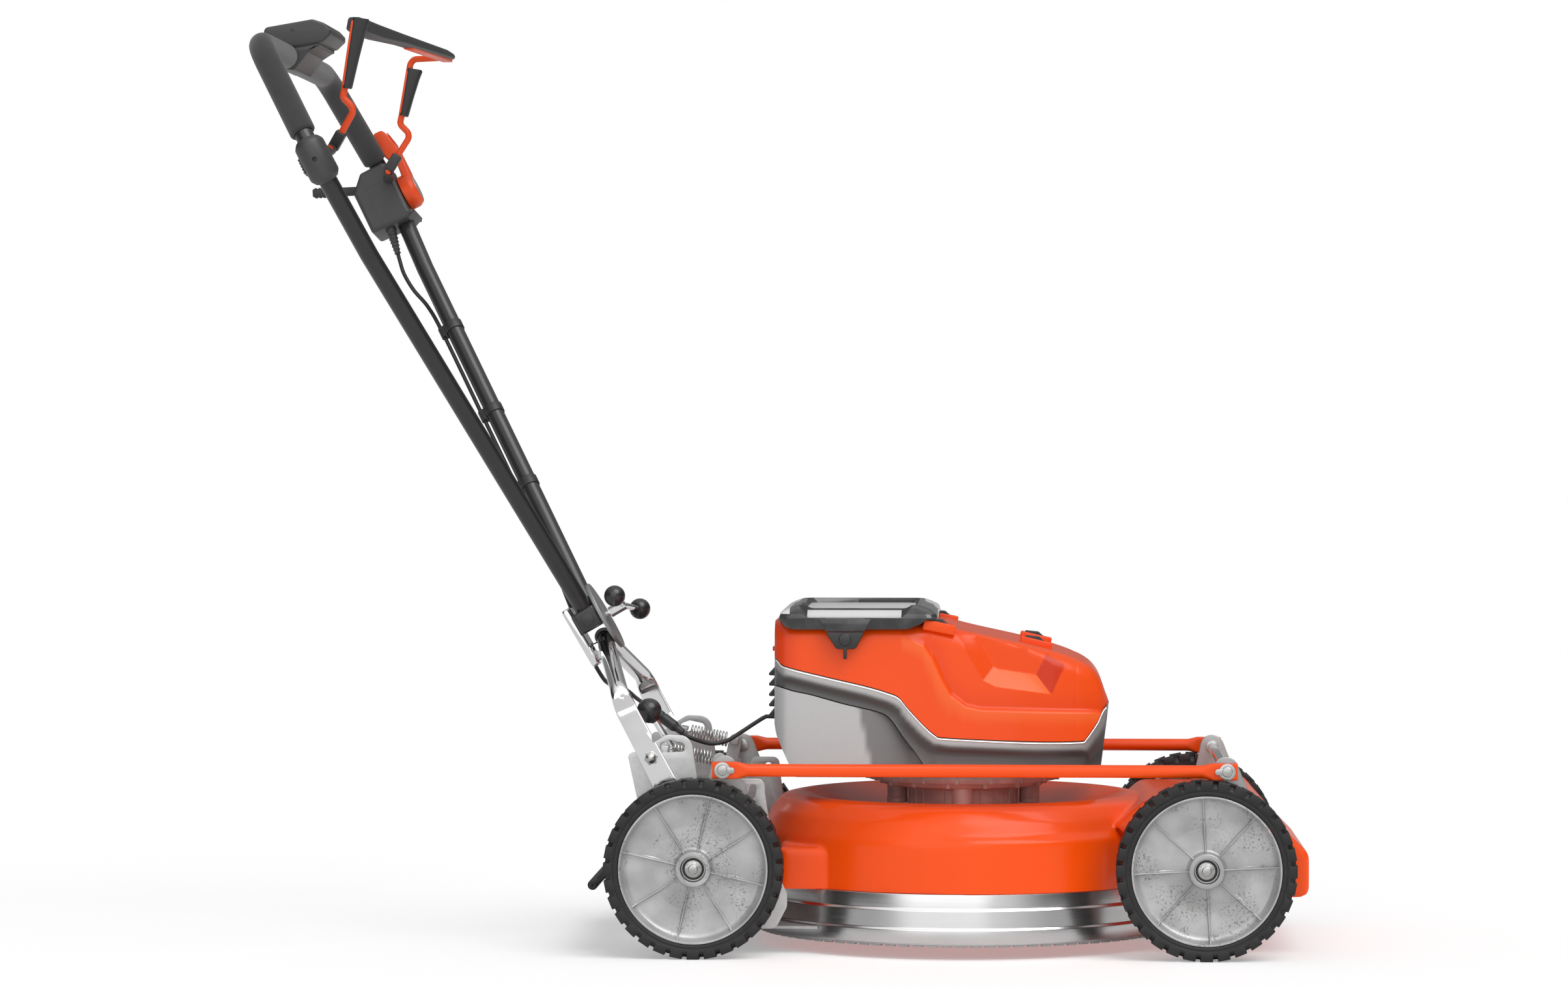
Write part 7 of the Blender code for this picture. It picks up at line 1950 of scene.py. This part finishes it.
def sleeve(line, radius, bore, lip):
    """A foam sleeve on a line, with soft rims at both ends."""
    pts = [Vector(p) for p in line]
    rows = []
    for inside in (False, True):
        row = []
        for i in range(len(pts)):
            ahead = pts[min(i + 1, len(pts) - 1)]
            back = pts[max(i - 1, 0)]
            way = (ahead - back).normalized()
            side = way.cross(Vector((0.0, 0.0, 1.0))).normalized()
            up = side.cross(way)
            near = min(i, len(pts) - 1 - i)
            size = bore if inside else radius
            if near < 3 and not inside:
                size = radius - lip * (0.75, 0.30, 0.08)[near]
            row.append([tuple(pts[i] + size * (side * math.cos(a) + up * math.sin(a)))
                        for a in [2.0 * math.pi * k / 40 for k in range(40)]])
        rows.append(row)
    return skin(rows[0] + list(reversed(rows[1])), closed=True)


def grips():
    """Foam sleeves round the tube's bends, slid on up to the console."""
    line = handle_line()
    total = line_length(line)
    start = to_collar() + 0.036
    end = total / 2.0 - 0.070
    for word, first, last in (("right", start, end), ("left", total - end, total - start)):
        ends = along_line(line, first, last, 0.0035)
        extra = [Vector(ends[0]).lerp(Vector(ends[1]), t) for t in (0.0, 0.15, 0.45)]
        tail = [Vector(ends[-1]).lerp(Vector(ends[-2]), t) for t in (0.45, 0.15, 0.0)]
        made = sleeve(extra + ends[1:-1] + tail, sizes().grip_radius, sizes().tube_radius + 0.0003, 0.0030)
        dress(made, f"grip_{word}_foam", grip_foam(), "handle", (f"grip_{word}",), 60.0)


def console():
    """Two moulded halves clamped round the cross bar, parted by a fine line."""
    upper = ((-0.6195, 1.0720, 0.006), (-0.6293, 1.1010, 0.006), (-0.5684, 1.1115, 0.012),
             (-0.5541, 1.1068, 0.010), (-0.5462, 1.0983, 0.004), (-0.5466, 1.0925, 0.003),
             (-0.5560, 1.0835, 0.002))
    lower = ((-0.6192, 1.0712, 0.001), (-0.5565, 1.0826, 0.001), (-0.5739, 1.0714, 0.004),
             (-0.5905, 1.0495, 0.006), (-0.6120, 1.0530, 0.007))
    half = 0.068
    bore = ring(TUBE_CORNER[0], TUBE_CORNER[2], sizes().tube_radius + 0.0003, 48)
    parts = []
    for outline, edge in ((upper, 0.0030), (lower, 0.0022)):
        shell = sheet((rounded(outline, 0.0, 6),), 2.0 * half, upright(0.0), edge, 3)
        core = sheet((bore,), 0.3, upright(0.0))
        parts.append(minus(shell, core))
    seam = rounded(((-0.6185, 1.0745, 0.002), (-0.5600, 1.0850, 0.002), (-0.5600, 1.0790, 0.002),
                    (-0.6185, 1.0690, 0.002)), 0.0, 3)
    filler = sheet((seam,), 2.0 * half - 0.004, upright(0.0))
    core = sheet((bore,), 0.3, upright(0.0))
    parts.append(minus(filler, core))
    made = together(*parts)
    dress(made, "console_moulded", console_grey(), "handle", ("console",), 32.0)
    details = []
    for side in (-1.0, 1.0):
        details.append(bar((-0.5930, side * (half - 0.001), 1.0980),
                           (-0.5930, side * half, 1.0980), 0.0022, 24))
        details.append(block((-0.6050, side * (half - 0.0004) - 0.0004, 1.0868),
                             (-0.5975, side * (half - 0.0004) + 0.0004, 1.0886), 0.0003, None, 1))
    dress(together(*details), "console_side_marks", polished_black(), "handle")


BOX_AT = (-0.5189, 0.3186, 0.9132)
BOX_FORWARD = (0.89123, 0.0, 0.45355)
BOX_UP = (-0.44199, 0.22436, 0.86851)


def box_place():
    """On the left tube in the middle of the control box: local X forwards, local Z up the tube."""
    return axes(BOX_AT, BOX_FORWARD, BOX_UP)


def bail_boss(side):
    """A square-shouldered arm from the tube's fitting to the bail's pivot."""
    near = Vector((-0.5185, side * 0.2670, 0.9440))
    far = Vector((TUBE_COLLAR[0], side * (0.3380 - 0.011), TUBE_COLLAR[2]))
    arm = bar(near, far, 0.0065, 40, edge=0.0008)
    hole = bar((-0.5185, side * 0.249, 0.9440), (-0.5185, side * (0.2590 + 0.0245), 0.9440), 0.0045, 40)
    return minus(arm, hole)


def tube_core(side, reach=0.09):
    """The tube's stretch through a fitting, used to cut its bore."""
    middle = to_collar()
    pts = along_line(handle_line(), middle - reach, middle + reach, 0.006)
    if side > 0.0:
        pts = [mirrored(p) for p in pts]
    return wire(pts, sizes().tube_radius + 0.0003, 9)


def collar():
    """Round bail holder, chamfered at both ends, with its screw hole."""
    middle = to_collar()
    pts = along_line(handle_line(), middle - 0.025, middle + 0.025, 0.0025)
    count = len(pts)
    scales = []
    for k in range(count):
        near = min(k, count - 1 - k) * 0.0025
        scales.append(0.80 + 0.20 * min(1.0, near / 0.0055) - 0.012 * (1.0 if near < 0.0001 else 0.0))
    made = wire(pts, 0.0180, 9, scales)
    joint = bail_boss(-1.0)
    aim = Vector((-0.89123, 0.0, -0.45355))
    spot = Vector(pts[count // 2]) + Vector((0.0, -0.0180, 0.0))
    screw = bar(spot + Vector((0.0, 0.0070, 0.0)), spot - Vector((0.0, 0.0040, 0.0)), 0.0030, 32)
    made = minus(made, screw, tube_core(-1.0))
    plug = bar(spot + Vector((0.0, 0.0062, 0.0)), spot + Vector((0.0, 0.0040, 0.0)), 0.0029, 32)
    tab_place = axes(Vector(pts[count // 2]) + aim * 0.0165 + Vector((0.0, 0.010, 0.0)), aim, BOX_UP)
    tab = block((-0.0060, -0.0090, -0.0100), (0.0030, 0.0090, 0.0100), 0.0012, tab_place)
    rib = block((0.0026, -0.0088, -0.0006), (0.0042, 0.0088, 0.0006), 0.0004, None, 1)
    ribs = copies(rib, 5, tab_place @ Matrix.Translation((0.0, 0.0, -0.0080)), black_plastic(),
                  step=(0.0, 0.0, 0.0040))
    tab = minus(tab, tube_core(-1.0))
    dress(together(made, joint, plug, tab, ribs), "bail_collar_turned", console_grey(), "handle",
          ("collar_right",), 30.0)


def control_box():
    """Switch box with a parting groove, its cable boot and the bail's arm."""
    place = box_place()
    half = 0.041
    rear = 0.042
    front = 0.014
    outline = ((-rear, -half * 0.93, 0.004), (front - 0.006, -half, 0.003),
               (front + 0.006, -half * 0.88, 0.002),
               (front + 0.006, -half * 0.82, 0.002), (front, -half * 0.77, 0.002),
               (front, half * 0.86, 0.004),
               (front - 0.006, half, 0.004), (-rear * 0.55, half, 0.006), (-rear, half * 0.50, 0.004))
    lying = place @ Matrix.Rotation(math.pi / 2.0, 4, "X")
    made = sheet((rounded(outline, 0.0, 5),), 0.054, lying, 0.0048, 4)
    made = minus(made, tube_core(1.0))
    lines = []
    for side in (-1.0, 1.0):
        lines.append(block((-0.0255, side * 0.0270 - 0.0002, -half * 0.92),
                           (-0.0245, side * 0.0270 + 0.0002, half * 0.72),
                           0.0, place))
        lines.append(block((-0.0245, side * 0.0270 - 0.0002, half * 0.42), (0.0120, side * 0.0270 + 0.0002,
                                                                          half * 0.44), 0.0, place))
    dress(together(*lines), "control_box_seams", polished_black(), "handle")
    spot = place @ Vector((-0.0310, 0.0, 0.0260))
    tab_place = axes(spot, (0.0, 0.0, -1.0), (-1.0, 0.0, -0.05))
    tab = block((-0.0060, -0.0080, -0.004), (0.0050, 0.0080, 0.0650), 0.0022, tab_place)
    rib = block((-0.0070, -0.0076, -0.0010), (0.0060, 0.0076, 0.0010), 0.0004, None, 1)
    ribs = copies(rib, 6, tab_place @ Matrix.Translation((0.0, 0.0, 0.0350)), black_plastic(),
                  step=(0.0, 0.0, 0.0052))
    dress(together(tab, ribs), "control_box_rear_tab", black_plastic(), "handle")
    top = place @ Vector((-rear * 0.45, -0.010, -half + 0.004))
    end = top + Vector((0.0100, -0.004, -0.0340))
    way = (end - top).normalized()
    profile = [(0.0, 0.0), (0.0070, 0.0)]
    for k in range(6):
        at = 0.0065 + k * 0.0048
        wide = 0.0068 - 0.00046 * k
        profile += [(wide, at), (wide - 0.0010, at + 0.0012), (wide - 0.0010, at + 0.0030),
                    (wide - 0.0002, at + 0.0040)]
    length = (end - top).length
    profile += [(0.0040, length), (0.0, length)]
    boot = turned(profile, top, way, 40, whole=True)
    dress(together(made, bail_boss(1.0), boot), "control_box_moulded", console_grey(), "handle",
          ("control_box",), 30.0)


class MOWER_OT_handle(bpy.types.Operator):
    """Handle tube, grips, console, bail holder and control box"""
    bl_idname = "mower.handle"
    bl_label = "Handle"

    def execute(self, context):
        handle_tube()
        grips()
        console()
        collar()
        control_box()
        return {"FINISHED"}


# Bail and speed lever

def bail_leg(side):
    x, z = BAIL_PIVOT
    return [(x, side * 0.2830, z), (x, side * 0.2590, z), (-0.4905, side * 0.2700, 0.9905),
            (-0.5045, side * 0.2700, 1.0045), (-0.5020, side * 0.2700, 1.0150),
            (-0.4905, side * 0.2750, 1.0870)]


def bail_far_corner():
    top = bail_leg(1.0)[-1]
    return (top[0] + 0.050, top[1] - 0.030, top[2])


def bail_points():
    radii = [0.006, 0.010, 0.008, 0.014, 0.010, 0.010, 0.010, 0.014, 0.008, 0.010, 0.006]
    whole = bail_leg(-1.0) + [bail_far_corner()] + list(reversed(bail_leg(1.0)))
    return bent(whole, radii, 10)


def bail():
    """Red wire bail with its grip covers."""
    radius = sizes().wire_radius
    dress(wire(bail_points(), radius, 7), "bail_wire_coated", red_plastic(), "bail", ("bail_wire",))
    sockets = []
    for side in (-1.0, 1.0):
        line = bail_leg(side)
        base = Vector(line[1])
        up = (Vector(line[2]) - base).normalized()
        sockets.append(block((-0.0062, -0.0062, -0.0050), (0.0062, 0.0062, 0.0180), 0.0014,
                             axes(base + up * 0.0060, (0.0, 1.0, 0.0), up)))
    dress(together(*sockets), "bail_wire_sockets", black_plastic(), "bail")
    blacks = []
    reds = []
    for word, side in SIDES:
        low = Vector(bail_leg(side)[-2])
        high = Vector(bail_leg(side)[-1])
        length = (high - low).length
        top = length + 0.010 if side < 0.0 else length - 0.012
        place = axes(low, (1.0, 0.0, 0.0), high - low)
        rings = []
        for t, deep in ((0.0, 0.0080), (0.03, 0.0086), (0.45, 0.0116), (0.80, 0.0146),
                        (0.97, 0.0168), (1.0, 0.0160)):
            outline = rounded(((-0.0016, -0.0072, 0.003), (deep, -0.0060, 0.0045), (deep, 0.0060, 0.0045),
                               (-0.0016, 0.0072, 0.003)), 0.0, 5)
            rings.append([tuple(place @ Vector((u, v, top * t))) for u, v in outline])
        parts = [skin(rings)]
        strips = [block((-0.0034, -0.0060, 0.003), (0.0004, 0.0060, top - 0.004), 0.0012, place, 2)]
        if side < 0.0:
            far = Vector(bail_far_corner())
            reach = (far - high).length + 0.008
            lying = axes(high, (0.0, 0.0, 1.0), far - high)
            rings = []
            for t, low, thick, deep in ((-0.0050, -0.0040, 0.0080, 0.0090), (0.0, -0.0060, 0.0100, 0.0120),
                                        (0.06, -0.0085, 0.0100, 0.0130), (0.20, -0.0085, 0.0092, 0.0122),
                                        (0.45, -0.0050, 0.0086, 0.0112), (0.93, -0.0030, 0.0080, 0.0104),
                                        (1.0, -0.0020, 0.0062, 0.0090)):
                at = reach * t if t > 0.0 else t
                outline = rounded(((low, -0.8 * deep, 0.003), (thick, -0.55 * deep, 0.004),
                                   (thick, 0.75 * deep, 0.005), (low, deep, 0.003)), 0.0, 5)
                rings.append([tuple(lying @ Vector((u, v, at))) for u, v in outline])
            parts.append(skin(rings))
            strips.append(block((-0.0062, -0.0060, reach * 0.55),
                                (0.0002, 0.0070, reach - 0.010), 0.0012, lying, 2))
        blacks.append((word, parts))
        reds += strips
    for word, parts in blacks:
        trimmed = [minus(part, wire(bail_points(), radius + 0.0004, 5)) for part in parts]
        dress(together(*trimmed), f"bail_cover_{word}_moulded", black_plastic(), "bail",
              (f"bail_cover_{word}",),
              32.0)
    trimmed = [minus(part, wire(bail_points(), radius + 0.0004, 5)) for part in reds]
    dress(together(*trimmed), "bail_cover_strips", red_plastic(), "bail")


LEVER_PIVOT = (-0.50499, 0.3200, 0.91743)


def speed_lever():
    """Round hub, bulging arm and ribbed tip, with a bare grey disc on the hub."""
    forward = Vector(BOX_FORWARD)
    up = Vector(BOX_UP)
    pivot = Vector(LEVER_PIVOT)
    profile = rounded(((0.0, 0.0195, 0.0), (0.0185, 0.0195, 0.004), (0.0228, 0.0130, 0.006),
                       (0.0230, 0.0008, 0.0006),
                       (0.0, 0.0008, 0.0)), 0.0, 6)
    hub = turned(profile, pivot, forward, 64, whole=True)
    place = axes(pivot, up, forward)
    rings = []
    for at, half, low, high in ((0.010, 0.0150, 0.0060, 0.0190), (0.024, 0.0130, 0.0085, 0.0200),
                                (0.040, 0.0112, 0.0095, 0.0200), (0.050, 0.0108, 0.0010, 0.0198),
                                (0.062, 0.0112, -0.0035, 0.0190), (0.076, 0.0118, -0.0040, 0.0160),
                                (0.0850, 0.0112, -0.0032, 0.0120), (0.0880, 0.0096, -0.0010, 0.0100)):
        outline = rounded(((-half, low, 0.002), (half, low, 0.002), (half * 0.92, high, 0.004),
                           (-half * 0.92, high, 0.004)), 0.0, 5)
        rings.append([tuple(place @ Vector((at, v, w))) for v, w in outline])
    arm = skin(rings)
    rib = block((0.0, -0.0105, 0.0), (0.0012, 0.0105, 0.0014), 0.0005, None, 1)
    rib_place = place @ Matrix.Translation((0.0640, 0.0, 0.0182)) @ Matrix.Rotation(0.215, 4, "Y")
    ribs = copies(rib, 6, rib_place, red_plastic(), step=(0.0032, 0.0, 0.0))
    dress(together(hub, arm, ribs), "speed_lever_moulded", red_plastic(), "lever", ("speed_lever",),
          36.0)
    disc = turned(rounded(((0.0, 0.0200, 0.0), (0.0150, 0.0200, 0.0006),
                           (0.0154, 0.0190, 0.0), (0.0, 0.0190, 0.0)),
                          0.0, 3), pivot, forward, 64, whole=True)
    dress(disc, "speed_lever_disc", band_silver(), "lever")


class MOWER_OT_controls(bpy.types.Operator):
    """Bail with its covers, and the speed lever"""
    bl_idname = "mower.controls"
    bl_label = "Bail and speed lever"

    def execute(self, context):
        bail()
        speed_lever()
        return {"FINISHED"}


# Control lead

LEAD_SPLIT = 0.470
CLIP_HEIGHTS = (0.745, 0.640, 0.550)
BOOT_TOP = (-0.5204, 0.3005, 0.8745)
BOOT_END = (-0.5104, 0.2965, 0.8405)
PLUG_START = Vector((-0.1690, -0.0930, 0.2910))
PLUG_END = Vector((-0.1187, -0.1052, 0.2552))
HOUSING_FACE = -0.0088


def beside_tube(height):
    """Where the lead lies behind the left tube, at a height."""
    foot = Vector(mirrored(TUBE_FOOT))
    top = Vector(mirrored(TUBE_KNEE))
    spot = foot + (top - foot) * ((height - foot.z) / (top.z - foot.z))
    return spot - joint_normal() * (0.011 + 0.0025 + 0.002)


def lead_routes():
    """The lead's three stretches, each from its upper to its lower end."""
    way = (Vector(BOOT_END) - Vector(BOOT_TOP)).normalized()
    start = Vector(BOOT_END) + way * 0.0003
    upper = [start, start + way * 0.010, (-0.5010, 0.2860, 0.8140), (-0.4870, 0.2740, 0.7930),
             (-0.4680, 0.2640, 0.7720), *(beside_tube(height) for height in CLIP_HEIGHTS),
             beside_tube(LEAD_SPLIT)]
    way = (PLUG_END - PLUG_START).normalized()
    last = PLUG_START - way * 0.0003
    middle = [beside_tube(LEAD_SPLIT - 0.0003), beside_tube(LEAD_SPLIT - 0.010), (-0.2730, 0.0620, 0.4100),
              (-0.2600, 0.0660, 0.3770), (-0.2450, 0.0600, 0.3410), (-0.2260, 0.0380, 0.3120),
              (-0.2120, 0.0, 0.3060), (-0.2010, -0.0400, 0.3060), (-0.1880, -0.0760, 0.3040),
              last - way * 0.010, last]
    first = PLUG_END + way * 0.0003
    lower = [first, first + way * 0.008, (-0.0870, -0.0980, 0.2420), (-0.0673, -0.0930, 0.2450),
             (-0.0512, -0.0880, 0.2545), (-0.0327, -0.0830, 0.2665), (HOUSING_FACE - 0.012, -0.080, 0.2735),
             (HOUSING_FACE - 0.006, -0.080, 0.2735), (HOUSING_FACE, -0.080, 0.2735)]
    return upper, middle, lower


def lead(name, points, body, node):
    """One stretch as a round curve with closed ends."""
    path = curved([tuple(p) for p in points], 0.006)
    curve = bpy.data.curves.new(name, "CURVE")
    curve.dimensions = "3D"
    curve.bevel_depth = sizes().lead_radius
    curve.bevel_resolution = 6
    curve.use_fill_caps = True
    spline = curve.splines.new("POLY")
    spline.points.add(len(path) - 1)
    for point, co in zip(spline.points, path):
        point.co = (*co, 1.0)
    spline.use_smooth = True
    made = shown(curve, name)
    curve.materials.append(lead_rubber())
    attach(made, body)
    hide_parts(node)
    steps = np.diff(np.array(path), axis=0)
    return made, path[0], float(np.linalg.norm(steps, axis=1).sum())


def connector():
    """Inline plug: two ringed halves and a collar nut."""
    way = PLUG_END - PLUG_START
    length = way.length
    profile = rounded((
        (0.0, 0.0, 0.0), (0.0040, 0.0, 0.001), (0.0052, 0.0052, 0.001), (0.0080, 0.0066, 0.001),
        (0.0082, 0.0120, 0.0004), (0.0076, 0.0128, 0.0004), (0.0076, 0.0140, 0.0004),
        (0.0084, 0.0148, 0.0004),
        (0.0084, 0.0215, 0.001), (0.0066, 0.0228, 0.001), (0.0066, 0.0300, 0.0004), (0.0060, 0.0308, 0.0004),
        (0.0060, 0.0322, 0.0004), (0.0066, 0.0330, 0.0004), (0.0066, length * 0.78, 0.001),
        (0.0046, length * 0.86, 0.001), (0.0040, length, 0.001), (0.0, length, 0.0)), 0.0, 3)
    made = turned(profile, PLUG_START, way, 48, whole=True)
    ridge = block((0.0080, -0.0005, 0.0150), (0.0086, 0.0005, 0.0210), 0.0002, None, 1)
    ridges = copies(ridge, 18, towards(PLUG_START, PLUG_END), black_plastic(), 2.0 * math.pi / 18)
    return dress(together(made, ridges), "lead_connector_ringed", black_plastic(), "fold_frame",
                 ("connector",))


def clips():
    """Clips that hold the lead behind the left tube."""
    foot = Vector(mirrored(TUBE_FOOT))
    top = Vector(mirrored(TUBE_KNEE))
    way = (top - foot).normalized()
    normal = joint_normal()
    tube = sizes().tube_radius
    for number, height in enumerate(CLIP_HEIGHTS):
        spot = foot + (top - foot) * ((height - foot.z) / (top.z - foot.z))
        place = axes(spot, normal, way)
        band = turned(rounded(((tube + 0.0002, -0.006, 0.0), (tube + 0.0014, -0.006, 0.0004),
                               (tube + 0.0014, 0.006, 0.0004),
                               (tube + 0.0002, 0.006, 0.0)), 0.0, 3), spot, way, 48)
        back = -(0.011 + 0.0025 + 0.002)
        outline = rounded(((-tube + 0.0010, -0.0056, 0.001), (back - 0.0022, -0.0044, 0.002),
                           (back - 0.0042, 0.0, 0.002), (back - 0.0022, 0.0044, 0.002),
                           (-tube + 0.0010, 0.0056, 0.001)), 0.0, 4)
        rings = [[tuple(place @ Vector((u, v, w))) for u, v in outline] for w in (-0.0075, 0.0075)]
        holder = skin(rings)
        lead_core = bar(place @ Vector((back, 0.0, -0.02)), place @ Vector((back, 0.0, 0.02)), 0.0027, 32)
        tube_hole = bar(place @ Vector((0.0, 0.0, -0.02)), place @ Vector((0.0, 0.0, 0.02)),
                        tube + 0.0002, 48)
        holder = soft(minus(holder, lead_core, tube_hole), 0.0005, 1, 40.0)
        dress(together(band, holder), f"lead_clip_{number + 1}", black_plastic(), "handle")


class MOWER_OT_control_lead(bpy.types.Operator):
    """Control lead in its three stretches, with its connector and clips"""
    bl_idname = "mower.control_lead"
    bl_label = "Control lead"

    def execute(self, context):
        upper, middle, lower = lead_routes()
        plug = connector()
        made, start, length = lead("lead_upper_cable", upper, "handle", "lead_upper")
        made, start, length = lead("lead_middle_cable", middle, "fold_frame", "lead_middle")
        made, start, length = lead("lead_lower_cable", lower, "chassis", "lead_lower")
        clips()
        return {"FINISHED"}


# Studio

CAMERA_AT = (0.27, -6.0, 0.638)
PHOTO_WIDTH = 2408.0
PHOTO_HEIGHT = 1515.0
FOCUS = 7586.0
MIDDLE = (1549.0, 633.0)
FLOOR_REACH = 30.0


def studio_camera():
    """Looks through the photograph's middle, as far away and as long as the photograph's lens."""
    data = bpy.data.cameras.new("camera")
    data.sensor_fit = "HORIZONTAL"
    data.sensor_width = 36.0
    away = Vector(((PHOTO_WIDTH / 2.0 - MIDDLE[0]) / FOCUS, 1.0, (MIDDLE[1] - PHOTO_HEIGHT / 2.0) / FOCUS))
    data.lens = 36.0 * FOCUS / PHOTO_WIDTH * away.length
    data.clip_end = 100.0
    right = away.cross(Vector((0.0, 0.0, 1.0))).normalized()
    up = right.cross(away).normalized()
    camera = shown(data, "camera")
    turn = Matrix((right, up, -away.normalized())).transposed().to_4x4()
    camera.matrix_world = Matrix.Translation(CAMERA_AT) @ turn
    bpy.context.scene.camera = camera


def studio_floor():
    """A white floor that keeps the mower's shadow and is a little darker in reflections."""
    floor = shown(bpy.data.meshes.new("studio_floor"), "studio_floor")
    corners = [(x * FLOOR_REACH, y * FLOOR_REACH, 0.0) for x, y in ((-1, -1), (1, -1), (1, 1), (-1, 1))]
    floor.data.from_pydata(corners, [], [(0, 1, 2, 3)])
    plain = Finish("studio_floor_white", paints().floor, 0.9)
    plain.set("Specular IOR Level", 0.0)
    plain.set("Emission Color", (1.0, 1.0, 1.0, 1.0))
    plain.set("Emission Strength", 0.31)
    dim = plain.node("ShaderNodeBsdfDiffuse", {}, {"Color": (0.72, 0.72, 0.72, 1.0)})
    mix = plain.node("ShaderNodeMixShader", {},
                     {0: plain.node("ShaderNodeLightPath", output="Is Glossy Ray"),
                      1: Feed(plain, plain.shader.outputs[0]), 2: dim})
    plain.fill(plain.tree.nodes["Material Output"].inputs[0], mix)
    floor.data.materials.append(plain.material)


def studio_world():
    """White for the camera; soft all round, and for reflections bright in front, dark at the sides."""
    world = bpy.data.worlds.new("studio_world")
    world.use_nodes = True
    world.node_tree.nodes.clear()
    sky = Wiring(world.node_tree)
    way = sky.node("ShaderNodeTexCoord", output="Generated")
    x, y, z = [sky.node("ShaderNodeSeparateXYZ", {}, {0: way}, axis) for axis in "XYZ"]
    front = sky.node("ShaderNodeMath", {"operation": "ABSOLUTE"}, {0: x}).over(0.42, 0.80, 0.86, 0.04)
    glow = front * y.over(-0.10, 0.35, 1.0, 0.32) + z.over(0.30, 0.80, 0.0, 0.55)
    seen = sky.node("ShaderNodeBackground", {}, {"Color": (1.0, 1.0, 1.0, 1.0)})
    light = sky.node("ShaderNodeBackground", {}, {"Strength": 0.56})
    shine = sky.node("ShaderNodeBackground", {}, {"Strength": glow})
    for ray, other in (("Is Glossy Ray", shine), ("Is Camera Ray", seen)):
        light = sky.node("ShaderNodeMixShader", {},
                         {0: sky.node("ShaderNodeLightPath", output=ray), 1: light, 2: other})
    sky.end("ShaderNodeOutputWorld", light)
    bpy.context.scene.world = world


def soft_sun(name, power, softness, direction):
    data = bpy.data.lights.new(name, "SUN")
    data.energy = power
    data.angle = softness
    lamp = shown(data, name)
    lamp.matrix_world = Vector(direction).to_track_quat("-Z", "Y").to_matrix().to_4x4()


class MOWER_OT_studio(bpy.types.Operator):
    """Camera at the photograph's angle, white studio and soft light"""
    bl_idname = "mower.studio"
    bl_label = "Studio"

    def execute(self, context):
        studio_camera()
        studio_floor()
        studio_world()
        soft_sun("key_light", 1.45, 0.8, (-0.45, 0.55, -1.0))
        soft_sun("front_light", 0.48, 1.0, (0.20, 1.0, -0.35))
        context.scene.view_settings.view_transform = "Standard"
        return {"FINISHED"}


# Add-on

OPERATORS = (MOWER_OT_studio, MOWER_OT_control_lead, MOWER_OT_wheels, MOWER_OT_height_setting, MOWER_OT_deck,
             MOWER_OT_rear, MOWER_OT_motor, MOWER_OT_housing, MOWER_OT_lid, MOWER_OT_folding_frame,
             MOWER_OT_handle, MOWER_OT_controls)


class MOWER_PT_builder(bpy.types.Panel):
    """The mower's sizes, colours and pieces"""
    bl_idname = "MOWER_PT_builder"
    bl_label = "Mower"
    bl_space_type = "VIEW_3D"
    bl_region_type = "UI"
    bl_category = "Mower"

    def draw(self, context):
        layout = self.layout
        for title, group in (("Sizes", sizes()), ("Colours", paints())):
            box = layout.box()
            box.label(text=title)
            for name in group.__annotations__:
                box.prop(group, name)
        for operator in OPERATORS:
            layout.operator(operator.bl_idname)


CLASSES = (MowerPaints, MowerSizes) + OPERATORS + (MOWER_PT_builder,)


def register():
    for cls in CLASSES:
        bpy.utils.register_class(cls)
    bpy.types.Scene.mower_paints = PointerProperty(type=MowerPaints)
    bpy.types.Scene.mower_sizes = PointerProperty(type=MowerSizes)


def unregister():
    del bpy.types.Scene.mower_sizes
    del bpy.types.Scene.mower_paints
    for cls in reversed(CLASSES):
        bpy.utils.unregister_class(cls)


def main():
    register()
    for operator in OPERATORS:
        group, name = operator.bl_idname.split(".")
        getattr(getattr(bpy.ops, group), name)()


if __name__ == "__main__":
    main()
